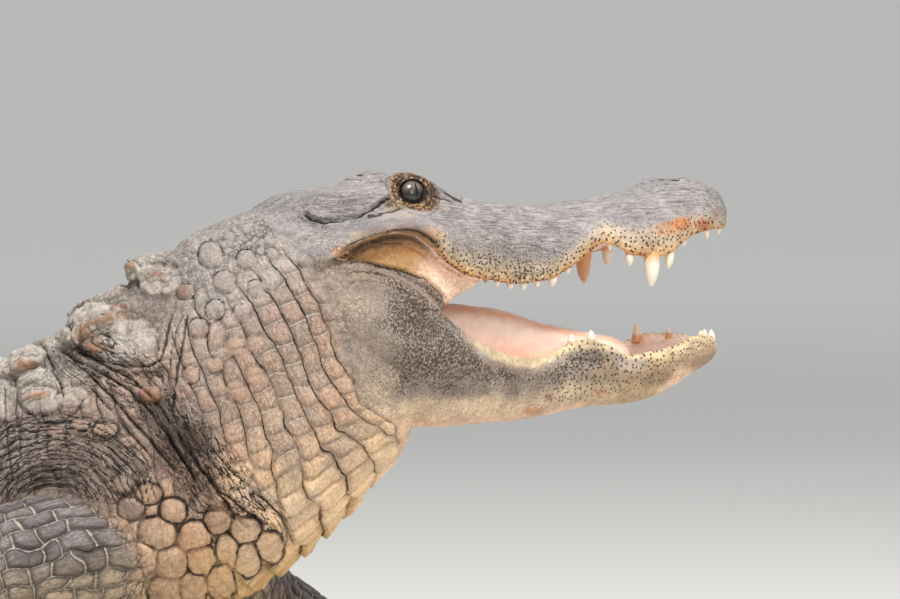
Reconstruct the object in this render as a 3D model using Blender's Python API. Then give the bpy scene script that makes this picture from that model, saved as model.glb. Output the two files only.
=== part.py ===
"""American alligator, a life-size still model.

The animal faces +X, its left side is +Y and the floor is z = 0. It rests on its belly, feet and
tail with the chest, neck and head raised and the mouth open. The head turns to the animal's left
of the trunk. Lengths along the animal are measured in plan, backwards from the tip of the snout,
and are called q. The head is drawn in its own frame: x is minus the distance behind the snout
tip, y is to the left and z is the height over the floor.
"""

import math
import random

import bmesh
import bpy
import numpy as np
from mathutils import Matrix, Vector

# ---------------------------------------------------------------- driving dimensions (metres)
GAP = 0.0003  # clearance between nodes that meet
TAIL_END_Q = 3.20

# Heading of the animal in plan, in degrees from +X towards +Y, at plan distances q.
HEADING = (
    (0.00, 22.0), (0.38, 22.0), (0.46, 14.0), (0.53, -3.0), (0.60, -16.0), (0.67, -20.0),
    (1.15, -18.0), (1.50, -8.0), (1.90, 6.0), (2.40, 14.0), (2.80, -2.0), (3.20, -26.0),
)

# The body behind the head, as slanting sections: q and z of the top of the back, q and z of the
# underside below it, and the half width.
BODY = (
    (0.415, 0.480, 0.356, 0.298, 0.100),
    (0.440, 0.492, 0.356, 0.272, 0.128),
    (0.475, 0.494, 0.362, 0.250, 0.148),
    (0.515, 0.484, 0.392, 0.217, 0.153),
    (0.555, 0.466, 0.430, 0.175, 0.154),
    (0.600, 0.440, 0.476, 0.134, 0.157),
    (0.645, 0.402, 0.532, 0.102, 0.165),
    (0.695, 0.362, 0.590, 0.068, 0.178),
    (0.750, 0.340, 0.665, 0.042, 0.196),
    (0.820, 0.331, 0.760, 0.022, 0.212),
    (0.900, 0.326, 0.860, 0.008, 0.224),
    (1.000, 0.320, 0.970, -0.004, 0.232),
    (1.120, 0.310, 1.100, -0.008, 0.232),
    (1.250, 0.295, 1.240, -0.008, 0.214),
    (1.380, 0.277, 1.380, -0.007, 0.182),
    (1.480, 0.256, 1.480, -0.006, 0.146),
    (1.600, 0.226, 1.600, -0.005, 0.114),
    (1.750, 0.196, 1.750, -0.005, 0.094),
    (1.950, 0.166, 1.950, -0.004, 0.076),
    (2.200, 0.135, 2.200, -0.004, 0.058),
    (2.500, 0.102, 2.500, -0.003, 0.042),
    (2.800, 0.069, 2.800, -0.002, 0.028),
    (3.050, 0.040, 3.050, -0.001, 0.016),
    (3.200, 0.012, 3.200, -0.001, 0.005),
)
WIDEST_AT = 0.46  # height of the widest point, as a share of the section from the underside
SQUARENESS = 2.35  # power of the sections' outline: 2 is an ellipse, more is squarer

# Upper head: x, then y and z of the ridge line over the eye, the upper side, the cheek and the
# lip, with the heights of the midline on top and of the palate below.
SKULL = (
    # x      z_top  ridge         upper side    cheek         lip           palate
    (-0.001, 0.490, 0.004, 0.490, 0.008, 0.488, 0.010, 0.482, 0.008, 0.477, 0.478),
    (-0.006, 0.502, 0.016, 0.501, 0.026, 0.497, 0.032, 0.486, 0.029, 0.473, 0.474),
    (-0.018, 0.511, 0.024, 0.513, 0.039, 0.506, 0.050, 0.489, 0.047, 0.472, 0.474),
    (-0.036, 0.516, 0.024, 0.520, 0.046, 0.510, 0.062, 0.489, 0.060, 0.471, 0.476),
    (-0.055, 0.517, 0.024, 0.523, 0.050, 0.511, 0.070, 0.486, 0.069, 0.468, 0.475),
    (-0.073, 0.514, 0.026, 0.518, 0.053, 0.507, 0.077, 0.482, 0.076, 0.458, 0.470),
    (-0.090, 0.509, 0.030, 0.510, 0.058, 0.501, 0.084, 0.477, 0.084, 0.449, 0.466),
    (-0.112, 0.504, 0.034, 0.505, 0.063, 0.496, 0.090, 0.471, 0.090, 0.445, 0.464),
    (-0.135, 0.499, 0.037, 0.501, 0.064, 0.492, 0.087, 0.470, 0.086, 0.449, 0.466),
    (-0.157, 0.496, 0.039, 0.498, 0.064, 0.489, 0.084, 0.471, 0.082, 0.459, 0.468),
    (-0.192, 0.492, 0.041, 0.495, 0.066, 0.484, 0.087, 0.461, 0.086, 0.439, 0.458),
    (-0.225, 0.491, 0.043, 0.496, 0.068, 0.483, 0.094, 0.455, 0.094, 0.424, 0.450),
    (-0.258, 0.490, 0.044, 0.498, 0.072, 0.484, 0.101, 0.453, 0.101, 0.421, 0.448),
    (-0.292, 0.492, 0.044, 0.504, 0.075, 0.487, 0.108, 0.456, 0.108, 0.425, 0.450),
    (-0.318, 0.497, 0.043, 0.515, 0.074, 0.491, 0.113, 0.461, 0.113, 0.430, 0.452),
    (-0.340, 0.504, 0.043, 0.527, 0.072, 0.494, 0.117, 0.468, 0.117, 0.442, 0.455),
    (-0.358, 0.508, 0.045, 0.530, 0.072, 0.495, 0.120, 0.474, 0.120, 0.461, 0.458),
    (-0.376, 0.510, 0.050, 0.524, 0.075, 0.495, 0.124, 0.478, 0.124, 0.471, 0.460),
    (-0.396, 0.511, 0.058, 0.514, 0.076, 0.494, 0.130, 0.478, 0.131, 0.473, 0.460),
    (-0.425, 0.510, 0.063, 0.510, 0.079, 0.486, 0.135, 0.472, 0.138, 0.467, 0.456),
    (-0.454, 0.507, 0.062, 0.504, 0.083, 0.478, 0.138, 0.464, 0.141, 0.455, 0.440),
    (-0.480, 0.494, 0.058, 0.490, 0.084, 0.470, 0.130, 0.452, 0.132, 0.436, 0.425),
    (-0.505, 0.470, 0.046, 0.466, 0.066, 0.452, 0.098, 0.440, 0.100, 0.428, 0.420),
)

GUM_AT = 0.86  # y of the inner edge of the upper lip, as a share of the lip's
GUM_RISE = 0.25  # its height, as a share of the way from the lip to the palate

# Lower jaw: x, then y and z of the lip, of the bulge of the flank and of the lower edge, with
# the heights of the underside and of the mouth's floor on the midline, and the lip's breadth.
JAW = (
    # x      lip           flank         lower edge    under  floor  rim
    (-0.010, 0.010, 0.356, 0.013, 0.353, 0.009, 0.348, 0.347, 0.355, 0.004),
    (-0.016, 0.026, 0.363, 0.031, 0.355, 0.022, 0.343, 0.342, 0.357, 0.008),
    (-0.030, 0.041, 0.367, 0.047, 0.356, 0.034, 0.337, 0.336, 0.355, 0.011),
    (-0.050, 0.055, 0.367, 0.060, 0.354, 0.042, 0.328, 0.326, 0.352, 0.013),
    (-0.072, 0.063, 0.359, 0.067, 0.346, 0.046, 0.316, 0.313, 0.348, 0.014),
    (-0.100, 0.064, 0.352, 0.069, 0.336, 0.048, 0.306, 0.303, 0.343, 0.014),
    (-0.126, 0.065, 0.349, 0.071, 0.330, 0.051, 0.302, 0.299, 0.341, 0.014),
    (-0.150, 0.071, 0.359, 0.077, 0.332, 0.055, 0.301, 0.298, 0.341, 0.015),
    (-0.177, 0.077, 0.365, 0.084, 0.334, 0.060, 0.299, 0.296, 0.342, 0.016),
    (-0.200, 0.080, 0.359, 0.088, 0.330, 0.064, 0.295, 0.292, 0.342, 0.016),
    (-0.234, 0.085, 0.347, 0.095, 0.323, 0.069, 0.290, 0.287, 0.338, 0.016),
    (-0.260, 0.090, 0.350, 0.102, 0.323, 0.074, 0.288, 0.285, 0.340, 0.018),
    (-0.286, 0.097, 0.358, 0.110, 0.326, 0.080, 0.287, 0.284, 0.346, 0.022),
    (-0.312, 0.104, 0.371, 0.120, 0.332, 0.086, 0.286, 0.283, 0.355, 0.030),
    (-0.336, 0.110, 0.388, 0.131, 0.340, 0.091, 0.286, 0.282, 0.366, 0.040),
    (-0.358, 0.115, 0.408, 0.141, 0.348, 0.094, 0.288, 0.281, 0.378, 0.050),
    (-0.385, 0.120, 0.425, 0.151, 0.358, 0.096, 0.294, 0.284, 0.392, 0.055),
    (-0.415, 0.125, 0.434, 0.158, 0.370, 0.100, 0.306, 0.294, 0.405, 0.055),
    (-0.445, 0.130, 0.444, 0.157, 0.384, 0.104, 0.326, 0.310, 0.420, 0.055),
    (-0.475, 0.118, 0.446, 0.146, 0.400, 0.100, 0.352, 0.340, 0.428, 0.050),
    (-0.500, 0.084, 0.440, 0.110, 0.412, 0.076, 0.380, 0.372, 0.430, 0.036),
)

# Teeth of one side, in a row from the front: x, length and radius at the gum.
UPPER_TEETH = (
    (-0.012, 0.006, 0.0026), (-0.036, 0.009, 0.0032), (-0.066, 0.007, 0.0032),
    (-0.086, 0.017, 0.0052), (-0.110, 0.029, 0.0080), (-0.133, 0.012, 0.0048),
    (-0.152, 0.006, 0.0032), (-0.197, 0.007, 0.0040), (-0.215, 0.010, 0.0054),
    (-0.233, 0.006, 0.0044), (-0.249, 0.007, 0.0046), (-0.264, 0.006, 0.0042),
    (-0.279, 0.005, 0.0038),
)
LOWER_TEETH = (
    (-0.017, 0.013, 0.0036), (-0.034, 0.006, 0.0030), (-0.061, 0.011, 0.0048),
    (-0.100, 0.004, 0.0028), (-0.145, 0.005, 0.0032), (-0.167, 0.009, 0.0046),
    (-0.190, 0.007, 0.0044), (-0.220, 0.005, 0.0036), (-0.248, 0.005, 0.0034),
)
TOOTH_SIDES = 5
LONG_TOOTH = 0.009  # a tooth over this length bulges a little
LONG_PROFILE = ((0.0, 1.0), (0.55, 0.72), (1.0, 0.12))  # place and size along the tooth
SHORT_PROFILE = ((0.0, 1.0), (1.0, 0.2))
FRONT_TEETH = 2  # how many at the front of each side lean ahead
FRONT_LEAN = 0.25  # how far, as a share of their length
FRONT_TOOTH_Y = 0.008  # the least distance of a tooth from the midline
TOOTH_ROOT = 0.007  # length of each tooth that is sunk in the jaw
TOOTH_INSET = 0.0065  # from the lip's edge to the middle of the tooth

# Eye: centre in the head frame, radius of the ball, and the lids round it.
EYE_X, EYE_Y, EYE_Z = -0.352, 0.0445, 0.5075
EYE_RADIUS = 0.0170
LID_THICKNESS = 0.0045
LID_LENGTH = 1.12  # how much longer than high the dome of the lids is
EYE_OPENING_LENGTH = 0.0142  # half length of the opening between the lids
EYE_OPENING_HEIGHT = 0.0120
EYE_OPENING_DEPTH = 0.0112
EYE_LOOKS_UP = 12.0  # degrees
EYE_LOOKS_AHEAD = 10.0

# Nostrils and ear slits, in the head frame.
NOSTRIL_X, NOSTRIL_Y, NOSTRIL_Z = -0.055, 0.018, 0.522
NOSTRIL_SIZE = (0.0065, 0.0022, 0.0060)
EAR_FRONT = (-0.382, 0.082, 0.497)
EAR_BACK = (-0.462, 0.085, 0.480)
EAR_HEIGHT = 0.003
EAR_DEPTH = 0.016

# Tongue: x, half width, height of its top over the floor.
TONGUE = (
    (-0.100, 0.010, 0.352), (-0.110, 0.030, 0.362), (-0.135, 0.042, 0.369),
    (-0.165, 0.048, 0.374), (-0.205, 0.054, 0.382), (-0.240, 0.059, 0.393),
    (-0.290, 0.064, 0.400), (-0.350, 0.062, 0.406), (-0.385, 0.050, 0.411),
    (-0.400, 0.020, 0.408),
)
TONGUE_SHOULDER = (0.70, 0.004)  # share of the half width, and how far below the top
TONGUE_EDGE_DROP = 0.018
TONGUE_BASE = (0.80, 0.052)

# Cuts across the body between the nodes, at plan distances of the top of the back.
BODY_NODES = (
    ("neck", 0.415, 0.640),
    ("torso_front", 0.640, 0.920),
    ("torso_middle", 0.920, 1.200),
    ("torso_rear", 1.200, 1.480),
    ("tail_base", 1.480, 1.840),
    ("tail_middle", 1.840, 2.280),
    ("tail_rear", 2.280, 2.760),
    ("tail_tip", 2.760, TAIL_END_Q),
)
BODY_SIDES = 22
TAIL_SIDES = 14
BODY_STEP = 0.044  # spacing of the sections of the body

# Raised plates of the back. Each has a foot sunk in the skin and a keel that rises towards the
# tail, and those of the neck have a low rim too. Places are given by q and by the arc from the
# midline, round the skin.
PLATE_ROOT = 0.010
KEEL_ROOT = 0.006  # how deep the foot of a plate with no rim is sunk
ROOT_LIMIT = 0.35  # the most of that, as a share of the body's half width
PLATE_RIM = 0.92  # size of the rim, as a share of the foot
KEEL_FROM, KEEL_TO = -0.30, 0.42  # ends of the keel, as shares of the plate's length
KEEL_START = 0.35  # height of the keel's front end, as a share of the rear one

# Plates of the neck and shoulders, both sides: q, arc, length, width, rim and keel heights.
NECK_PLATES = (
    (0.592, 0.028, 0.052, 0.052, 0.0070, 0.0160), (0.600, 0.086, 0.034, 0.034, 0.0050, 0.0120),
    (0.546, 0.016, 0.021, 0.023, 0.0040, 0.0080), (0.549, 0.050, 0.021, 0.023, 0.0035, 0.0075),
    (0.521, 0.017, 0.019, 0.020, 0.0035, 0.0070), (0.523, 0.052, 0.019, 0.020, 0.0030, 0.0065),
    (0.497, 0.020, 0.017, 0.019, 0.0030, 0.0060), (0.499, 0.056, 0.017, 0.019, 0.0030, 0.0055),
    (0.556, 0.084, 0.018, 0.020, 0.0030, 0.0065),
)
SHOULDER_PLATES = (
    (0.667, 0.028, 0.048, 0.052, 0.0060, 0.0150), (0.670, 0.088, 0.040, 0.036, 0.0045, 0.0110),
    (0.715, 0.024, 0.036, 0.044, 0.0035, 0.0080), (0.715, 0.068, 0.033, 0.034, 0.0030, 0.0070),
)

# Rows of scutes along the trunk: the first row's q, the spacing, and how many go across from
# each q on.
FIRST_SCUTE_ROW = 0.780
SCUTE_PITCH = 0.056
SCUTE_ROWS = 13
SCUTES_ACROSS = ((0.76, 4), (0.86, 6), (1.40, 4))
SCUTE_SIZE = (0.054, 0.060)  # length and width of the foot
SCUTE_SPACING = 0.058
SCUTE_KEEL = 0.0105
OUTER_SCUTE = 0.7  # keel height of the outermost scutes, as a share

# Crest of the tail: q, height, arc of each of the two rows, and breadth of a plate. The two
# rows run into one where the arc is small.
CREST = (
    (1.50, 0.010, 0.046, 0.038), (1.70, 0.017, 0.040, 0.030), (1.90, 0.026, 0.030, 0.019),
    (2.10, 0.033, 0.018, 0.013), (2.25, 0.039, 0.008, 0.011), (2.50, 0.042, 0.000, 0.011),
    (2.80, 0.038, 0.000, 0.010), (3.00, 0.028, 0.000, 0.008), (3.17, 0.012, 0.000, 0.005),
)
CREST_MERGES = 0.007
CREST_KEEL = (-0.08, 0.47)  # ends of the keel of a plate of the crest
WHORLS = {"tail_base": 6, "tail_middle": 8, "tail_rear": 9, "tail_tip": 8}
WHORL_FILL = 0.94  # length of a plate of the crest, as a share of the whorl
PLATE_SEED = 11
SCUTE_HEIGHT_RANGE = (0.85, 1.15)
SCUTE_LENGTH_RANGE = (0.93, 1.00)
CREST_HEIGHT_RANGE = (0.93, 1.05)

# Fold of skin at each corner of the mouth: x, y, heights of its upper and lower edges.
CHEEK_FOLD = (
    (-0.294, 0.094, 0.440, 0.424), (-0.312, 0.096, 0.446, 0.415), (-0.330, 0.098, 0.454, 0.405),
    (-0.345, 0.100, 0.463, 0.391), (-0.362, 0.104, 0.472, 0.398), (-0.385, 0.109, 0.477, 0.411),
    (-0.415, 0.114, 0.474, 0.422), (-0.446, 0.119, 0.460, 0.434),
)
FOLD_THICKNESS = 0.005

# Legs: joints as (q, distance to the side, z) and the radius there. Sides: right is negative.
# They are placed off the girdle's own heading. Each foot has a heading in degrees off it,
# outwards positive.
FORE_GIRDLE = -20.0  # heading of the shoulders in plan, in degrees
HIND_GIRDLE = -12.0
LEGS = {
    "fore_right": dict(
        side=-1, joints=((0.590, 0.105, 0.172), (0.640, 0.185, 0.158), (0.725, 0.262, 0.122),
                         (0.690, 0.300, 0.070), (0.655, 0.318, 0.018)),
        radii=(0.066, 0.060, 0.048, 0.040, 0.029), foot=20.0, hind=False),
    "fore_left": dict(
        side=1, joints=((0.590, 0.105, 0.165), (0.605, 0.190, 0.132), (0.590, 0.262, 0.092),
                        (0.545, 0.288, 0.060), (0.500, 0.300, 0.018)),
        radii=(0.066, 0.058, 0.046, 0.039, 0.029), foot=8.0, hind=False),
    "hind_right": dict(
        side=-1, joints=((1.395, 0.080, 0.120), (1.345, 0.180, 0.130), (1.265, 0.272, 0.120),
                         (1.345, 0.318, 0.072), (1.410, 0.338, 0.020)),
        radii=(0.100, 0.090, 0.063, 0.047, 0.033), foot=22.0, hind=True),
    "hind_left": dict(
        side=1, joints=((1.395, 0.080, 0.120), (1.365, 0.180, 0.128), (1.310, 0.282, 0.112),
                        (1.400, 0.322, 0.070), (1.470, 0.330, 0.020)),
        radii=(0.100, 0.090, 0.063, 0.047, 0.033), foot=14.0, hind=True),
}
LEG_SIDES = 10
LEG_STEPS = 2  # sections between two joints
ELBOW = 2  # which joint the elbow or knee is

# Feet: toes as (heading off the foot, length, radius), from the inner toe outwards.
FORE_TOES = ((-38, 0.058, 0.0110), (-16, 0.074, 0.0120), (4, 0.078, 0.0120),
             (24, 0.070, 0.0110), (46, 0.052, 0.0095))
HIND_TOES = ((-24, 0.094, 0.0140), (-6, 0.122, 0.0150), (11, 0.124, 0.0145), (29, 0.102, 0.0125))
FORE_PALM = (0.064, 0.037)  # length and half breadth
HIND_PALM = (0.108, 0.044)
WEB_REACH = 0.62  # share of the hind toes' length that the web joins
WEB_DIP = 0.80  # how far out it reaches half way between two toes, as a share of that
WEB_LOW, WEB_HIGH = 0.0012, 0.0085  # heights of its underside and top
# Sections of the palm: place along it, height of the middle, breadth and flattening.
PALM = (
    (-0.25, 0.016, 0.72, 0.80), (0.30, 0.020, 0.94, 0.62),
    (0.70, 0.014, 1.00, 0.42), (1.00, 0.010, 0.86, 0.28),
)
TOES_FROM = 0.62  # place along the palm where the toes start
WEB_FROM = 0.50
ANKLE_CUT = 0.046  # height of the level cut between the lower leg and the foot
CLAWED_TOES = 3
CLAW_LENGTH = 0.020
CLAW_ROOT = 0.008
CLAW_SIZES = (0.46, 0.08)  # at the root and at the tip, as shares of the toe's radius
CLAW_TIP_HEIGHT = 0.0012
TOE_INNER = 0.35  # length of the toe inside the palm, as a share of its length outside
TOE_ROOT_HEIGHT = 0.012
TOE_LIFT, TOE_TIP = 1.15, 0.60  # height half way and at the tip, as shares of the radius
TOE_SIDES = 5
CLAW_SIDES = 4

# Plain finishes: colour, roughness.
FINISHES = {
    "back_skin": ((0.36, 0.33, 0.31), 0.62),
    "head_skin": ((0.42, 0.39, 0.38), 0.55),
    "jaw_skin": ((0.46, 0.39, 0.33), 0.55),
    "throat_skin": ((0.66, 0.52, 0.40), 0.60),
    "leg_skin": ((0.28, 0.28, 0.29), 0.60),
    "mouth_lining": ((0.80, 0.60, 0.48), 0.35),
    "eye": ((0.05, 0.05, 0.03), 0.08),
}


# ---------------------------------------------------------------- curves
def smooth(knots):
    """Returns a function through the knots, rising and falling only where they do."""
    at, value = np.array(knots, float).T
    step = np.diff(at)
    slope = np.diff(value) / step
    tangent = np.zeros(len(at))
    tangent[0], tangent[-1] = slope[0], slope[-1]
    before, after = slope[:-1], slope[1:]
    turning = before * after <= 0
    safe = np.where(turning, 1.0, before * after)
    weight_a = 2 * step[1:] + step[:-1]
    weight_b = step[1:] + 2 * step[:-1]
    mean = (weight_a + weight_b) * safe / (weight_a * after + weight_b * before + 1e-12 * turning)
    tangent[1:-1] = np.where(turning, 0.0, mean)

    def curve(where):
        where = np.clip(np.asarray(where, float), at[0], at[-1])
        i = np.clip(np.searchsorted(at, where, side="right") - 1, 0, len(step) - 1)
        t = (where - at[i]) / step[i]
        rise = (1 + 2 * t) * (1 - t) ** 2 * value[i] + t * t * (3 - 2 * t) * value[i + 1]
        return rise + step[i] * t * (1 - t) * ((1 - t) * tangent[i] - t * tangent[i + 1])

    return curve


def rails(table):
    """Returns one smooth function of the first column for each other column of the table."""
    rows = sorted(table)
    return [smooth([(row[0], row[k]) for row in rows]) for k in range(1, len(rows[0]))]


def through(points, steps):
    """Returns points on a smooth curve through the given ones, with steps between each pair."""
    points = np.array(points, float)
    padded = np.vstack([2 * points[0] - points[1], points, 2 * points[-1] - points[-2]])
    found = []
    for i, count in enumerate(steps):
        a, b, c, d = padded[i:i + 4]
        t = np.arange(count)[:, None] / count
        found.append(0.5 * (2 * b + (c - a) * t + (2 * a - 5 * b + 4 * c - d) * t**2
                            + (3 * b - a - 3 * c + d) * t**3))
    return np.vstack(found + [points[-1:]])


# ---------------------------------------------------------------- the animal's own frames
PLAN_STEP = 0.005
plan_q = np.arange(0.0, TAIL_END_Q + 0.3, PLAN_STEP)
plan_heading = np.radians(smooth(HEADING)(plan_q))
plan_x = -np.concatenate([[0], np.cumsum(np.cos(plan_heading[1:]) * PLAN_STEP)])
plan_y = -np.concatenate([[0], np.cumsum(np.sin(plan_heading[1:]) * PLAN_STEP)])


def plan(q):
    """Returns x, y and heading of the plan curve at distance q behind the snout tip."""
    return (np.interp(q, plan_q, plan_x), np.interp(q, plan_q, plan_y),
            np.interp(q, plan_q, plan_heading))


HEAD_HEADING = math.radians(HEADING[0][1])


def head_matrix():
    """Returns the matrix that takes the head's own frame to the world."""
    return Matrix.Rotation(HEAD_HEADING, 4, "Z")


body_top_z, body_low_q, body_low_z, body_width = rails(BODY)


def body_ring(q, angles, grow=0.0):
    """Returns the body's section whose top is at q, at angles from the top, grown by a margin."""
    top_z, low_q, low_z = body_top_z(q), body_low_q(q), body_low_z(q)
    width = body_width(q) + grow
    rise = np.array([q - low_q, top_z - low_z])
    length = np.hypot(*rise)
    up = rise / length
    middle = np.array([low_q, low_z]) + up * length * WIDEST_AT
    across = np.sin(angles)
    along = np.cos(angles)
    height = np.where(along > 0, length * (1 - WIDEST_AT) + grow, length * WIDEST_AT + grow)
    power = 2 / SQUARENESS
    side = width * np.sign(across) * np.abs(across) ** power
    lift = height * np.sign(along) * np.abs(along) ** power
    x, y, heading = plan(middle[0])
    back = lift * up[0]
    return np.column_stack([
        x - back * math.cos(heading) - side * math.sin(heading),
        y - back * math.sin(heading) + side * math.cos(heading),
        np.maximum(middle[1] + lift * up[1], 0.0 - grow),
    ])


# ---------------------------------------------------------------- meshes
def mesh_object(name, verts, faces):
    """Returns a new object with this closed mesh, with its faces turned outwards."""
    mesh = bpy.data.meshes.new(name)
    mesh.from_pydata([tuple(map(float, v)) for v in verts], [], faces)
    shape = bmesh.new()
    shape.from_mesh(mesh)
    bmesh.ops.recalc_face_normals(shape, faces=shape.faces)
    bmesh.ops.triangulate(shape, faces=shape.faces)
    shape.to_mesh(mesh)
    shape.free()
    made = bpy.data.objects.new(name, mesh)
    scratch.objects.link(made)
    return made


def loft(name, rings):
    """Returns a closed object that joins the rings, which have equal counts, with flat ends."""
    count = len(rings[0])
    verts = np.vstack(rings)
    faces = [
        (i * count + j, i * count + (j + 1) % count,
         (i + 1) * count + (j + 1) % count, (i + 1) * count + j)
        for i in range(len(rings) - 1) for j in range(count)
    ]
    faces.append(tuple(range(count))[::-1])
    faces.append(tuple(range((len(rings) - 1) * count, len(rings) * count)))
    return mesh_object(name, verts, faces)


STEEP = 0.9  # vertical share of a direction above which a tube is steep


def tube_rings(centres, radii, sides, floor=None):
    """Returns the round sections of a tube along the centres, kept over the floor."""
    centres = np.array([tuple(c) for c in centres], float)
    angles = np.arange(sides) * math.tau / sides
    rings = []
    for centre, tangent, radius in zip(centres, np.gradient(centres, axis=0), radii):
        ahead = Vector(tangent).normalized()
        upright = Vector((1, 0, 0)) if abs(ahead.z) > STEEP else Vector((0, 0, 1))
        across = ahead.cross(upright).normalized()
        up = across.cross(ahead)
        ring = np.array([centre + radius * np.array(math.cos(a) * up + math.sin(a) * across)
                         for a in angles])
        if floor is not None:
            ring[:, 2] = np.maximum(ring[:, 2], floor)
        rings.append(ring)
    return rings


def tube(name, centres, radii, sides, floor=None):
    """Returns a closed tube along the centres."""
    return loft(name, tube_rings(centres, radii, sides, floor))


def settle(obj, evaluated):
    """Gives the object the evaluated mesh, and drops its modifiers."""
    mesh = bpy.data.meshes.new_from_object(evaluated)
    obj.modifiers.clear()
    old = obj.data
    obj.data = mesh
    bpy.data.meshes.remove(old)


def apply_boolean(obj, others, operation):
    """Joins or cuts the object with the others in one Boolean, and removes the others."""
    group = bpy.data.collections.new("operands")
    bpy.context.scene.collection.children.link(group)
    for other in others:
        group.objects.link(other)
    boolean = obj.modifiers.new("Shape", "BOOLEAN")
    boolean.operation = operation
    boolean.operand_type = "COLLECTION"
    boolean.collection = group
    boolean.solver = "MANIFOLD"  # many small pieces meet here, which EXACT does slowly
    bpy.context.view_layer.update()
    settle(obj, obj.evaluated_get(bpy.context.evaluated_depsgraph_get()))
    for other in others:
        bpy.data.objects.remove(other)
    bpy.data.collections.remove(group)
    keep_largest(obj)


def keep_largest(obj):
    """Keeps only the largest closed surface of the object."""
    shape = bmesh.new()
    shape.from_mesh(obj.data)
    seen, pieces = set(), []
    for start in shape.verts:
        if start in seen:
            continue
        piece, front = [], [start]
        seen.add(start)
        while front:
            vert = front.pop()
            piece.append(vert)
            for edge in vert.link_edges:
                other = edge.other_vert(vert)
                if other not in seen:
                    seen.add(other)
                    front.append(other)
        pieces.append(piece)
    pieces.sort(key=len)
    for piece in pieces[:-1]:
        bmesh.ops.delete(shape, geom=piece, context="VERTS")
    shape.to_mesh(obj.data)
    shape.free()


def grown_copy(obj, margin):
    """Returns a copy of the object with each point moved out along its normal."""
    copy = obj.copy()
    copy.data = obj.data.copy()
    scratch.objects.link(copy)
    for vert, normal in zip(copy.data.vertices, [v.normal.copy() for v in obj.data.vertices]):
        vert.co += normal * margin
    return copy


def cut_by(obj, others):
    """Cuts the object clear of the others, with the gap that meeting nodes keep."""
    for other in others:
        apply_boolean(obj, [grown_copy(other, GAP)], "DIFFERENCE")


# ---------------------------------------------------------------- head
def mirrored_ring(half):
    """Returns the whole ring from its left half, which starts and ends on the midline."""
    half = np.array(half)
    right = half[-2:0:-1].copy()
    right[:, 1] *= -1
    return np.vstack([half, right])


def stations(table, fine):
    """Returns x at the table's stations, with a few more between each pair."""
    knots = np.array([row[0] for row in table])
    between = [np.linspace(a, b, fine, endpoint=False) for a, b in zip(knots[:-1], knots[1:])]
    return np.concatenate(between + [knots[-1:]])


SKULL_STEPS = (2, 1, 2, 2, 1, 2)


def skull_ring(x, shape):
    """Returns the section of the upper head at x."""
    top, y1, z1, y2, z2, y3, z3, y4, z4, palate = [rail(x) for rail in shape]
    half = [(0, top), (y1, z1), (y2, z2), (y3, z3), (y4, z4),
            (y4 * GUM_AT, z4 + GUM_RISE * (palate - z4)), (0, palate)]
    section = through(half, SKULL_STEPS)
    section[0, 0] = section[-1, 0] = 0
    ring = np.column_stack([np.full(len(section), x), section])
    return mirrored_ring(ring)


def skull():
    """Returns the upper head without its teeth, lids and openings."""
    shape = rails(SKULL)
    return loft("head", [skull_ring(x, shape) for x in stations(SKULL, 2)])


JAW_STEPS = (1, 1, 2, 3, 2)


def jaw_ring(x, shape):
    """Returns the section of the lower jaw at x: a trough with the floor of the mouth."""
    y1, z1, y2, z2, y3, z3, under, floor, rim = [rail(x) for rail in shape]
    half = [(0, floor), (y1 - rim, 0.5 * (floor + z1)), (y1, z1), (y2, z2), (y3, z3), (0, under)]
    section = through(half, JAW_STEPS)
    section[0, 0] = section[-1, 0] = 0
    ring = np.column_stack([np.full(len(section), x), section])
    return mirrored_ring(ring)


def jaw():
    """Returns the lower jaw without its teeth."""
    shape = rails(JAW)
    return loft("lower_jaw", [jaw_ring(x, shape) for x in stations(JAW, 1)])


def tooth(name, root, tip, radius):
    """Returns a cone from the root to the tip, bulged a little if it is long."""
    root, tip = Vector(root), Vector(tip)
    long = (tip - root).length > LONG_TOOTH + TOOTH_ROOT
    profile = LONG_PROFILE if long else SHORT_PROFILE
    centres = [root + along * (tip - root) for along, _ in profile]
    return tube(name, centres, [radius * size for _, size in profile], TOOTH_SIDES)


def inwards_of(rail_y, x):
    """Returns the unit vector in plan that points inwards from the lip's edge at x."""
    near = 0.002
    slope = (rail_y(x + near) - rail_y(x - near)) / (2 * near)
    return Vector((slope, -1.0)).normalized()


def teeth(rows, rail_y, rail_z, up):
    """Returns the teeth of both sides, set a little inside the lip's edge."""
    found = []
    for side in (1, -1):
        for number, (x, length, radius) in enumerate(rows):
            inward = inwards_of(rail_y, x)
            base_x = x + TOOTH_INSET * inward.x
            base_y = max(rail_y(x) + TOOTH_INSET * inward.y, FRONT_TOOTH_Y)
            base_z = float(rail_z(x))
            lean = FRONT_LEAN * length if number < FRONT_TEETH else 0.0
            root = (base_x, side * base_y, base_z - up * TOOTH_ROOT)
            tip = (base_x + lean, side * base_y, base_z + up * length)
            found.append(tooth(f"tooth_{side}_{number}", root, tip, radius))
    return found


def cheek_folds():
    """Returns the thin folds of skin that join the head to the jaw behind the lips."""
    half = FOLD_THICKNESS / 2
    folds = []
    for side in (1, -1):
        rings = [np.array([(x, side * (y + half), top), (x, side * (y + half), bottom),
                           (x, side * (y - half), bottom), (x, side * (y - half), top)])
                 for x, y, top, bottom in CHEEK_FOLD]
        folds.append(loft("cheek_fold", rings))
    return folds


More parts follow.
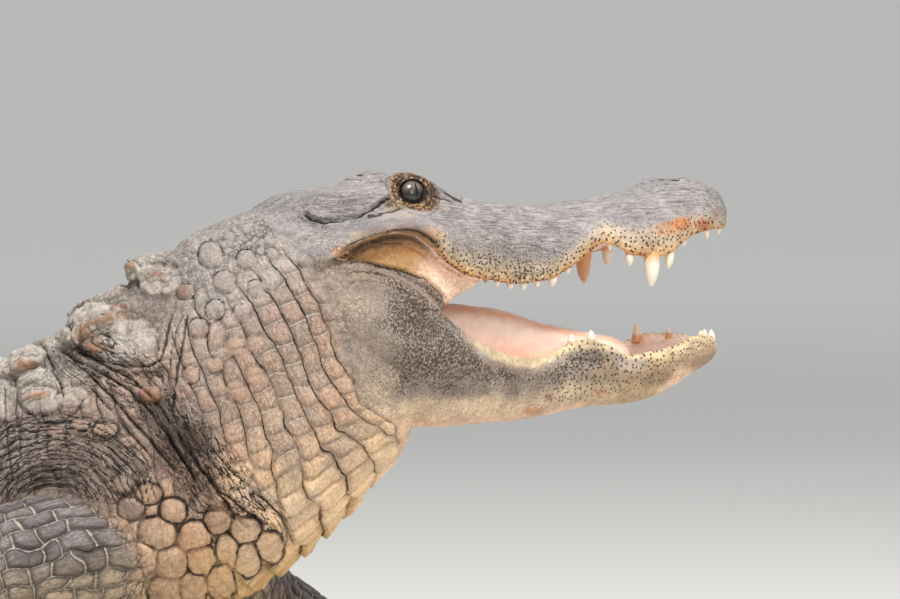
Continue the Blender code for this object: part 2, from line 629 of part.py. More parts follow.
def ellipsoid(name, centre, radii, turn=None, segments=12, rings=7):
    """Returns a closed ellipsoid, turned by a rotation matrix."""
    shape = bmesh.new()
    bmesh.ops.create_uvsphere(shape, u_segments=segments, v_segments=rings, radius=1.0)
    matrix = Matrix.Translation(centre) @ (turn or Matrix()).to_4x4() @ Matrix.Diagonal((*radii, 1))
    bmesh.ops.transform(shape, matrix=matrix, verts=shape.verts)
    mesh = bpy.data.meshes.new(name)
    shape.to_mesh(mesh)
    shape.free()
    made = bpy.data.objects.new(name, mesh)
    scratch.objects.link(made)
    return made


def eye_turn(side):
    """Returns the rotation whose +X looks out of the eye on that side, with +Z up."""
    out = Matrix.Rotation(math.radians(side * (90 - EYE_LOOKS_AHEAD)), 3, "Z")
    return out @ Matrix.Rotation(math.radians(-EYE_LOOKS_UP), 3, "Y")


def eye_centre(side):
    return Vector((EYE_X, side * EYE_Y, EYE_Z))


def eyeballs():
    """Returns the two eyeballs."""
    return {side: ellipsoid(f"eye_{name}", eye_centre(side), (EYE_RADIUS,) * 3, eye_turn(side))
            for side, name in ((1, "left"), (-1, "right"))}


def lids():
    """Returns the domes of skin round the eyeballs, which the openings are then cut from."""
    size = EYE_RADIUS + LID_THICKNESS
    return [ellipsoid("lid", eye_centre(side), (size, size * LID_LENGTH, size), eye_turn(side))
            for side in (1, -1)]


def eye_cutters():
    """Returns the sockets, and the almond openings between the lids."""
    cutters = []
    for side in (1, -1):
        turn = eye_turn(side)
        cutters.append(ellipsoid("socket", eye_centre(side), (EYE_RADIUS + GAP,) * 3, turn))
        ahead = eye_centre(side) + turn @ Vector((EYE_RADIUS + LID_THICKNESS, 0, 0))
        opening = (EYE_OPENING_DEPTH, EYE_OPENING_LENGTH, EYE_OPENING_HEIGHT)
        cutters.append(ellipsoid("opening", ahead, opening, turn))
    return cutters


def head_cutters():
    """Returns the nostrils' and the ear slits' cutters."""
    cutters = []
    for side in (1, -1):
        centre = Vector((NOSTRIL_X, side * NOSTRIL_Y, NOSTRIL_Z))
        turn = Matrix.Rotation(math.radians(side * 25), 3, "Z")
        cutters.append(ellipsoid("nostril", centre, NOSTRIL_SIZE, turn, 8, 5))
        front = Vector((EAR_FRONT[0], side * EAR_FRONT[1], EAR_FRONT[2]))
        back = Vector((EAR_BACK[0], side * EAR_BACK[1], EAR_BACK[2]))
        along = (back - front).normalized()
        across = Vector((0, side, 0))
        up = along.cross(across).normalized()
        turn = Matrix((along, across, up)).transposed()
        radii = ((back - front).length / 2, EAR_DEPTH, EAR_HEIGHT)
        cutters.append(ellipsoid("ear", (front + back) / 2, radii, turn, 10, 5))
    return cutters


def tongue():
    """Returns the tongue with the floor of the mouth under it."""
    width, top = rails(TONGUE)
    rings = []
    for x in stations(TONGUE, 1):
        wide, high = width(x), top(x)
        half = [(0, high), (TONGUE_SHOULDER[0] * wide, high - TONGUE_SHOULDER[1]),
                (wide, high - TONGUE_EDGE_DROP),
                (TONGUE_BASE[0] * wide, high - TONGUE_BASE[1]), (0, high - TONGUE_BASE[1])]
        section = through(half, (1, 2, 1, 1))
        section[0, 0] = section[-1, 0] = 0
        rings.append(mirrored_ring(np.column_stack([np.full(len(section), x), section])))
    return loft("tongue", rings)


# ---------------------------------------------------------------- body
def body_node(name, start, end):
    """Returns the length of the body between two sections, short of its neighbours by a gap."""
    first = start + (0 if name == "neck" else GAP)
    count = max(3, round((end - start) / BODY_STEP))
    sides = TAIL_SIDES if name.startswith("tail") else BODY_SIDES
    angles = np.arange(sides) * math.tau / sides
    return loft(name, [body_ring(q, angles) for q in np.linspace(first, end, count + 1)])


HALF_ROUND = np.linspace(0, math.pi, 49)


def skin_point(q, arc, lift=0.0):
    """Returns the point of the body at q and at an arc from the midline, lifted off the skin."""
    outline = body_ring(q, HALF_ROUND)
    lengths = np.concatenate([[0], np.cumsum(np.linalg.norm(np.diff(outline, axis=0), axis=1))])
    angle = math.copysign(float(np.interp(abs(arc), lengths, HALF_ROUND)), arc)
    return body_ring(q, np.array([angle]), lift)[0]


PLATE_CORNERS = ((-0.5, -0.5), (-0.5, 0.5), (0.5, 0.5), (0.5, -0.5))
PLATE_FACES = (
    (3, 2, 1, 0), (0, 1, 5, 4), (1, 2, 6, 5), (2, 3, 7, 6), (3, 0, 4, 7),
    (4, 5, 8), (5, 6, 9, 8), (6, 7, 9), (7, 4, 8, 9),
)


KEEL_FACES = ((3, 2, 1, 0), (0, 1, 4), (1, 2, 5, 4), (2, 3, 5), (3, 0, 4, 5))


def plate(q, arc, size, rim, keel):
    """Returns a plate of the neck: a sunk foot, a low rim and a keel."""
    length, width = size
    points = [skin_point(q + a * length, arc + b * width, -PLATE_ROOT) for a, b in PLATE_CORNERS]
    points += [skin_point(q + a * length * PLATE_RIM, arc + b * width * PLATE_RIM, rim)
               for a, b in PLATE_CORNERS]
    points.append(skin_point(q + KEEL_FROM * length, arc, rim + KEEL_START * (keel - rim)))
    points.append(skin_point(q + KEEL_TO * length, arc, keel))
    return mesh_object("plate", points, PLATE_FACES)


def keeled_plate(q, arc, size, keel, ends=(KEEL_FROM, KEEL_TO)):
    """Returns a plate of the trunk or tail: a sunk foot and a keel that rises rearwards."""
    length, width = size
    root = min(KEEL_ROOT, ROOT_LIMIT * float(body_width(q)))
    points = [skin_point(q + a * length, arc + b * width, -root) for a, b in PLATE_CORNERS]
    points.append(skin_point(q + ends[0] * length, arc, KEEL_START * keel))
    points.append(skin_point(q + ends[1] * length, arc, keel))
    return mesh_object("plate", points, KEEL_FACES)


def paired_plates(table):
    """Returns the plates of a table on both sides of the midline."""
    return [plate(q, side * arc, (length, width), rim, keel)
            for q, arc, length, width, rim, keel in table for side in (1, -1)]


def scute_rows(start, end, chance):
    """Returns the rows of scutes of the trunk between two sections, each a little different."""
    plates = []
    for row in range(SCUTE_ROWS):
        q = FIRST_SCUTE_ROW + row * SCUTE_PITCH
        if not start < q < end:
            continue
        across = [count for first, count in SCUTES_ACROSS if q >= first][-1]
        for place in range(across):
            arc = (place - (across - 1) / 2) * SCUTE_SPACING
            outer = place in (0, across - 1)
            height = SCUTE_KEEL * chance.uniform(*SCUTE_HEIGHT_RANGE)
            if outer:
                height *= OUTER_SCUTE
            size = (SCUTE_SIZE[0] * chance.uniform(*SCUTE_LENGTH_RANGE), SCUTE_SIZE[1])
            plates.append(keeled_plate(q, arc, size, height))
    return plates


def crest_plates(name, start, end, chance):
    """Returns the crest of one length of the tail, with one or two plates to a whorl."""
    height, offset, breadth = rails(CREST)
    pitch = (end - start) / WHORLS[name]
    plates = []
    for whorl in range(WHORLS[name]):
        q = start + (whorl + 0.5) * pitch
        arc, width = float(offset(q)), float(breadth(q))
        tall = float(height(q)) * chance.uniform(*CREST_HEIGHT_RANGE)
        for side in (-1, 1) if arc > CREST_MERGES else (0,):
            plates.append(keeled_plate(q, side * arc, (WHORL_FILL * pitch, width), tall, CREST_KEEL))
    return plates


# ---------------------------------------------------------------- legs
def girdle_heading(leg):
    """Returns the heading in plan of the girdle that the leg hangs from."""
    return math.radians(HIND_GIRDLE if leg["hind"] else FORE_GIRDLE)


def beside_girdle(leg, q, across, z):
    """Returns a point of the leg, placed straight ahead of, behind and beside its girdle."""
    root = leg["joints"][0][0]
    x, y, _ = plan(root)
    heading = girdle_heading(leg)
    ahead, left = root - q, leg["side"] * across
    return Vector((x + ahead * math.cos(heading) - left * math.sin(heading),
                   y + ahead * math.sin(heading) + left * math.cos(heading), z))


def limb_rings(leg, first, last):
    """Returns the sections of a leg between two of its joints."""
    joints = [beside_girdle(leg, *joint) for joint in leg["joints"][first:last + 1]]
    path = through([tuple(joint) for joint in joints], [LEG_STEPS] * (len(joints) - 1))
    share = np.linspace(0, 1, last - first + 1)
    radii = smooth(list(zip(share, leg["radii"][first:last + 1])))(np.linspace(0, 1, len(path)))
    return tube_rings(path, radii, LEG_SIDES)


KNOB = ((0.50, 0.84), (0.84, 0.46), (0.94, 0.10))  # reach and size of its sections


def rounded_end(rings):
    """Returns the sections with smaller ones beyond the last, as a knob of bone."""
    middle = rings[-1].mean(axis=0)
    along = middle - rings[-2].mean(axis=0)
    along /= np.linalg.norm(along)
    radius = np.linalg.norm(rings[-1][0] - middle)
    knob = [middle + (rings[-1] - middle) * size + along * radius * reach
            for reach, size in KNOB]
    return rings + knob


def floor_ring(ring):
    """Returns the section with nothing under the floor."""
    ring = ring.copy()
    ring[:, 2] = np.maximum(ring[:, 2], 0.0)
    return ring


def leg_nodes(name, leg):
    """Returns the upper leg, the lower leg and the ankle that the foot takes in."""
    upper = [floor_ring(ring) for ring in rounded_end(limb_rings(leg, 0, ELBOW))]
    lower = limb_rings(leg, ELBOW, len(leg["joints"]) - 1)
    lower = [floor_ring(ring) for ring in rounded_end(lower)]
    return (loft(f"{name}_upper", upper), loft(f"{name}_lower", lower), loft("ankle", lower))


SLAB = (6.0, 4.0, -1.5)  # length, breadth and middle of a slab that covers the whole animal


def slab(low, high):
    """Returns a wide flat box between two heights."""
    shape = bmesh.new()
    bmesh.ops.create_cube(shape, size=1.0)
    mesh = bpy.data.meshes.new("slab")
    length, breadth, middle = SLAB
    matrix = Matrix.Translation((middle, 0, (low + high) / 2))
    matrix = matrix @ Matrix.Diagonal((length, breadth, high - low, 1))
    bmesh.ops.transform(shape, matrix=matrix, verts=shape.verts)
    shape.to_mesh(mesh)
    shape.free()
    made = bpy.data.objects.new("slab", mesh)
    scratch.objects.link(made)
    return made


def foot(name, leg, ankle):
    """Returns the foot: a palm with its ankle, toes and claws, flat on the floor."""
    wrist = beside_girdle(leg, *leg["joints"][-1][:2], 0)
    heading = girdle_heading(leg) + leg["side"] * math.radians(leg["foot"])
    ahead = Vector((math.cos(heading), math.sin(heading), 0))
    length, breadth = HIND_PALM if leg["hind"] else FORE_PALM
    places = [wrist + Vector((ahead.x * length * share, ahead.y * length * share, height))
              for share, height, _, _ in PALM]
    radii = [breadth * row[2] for row in PALM]
    palm = flat_tube(f"{name}_foot", places, radii, [row[3] for row in PALM])
    toes = [ankle]
    if leg["hind"]:
        toes.append(web(leg, wrist + ahead * length * WEB_FROM, heading))
    for number, (turn, size, radius) in enumerate(HIND_TOES if leg["hind"] else FORE_TOES):
        direction = heading + leg["side"] * math.radians(turn)
        toes += toe(number, wrist + ahead * length * TOES_FROM, direction, size, radius)
    apply_boolean(palm, toes, "UNION")
    return palm


def web(leg, root, heading):
    """Returns the web between the toes of a hind foot, as a thin scalloped fan."""
    reaches = []
    for turn, size, _ in HIND_TOES:
        direction = heading + leg["side"] * math.radians(turn)
        reach = WEB_REACH * size * (1 + TOE_INNER)
        reaches.append(root + reach * Vector((math.cos(direction), math.sin(direction), 0)))
    outline = [root]
    for one, other in zip(reaches[:-1], reaches[1:]):
        outline += [one, root.lerp((one + other) / 2, WEB_DIP)]
    outline.append(reaches[-1])
    count = len(outline)
    verts = [(p.x, p.y, z) for z in (WEB_LOW, WEB_HIGH) for p in outline]
    faces = [tuple(range(count))[::-1], tuple(range(count, 2 * count))]
    faces += [(i, (i + 1) % count, count + (i + 1) % count, count + i) for i in range(count)]
    return mesh_object("web", verts, faces)


def flat_tube(name, centres, radii, flats):
    """Returns a tube whose sections are each flattened by their own factor."""
    rings = []
    angles = np.arange(LEG_SIDES) * math.tau / LEG_SIDES
    path = np.array([tuple(c) for c in centres])
    tangents = np.gradient(path, axis=0)
    for centre, tangent, radius, flat in zip(path, tangents, radii, flats):
        ahead = Vector((tangent[0], tangent[1], 0)).normalized()
        across = np.array(ahead.cross(Vector((0, 0, 1))))
        up = np.array((0, 0, 1.0))
        ring = np.array([centre + radius * (math.cos(a) * flat * up + math.sin(a) * across)
                         for a in angles])
        ring[:, 2] = np.maximum(ring[:, 2], 0.0)
        rings.append(ring)
    return loft(name, rings)


def toe(number, root, direction, size, radius):
    """Returns a toe that slopes down to the floor, with its claw if it is an inner one."""
    ahead = Vector((math.cos(direction), math.sin(direction), 0))
    centres = [root + ahead * size * along + Vector((0, 0, height))
               for along, height in ((0.0, TOE_ROOT_HEIGHT), (TOE_INNER + 0.5, radius * TOE_LIFT),
                                     (TOE_INNER + 1.0, radius * TOE_TIP))]
    widths = (radius, radius, radius * TOE_TIP)
    pieces = [tube(f"toe_{number}", centres, widths, TOE_SIDES, floor=0.0)]
    if number < CLAWED_TOES:
        base = centres[-1] - ahead * CLAW_ROOT
        tip = base + ahead * (CLAW_LENGTH + CLAW_ROOT)
        tip.z = CLAW_TIP_HEIGHT
        pieces.append(tube(f"claw_{number}", [base, tip],
                           [radius * share for share in CLAW_SIZES], CLAW_SIDES, floor=0.0))
    return pieces


# ---------------------------------------------------------------- assembly
def clear_scene():
    """Empties the scene."""
    for obj in list(bpy.data.objects):
        bpy.data.objects.remove(obj)


def finish(name):
    """Returns the material of that name."""
    if name in bpy.data.materials:
        return bpy.data.materials[name]
    colour, roughness = FINISHES[name]
    material = bpy.data.materials.new(name)
    material.use_nodes = True
    shader = material.node_tree.nodes["Principled BSDF"]
    shader.inputs["Base Color"].default_value = (*colour, 1)
    shader.inputs["Roughness"].default_value = roughness
    shader.inputs["Metallic"].default_value = 0.0
    return material


def add_node(obj, finish_name):
    """Puts the finished node in the alligator's collection, smooth shaded, with its finish."""
    scratch.objects.unlink(obj)
    animal.objects.link(obj)
    obj.data.materials.clear()
    obj.data.materials.append(finish(finish_name))
    obj.data.shade_smooth()
    obj.data.set_sharp_from_angle(angle=math.radians(40))
    return obj


def head_nodes():
    """Returns the head, the lower jaw, the tongue and the eyes, in world places."""
    skull_shape = rails(SKULL)
    jaw_shape = rails(JAW)
    upper = skull()
    upper_teeth = teeth(UPPER_TEETH, skull_shape[7], skull_shape[8], -1)
    apply_boolean(upper, upper_teeth + lids() + cheek_folds(), "UNION")
    apply_boolean(upper, eye_cutters() + head_cutters(), "DIFFERENCE")
    lower = jaw()
    apply_boolean(lower, teeth(LOWER_TEETH, jaw_shape[0], jaw_shape[1], 1), "UNION")
    cut_by(lower, [upper])
    pad = tongue()
    cut_by(pad, [lower, upper])
    balls = eyeballs()
    nodes = [upper, lower, pad, *balls.values()]
    for node in nodes:
        node.data.transform(head_matrix())
    return nodes


def body_nodes():
    """Returns the neck, the lengths of the torso and those of the tail."""
    chance = random.Random(PLATE_SEED)
    nodes = {}
    for name, start, end in BODY_NODES:
        nodes[name] = body_node(name, start, end)
        if name in WHORLS:
            plates = crest_plates(name, start, min(end, CREST[-1][0]), chance)
        else:
            plates = scute_rows(start, end, chance)
        if name == "neck":
            plates += paired_plates(NECK_PLATES)
        if name == "torso_front":
            plates += paired_plates(SHOULDER_PLATES)
        apply_boolean(nodes[name], plates, "UNION")
    return nodes


def main():
    head = head_nodes()
    body = body_nodes()
    cut_by(body["neck"], head[:3])
    legs = []
    for name, leg in LEGS.items():
        upper, lower, ankle = leg_nodes(name, leg)
        touching = ("torso_rear", "torso_middle") if leg["hind"] else ("neck", "torso_front")
        cut_by(upper, [body[key] for key in touching])
        cut_by(lower, [upper])
        paw = foot(name, leg, ankle)
        apply_boolean(paw, [slab(ANKLE_CUT - GAP / 2, 1.0)], "DIFFERENCE")
        apply_boolean(lower, [slab(-1.0, ANKLE_CUT + GAP / 2)], "DIFFERENCE")
        legs += [upper, lower, paw]
    upper, lower, pad, left_eye, right_eye = head
    add_node(upper, "head_skin")
    add_node(lower, "jaw_skin")
    add_node(pad, "mouth_lining")
    add_node(left_eye, "eye")
    add_node(right_eye, "eye")
    for name, node in body.items():
        add_node(node, "throat_skin" if name == "neck" else "back_skin")
    for node in legs:
        add_node(node, "leg_skin")
    bpy.data.collections.remove(scratch)
    stand_on_origin()


def stand_on_origin():
    """Hangs every node on an empty that puts the origin under the middle of the animal."""
    points = np.array([tuple(v.co) for obj in animal.objects for v in obj.data.vertices])
    low, high = points.min(axis=0), points.max(axis=0)
    middle = (low + high) / 2
    anchor = bpy.data.objects.new("alligator_origin", None)
    anchor.location = (-middle[0], -middle[1], -low[2])
    nodes = list(animal.objects)
    animal.objects.link(anchor)
    for node in nodes:
        node.parent = anchor


clear_scene()
scratch = bpy.data.collections.new("cutters")
scratch.hide_render = True
bpy.context.scene.collection.children.link(scratch)
animal = bpy.data.collections.new("american_alligator")
bpy.context.scene.collection.children.link(animal)
main()
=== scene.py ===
"""The looks of a life-size American alligator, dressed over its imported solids.

All shapes are drawn in the animal's own frame: it faces +X, its left side is +Y and the floor is
z = 0. Distances along the animal are measured in plan, backwards from the tip of the snout, and
are called q. The head has a frame of its own: x is minus the distance behind the snout tip, y is
to the left and z is the height over the floor. Sizes are in metres, but the tables of sections,
of the crest, the folds and the teeth are in millimetres, and so is the side drawing that the
creases, plates, knobs and patches of colour are laid out in.
"""

import itertools
import logging
import math
from dataclasses import dataclass, field
from enum import Enum, IntEnum
from typing import Callable, Optional, Sequence

import bmesh
import bpy
import numpy as np
from mathutils import Matrix, Vector


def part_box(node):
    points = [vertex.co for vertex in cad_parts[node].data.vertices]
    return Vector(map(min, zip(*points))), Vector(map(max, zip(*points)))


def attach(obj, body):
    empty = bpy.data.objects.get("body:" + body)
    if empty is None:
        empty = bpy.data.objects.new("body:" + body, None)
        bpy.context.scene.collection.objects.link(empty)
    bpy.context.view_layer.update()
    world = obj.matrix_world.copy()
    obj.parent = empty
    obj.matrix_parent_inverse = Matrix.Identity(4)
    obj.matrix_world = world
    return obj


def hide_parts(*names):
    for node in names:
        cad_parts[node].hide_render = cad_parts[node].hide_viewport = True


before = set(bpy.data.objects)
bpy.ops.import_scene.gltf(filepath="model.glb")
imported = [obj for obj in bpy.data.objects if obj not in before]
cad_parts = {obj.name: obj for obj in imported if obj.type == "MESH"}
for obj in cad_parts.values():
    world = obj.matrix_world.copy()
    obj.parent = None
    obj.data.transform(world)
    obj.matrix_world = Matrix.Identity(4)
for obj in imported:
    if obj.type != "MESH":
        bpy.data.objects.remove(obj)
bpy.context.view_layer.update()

log = logging.getLogger("alligator")
Array = np.ndarray
Curve = Callable[[Array], Array]
Colour = tuple[float, float, float]

MM = 0.001
BODY = "root"


class Slot(Enum):
    """The record's material slots, listed by name; the pieces here build their own finishes and do
    not read them.
    """

    HIDE = "back_skin"
    MOUTH = "mouth_lining"
    TEETH = "teeth"
    CLAWS = "claws"
    EYE = "eye"


class Side(Enum):
    """The two sides of the animal, as the sign of y."""

    LEFT = 1
    RIGHT = -1


# ------------------------------------------------------------------------- curves and fields
def smooth(knots: Sequence[tuple[float, float]]) -> Curve:
    """Makes a curve through the knots that rises and falls only where they do.

    Args:
        knots: pairs of place and value, with places rising.

    Returns:
        A function of place, for numbers or arrays.
    """
    at, value = np.array(knots, float).T
    step = np.diff(at)
    slope = np.diff(value) / step
    tangent = np.zeros(len(at))
    tangent[0], tangent[-1] = slope[0], slope[-1]
    before, after = slope[:-1], slope[1:]
    turning = before * after <= 0
    safe = np.where(turning, 1.0, before * after)
    weight_a = 2 * step[1:] + step[:-1]
    weight_b = step[1:] + 2 * step[:-1]
    mean = (weight_a + weight_b) * safe / (weight_a * after + weight_b * before + 1e-12 * turning)
    tangent[1:-1] = np.where(turning, 0.0, mean)

    def curve(where: Array) -> Array:
        """Returns the value at each place."""
        where = np.clip(np.asarray(where, float), at[0], at[-1])
        i = np.clip(np.searchsorted(at, where, side="right") - 1, 0, len(step) - 1)
        t = (where - at[i]) / step[i]
        rise = (1 + 2 * t) * (1 - t) ** 2 * value[i] + t * t * (3 - 2 * t) * value[i + 1]
        return rise + step[i] * t * (1 - t) * ((1 - t) * tangent[i] - t * tangent[i + 1])

    return curve


def metres(table: Sequence) -> Array:
    """Returns a table of millimetres in metres."""
    return np.array(table, float) / 1000


def rails(table: Sequence[Sequence[float]]) -> list[Curve]:
    """Returns one smooth function of the first column for each other column of the table.

    Args:
        table: rows of lengths in millimetres.

    Returns:
        The functions, which take and give metres.
    """
    at, *columns = metres(sorted(table)).T
    return [smooth(list(zip(at, column))) for column in columns]


def through(points: Sequence[Sequence[float]], steps: Sequence[int]) -> Array:
    """Draws a smooth curve through points.

    Args:
        points: the points, in any number of dimensions.
        steps: how many steps to take between each pair.

    Returns:
        The points of the curve.
    """
    points = np.array(points, float)
    padded = np.vstack([2 * points[0] - points[1], points, 2 * points[-1] - points[-2]])
    found = []
    for i, count in enumerate(steps):
        a, b, c, d = padded[i:i + 4]
        t = np.arange(count)[:, None] / count
        found.append(0.5 * (2 * b + (c - a) * t + (2 * a - 5 * b + 4 * c - d) * t**2
                            + (3 * b - a - 3 * c + d) * t**3))
    return np.vstack(found + [points[-1:]])


def ramp(low: float, high: float, value: Array) -> Array:
    """Returns 0 below low, 1 above high and a smooth rise between them; low may be the higher."""
    t = np.clip((np.asarray(value, float) - low) / (high - low), 0, 1)
    return t * t * (3 - 2 * t)


def bell(value: Array, width: float) -> Array:
    """Returns 1 at 0, falling smoothly to nearly nothing at twice the width."""
    return np.exp(-np.square(np.asarray(value, float) / width))


def level(heading: float) -> Array:
    """Returns the level direction of a heading."""
    return np.array((math.cos(heading), math.sin(heading), 0.0))


def rgb(red: float, green: float, blue: float) -> Array:
    """Returns a screen colour of 0 to 255 as linear light."""
    screen = np.array((red, green, blue), float) / 255
    return np.where(screen <= 0.04045, screen / 12.92, ((screen + 0.055) / 1.055) ** 2.4)


def scatter(cell: Array, seed: int) -> Array:
    """Returns a fixed number from 0 to 1 for each whole-numbered cell.

    Args:
        cell: rows of two or three whole numbers.
        seed: picks one of many patterns.
    """
    factors = (0x8DA6B343, 0xD8163841, 0xCB1AB31F)
    mixed = np.full(len(cell), (seed * 0x9E3779B1) & 0xFFFFFFFF, np.uint32)
    for column, factor in zip(cell.T, factors):
        mixed ^= column.astype(np.uint32) * np.uint32(factor)
    mixed ^= mixed >> np.uint32(15)
    mixed *= np.uint32(0x2C1B3C6D)
    mixed ^= mixed >> np.uint32(12)
    mixed *= np.uint32(0x297A2D39)
    mixed ^= mixed >> np.uint32(15)
    return mixed.astype(np.float64) / 2**32


def grain(points: Array, size: float, seed: int) -> Array:
    """Returns soft random waves from -1 to 1 over the points, with lumps of that size."""
    scaled = points / size
    base = np.floor(scaled).astype(np.int64)
    part = scaled - base
    part = part * part * (3 - 2 * part)
    total = np.zeros(len(points))
    for corner in itertools.product((0, 1), repeat=points.shape[1]):
        weight = np.ones(len(points))
        for axis, high in enumerate(corner):
            weight *= part[:, axis] if high else 1 - part[:, axis]
        total += weight * scatter(base + np.array(corner), seed)
    return 2 * total - 1


def pebbles(points: Array, size: float, seed: int) -> tuple[Array, Array]:
    """Splits the points into irregular cells, as small scales are.

    Args:
        points: places in two or three dimensions.
        size: rough breadth of a cell.
        seed: picks one of many patterns.

    Returns:
        The distance of each point from the nearest border, as a share of the size, and a fixed
        number from 0 to 1 for its cell.
    """
    scaled = points / size
    base = np.floor(scaled).astype(np.int64)
    nearest = np.full(len(points), 9.0)
    second = np.full(len(points), 9.0)
    tone = np.zeros(len(points))
    for offset in itertools.product((-1, 0, 1), repeat=points.shape[1]):
        cell = base + np.array(offset)
        centre = cell + 0.5
        for axis in range(points.shape[1]):
            centre[:, axis] += 0.75 * (scatter(cell, seed + 7 * axis) - 0.5)
        distance = np.sqrt(np.square(scaled - centre).sum(axis=1))
        closer = distance < nearest
        second = np.where(closer, nearest, np.minimum(second, distance))
        tone = np.where(closer, scatter(cell, seed + 31), tone)
        nearest = np.where(closer, distance, nearest)
    return (second - nearest) / 2, tone


def tiles(rows: Array, cells: Array, seed: int) -> tuple[Array, ...]:
    """Splits rows of scales into uneven cells that are offset from row to row.

    Args:
        rows: place across the rows, one row for each whole number.
        cells: place along the rows, about one cell for each whole number.
        seed: picks one of many patterns.

    Returns:
        Places across the row and along the cell from -1 to 1, a fixed number from 0 to 1 for
        each cell, and two waves that cross zero at the borders of rows and of cells.
    """
    row = np.floor(rows)
    slide = cells + (0.618 * row) % 1
    whole = np.floor(slide)
    part = slide - whole
    here = scatter(np.column_stack([row, whole]).astype(np.int64), seed)
    after = scatter(np.column_stack([row, whole + 1]).astype(np.int64), seed)
    slide = slide + 0.40 * (here + (after - here) * part * part * (3 - 2 * part) - 0.5)
    whole = np.floor(slide)
    chance = scatter(np.column_stack([row, whole]).astype(np.int64), seed + 1)
    return (2 * (rows - row) - 1, 2 * (slide - whole) - 1, chance, np.sin(math.pi * rows),
            np.sin(math.pi * slide))


def line_distance(points: Array, line: Sequence[tuple[float, float]]) -> tuple[Array, Array]:
    """Measures points in a plane against a line of several stretches.

    Args:
        points: places, two numbers each.
        line: the line's corners.

    Returns:
        The distance of each point from the line, and how far along the line it is, from 0 to 1.
    """
    corners = np.array(line, float)
    lengths = np.linalg.norm(np.diff(corners, axis=0), axis=1)
    starts = np.concatenate([[0], np.cumsum(lengths)])
    best = np.full(len(points), 1e9)
    along = np.zeros(len(points))
    for i, length in enumerate(lengths):
        ahead = (corners[i + 1] - corners[i]) / length
        rest = points - corners[i]
        t = np.clip(rest @ ahead, 0, length)
        distance = np.linalg.norm(rest - t[:, None] * ahead, axis=1)
        closer = distance < best
        best = np.where(closer, distance, best)
        along = np.where(closer, starts[i] + t, along)
    return best, along / starts[-1]


# ------------------------------------------------------------------------- closed forms
@dataclass
class Form:
    """A closed surface of triangles."""

    points: Array
    corners: Array


def lofted(rings: Sequence[Array]) -> Form:
    """Joins rings of equal counts into a closed form with flat ends."""
    stack = np.array(rings, float)
    rows, count, _ = stack.shape
    first = (np.arange(rows - 1)[:, None] * count + np.arange(count)).ravel()
    after = (np.arange(rows - 1)[:, None] * count + (np.arange(count) + 1) % count).ravel()
    sides = np.vstack([np.column_stack([first, after, after + count]),
                       np.column_stack([first, after + count, first + count])])
    points = np.vstack([stack.reshape(-1, 3), stack[0].mean(axis=0), stack[-1].mean(axis=0)])
    ring, turned = np.arange(count), (np.arange(count) + 1) % count
    last = (rows - 1) * count
    low = np.column_stack([turned, ring, np.full(count, rows * count)])
    high = np.column_stack([ring + last, turned + last, np.full(count, rows * count + 1)])
    return Form(points, np.vstack([sides, low, high]))


def together(forms: Sequence[Form]) -> Form:
    """Puts several forms into one, each still closed on its own."""
    points, corners, count = [], [], 0
    for form in forms:
        points.append(form.points)
        corners.append(form.corners + count)
        count += len(form.points)
    return Form(np.vstack(points), np.vstack(corners))


def ball(centre: Sequence[float], radii: Sequence[float], turn: Array, rows: int = 24,
         count: int = 32) -> Form:
    """Makes a closed egg shape.

    Args:
        centre: its middle.
        radii: its half lengths.
        turn: the rotation of its axes, as a 3 by 3 array.
        rows: sections from end to end.
        count: points round a section.
    """
    lean = np.linspace(0.02, math.pi - 0.02, rows)
    round_ = np.arange(count) * math.tau / count
    rings = [np.column_stack([np.full(count, math.cos(a)), math.sin(a) * np.cos(round_),
                              math.sin(a) * np.sin(round_)]) for a in lean]
    form = lofted(rings)
    form.points = (form.points * np.array(radii)) @ turn.T + np.array(centre)
    return form


def tube_rings(centres: Array, radii: Array, sides: int,
               flats: Optional[Array] = None) -> list[Array]:
    """Returns the sections of a tube along the centres, with nothing under the floor.

    Args:
        centres: the middle of each section.
        radii: half the breadth of each section.
        sides: points round a section.
        flats: height of each section as a share of its breadth.
    """
    centres = np.array(centres, float)
    flats = np.ones(len(centres)) if flats is None else flats
    angles = np.arange(sides) * math.tau / sides
    rings = []
    for centre, tangent, radius, flat in zip(centres, np.gradient(centres, axis=0), radii, flats):
        ahead = Vector(tangent).normalized()
        upright = Vector((1, 0, 0)) if abs(ahead.z) > 0.9 else Vector((0, 0, 1))
        across = ahead.cross(upright).normalized()
        up = across.cross(ahead)
        ring = (centre + radius * flat * np.cos(angles)[:, None] * np.array(up)
                + radius * np.sin(angles)[:, None] * np.array(across))
        ring[:, 2] = np.maximum(ring[:, 2], 0.0)
        rings.append(ring)
    return rings


def added(name: str, data: bpy.types.ID) -> bpy.types.Object:
    """Makes an object of the mesh, light or camera and puts it in the scene."""
    made = bpy.data.objects.new(name, data)
    bpy.context.scene.collection.objects.link(made)
    return made


def aimed(made: bpy.types.Object, place: Vector, aim: Vector) -> None:
    """Puts a light or a camera at the place and turns it to the aim."""
    made.location = place
    made.rotation_euler = (aim - place).to_track_quat("-Z", "Y").to_euler()


def mesh_piece(name: str, form: Form) -> bpy.types.Object:
    """Makes an object of the form, moved from the animal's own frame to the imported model's."""
    mesh = bpy.data.meshes.new(name)
    count = len(form.corners)
    mesh.vertices.add(len(form.points))
    mesh.vertices.foreach_set("co", (form.points + STANCE.anchor).astype(np.float32).ravel())
    mesh.loops.add(3 * count)
    mesh.loops.foreach_set("vertex_index", form.corners.astype(np.int32).ravel())
    mesh.polygons.add(count)
    mesh.polygons.foreach_set("loop_start", np.arange(0, 3 * count, 3, dtype=np.int32))
    mesh.update(calc_edges=True)
    mesh.validate()
    mesh.shade_smooth()
    return added(name, mesh)


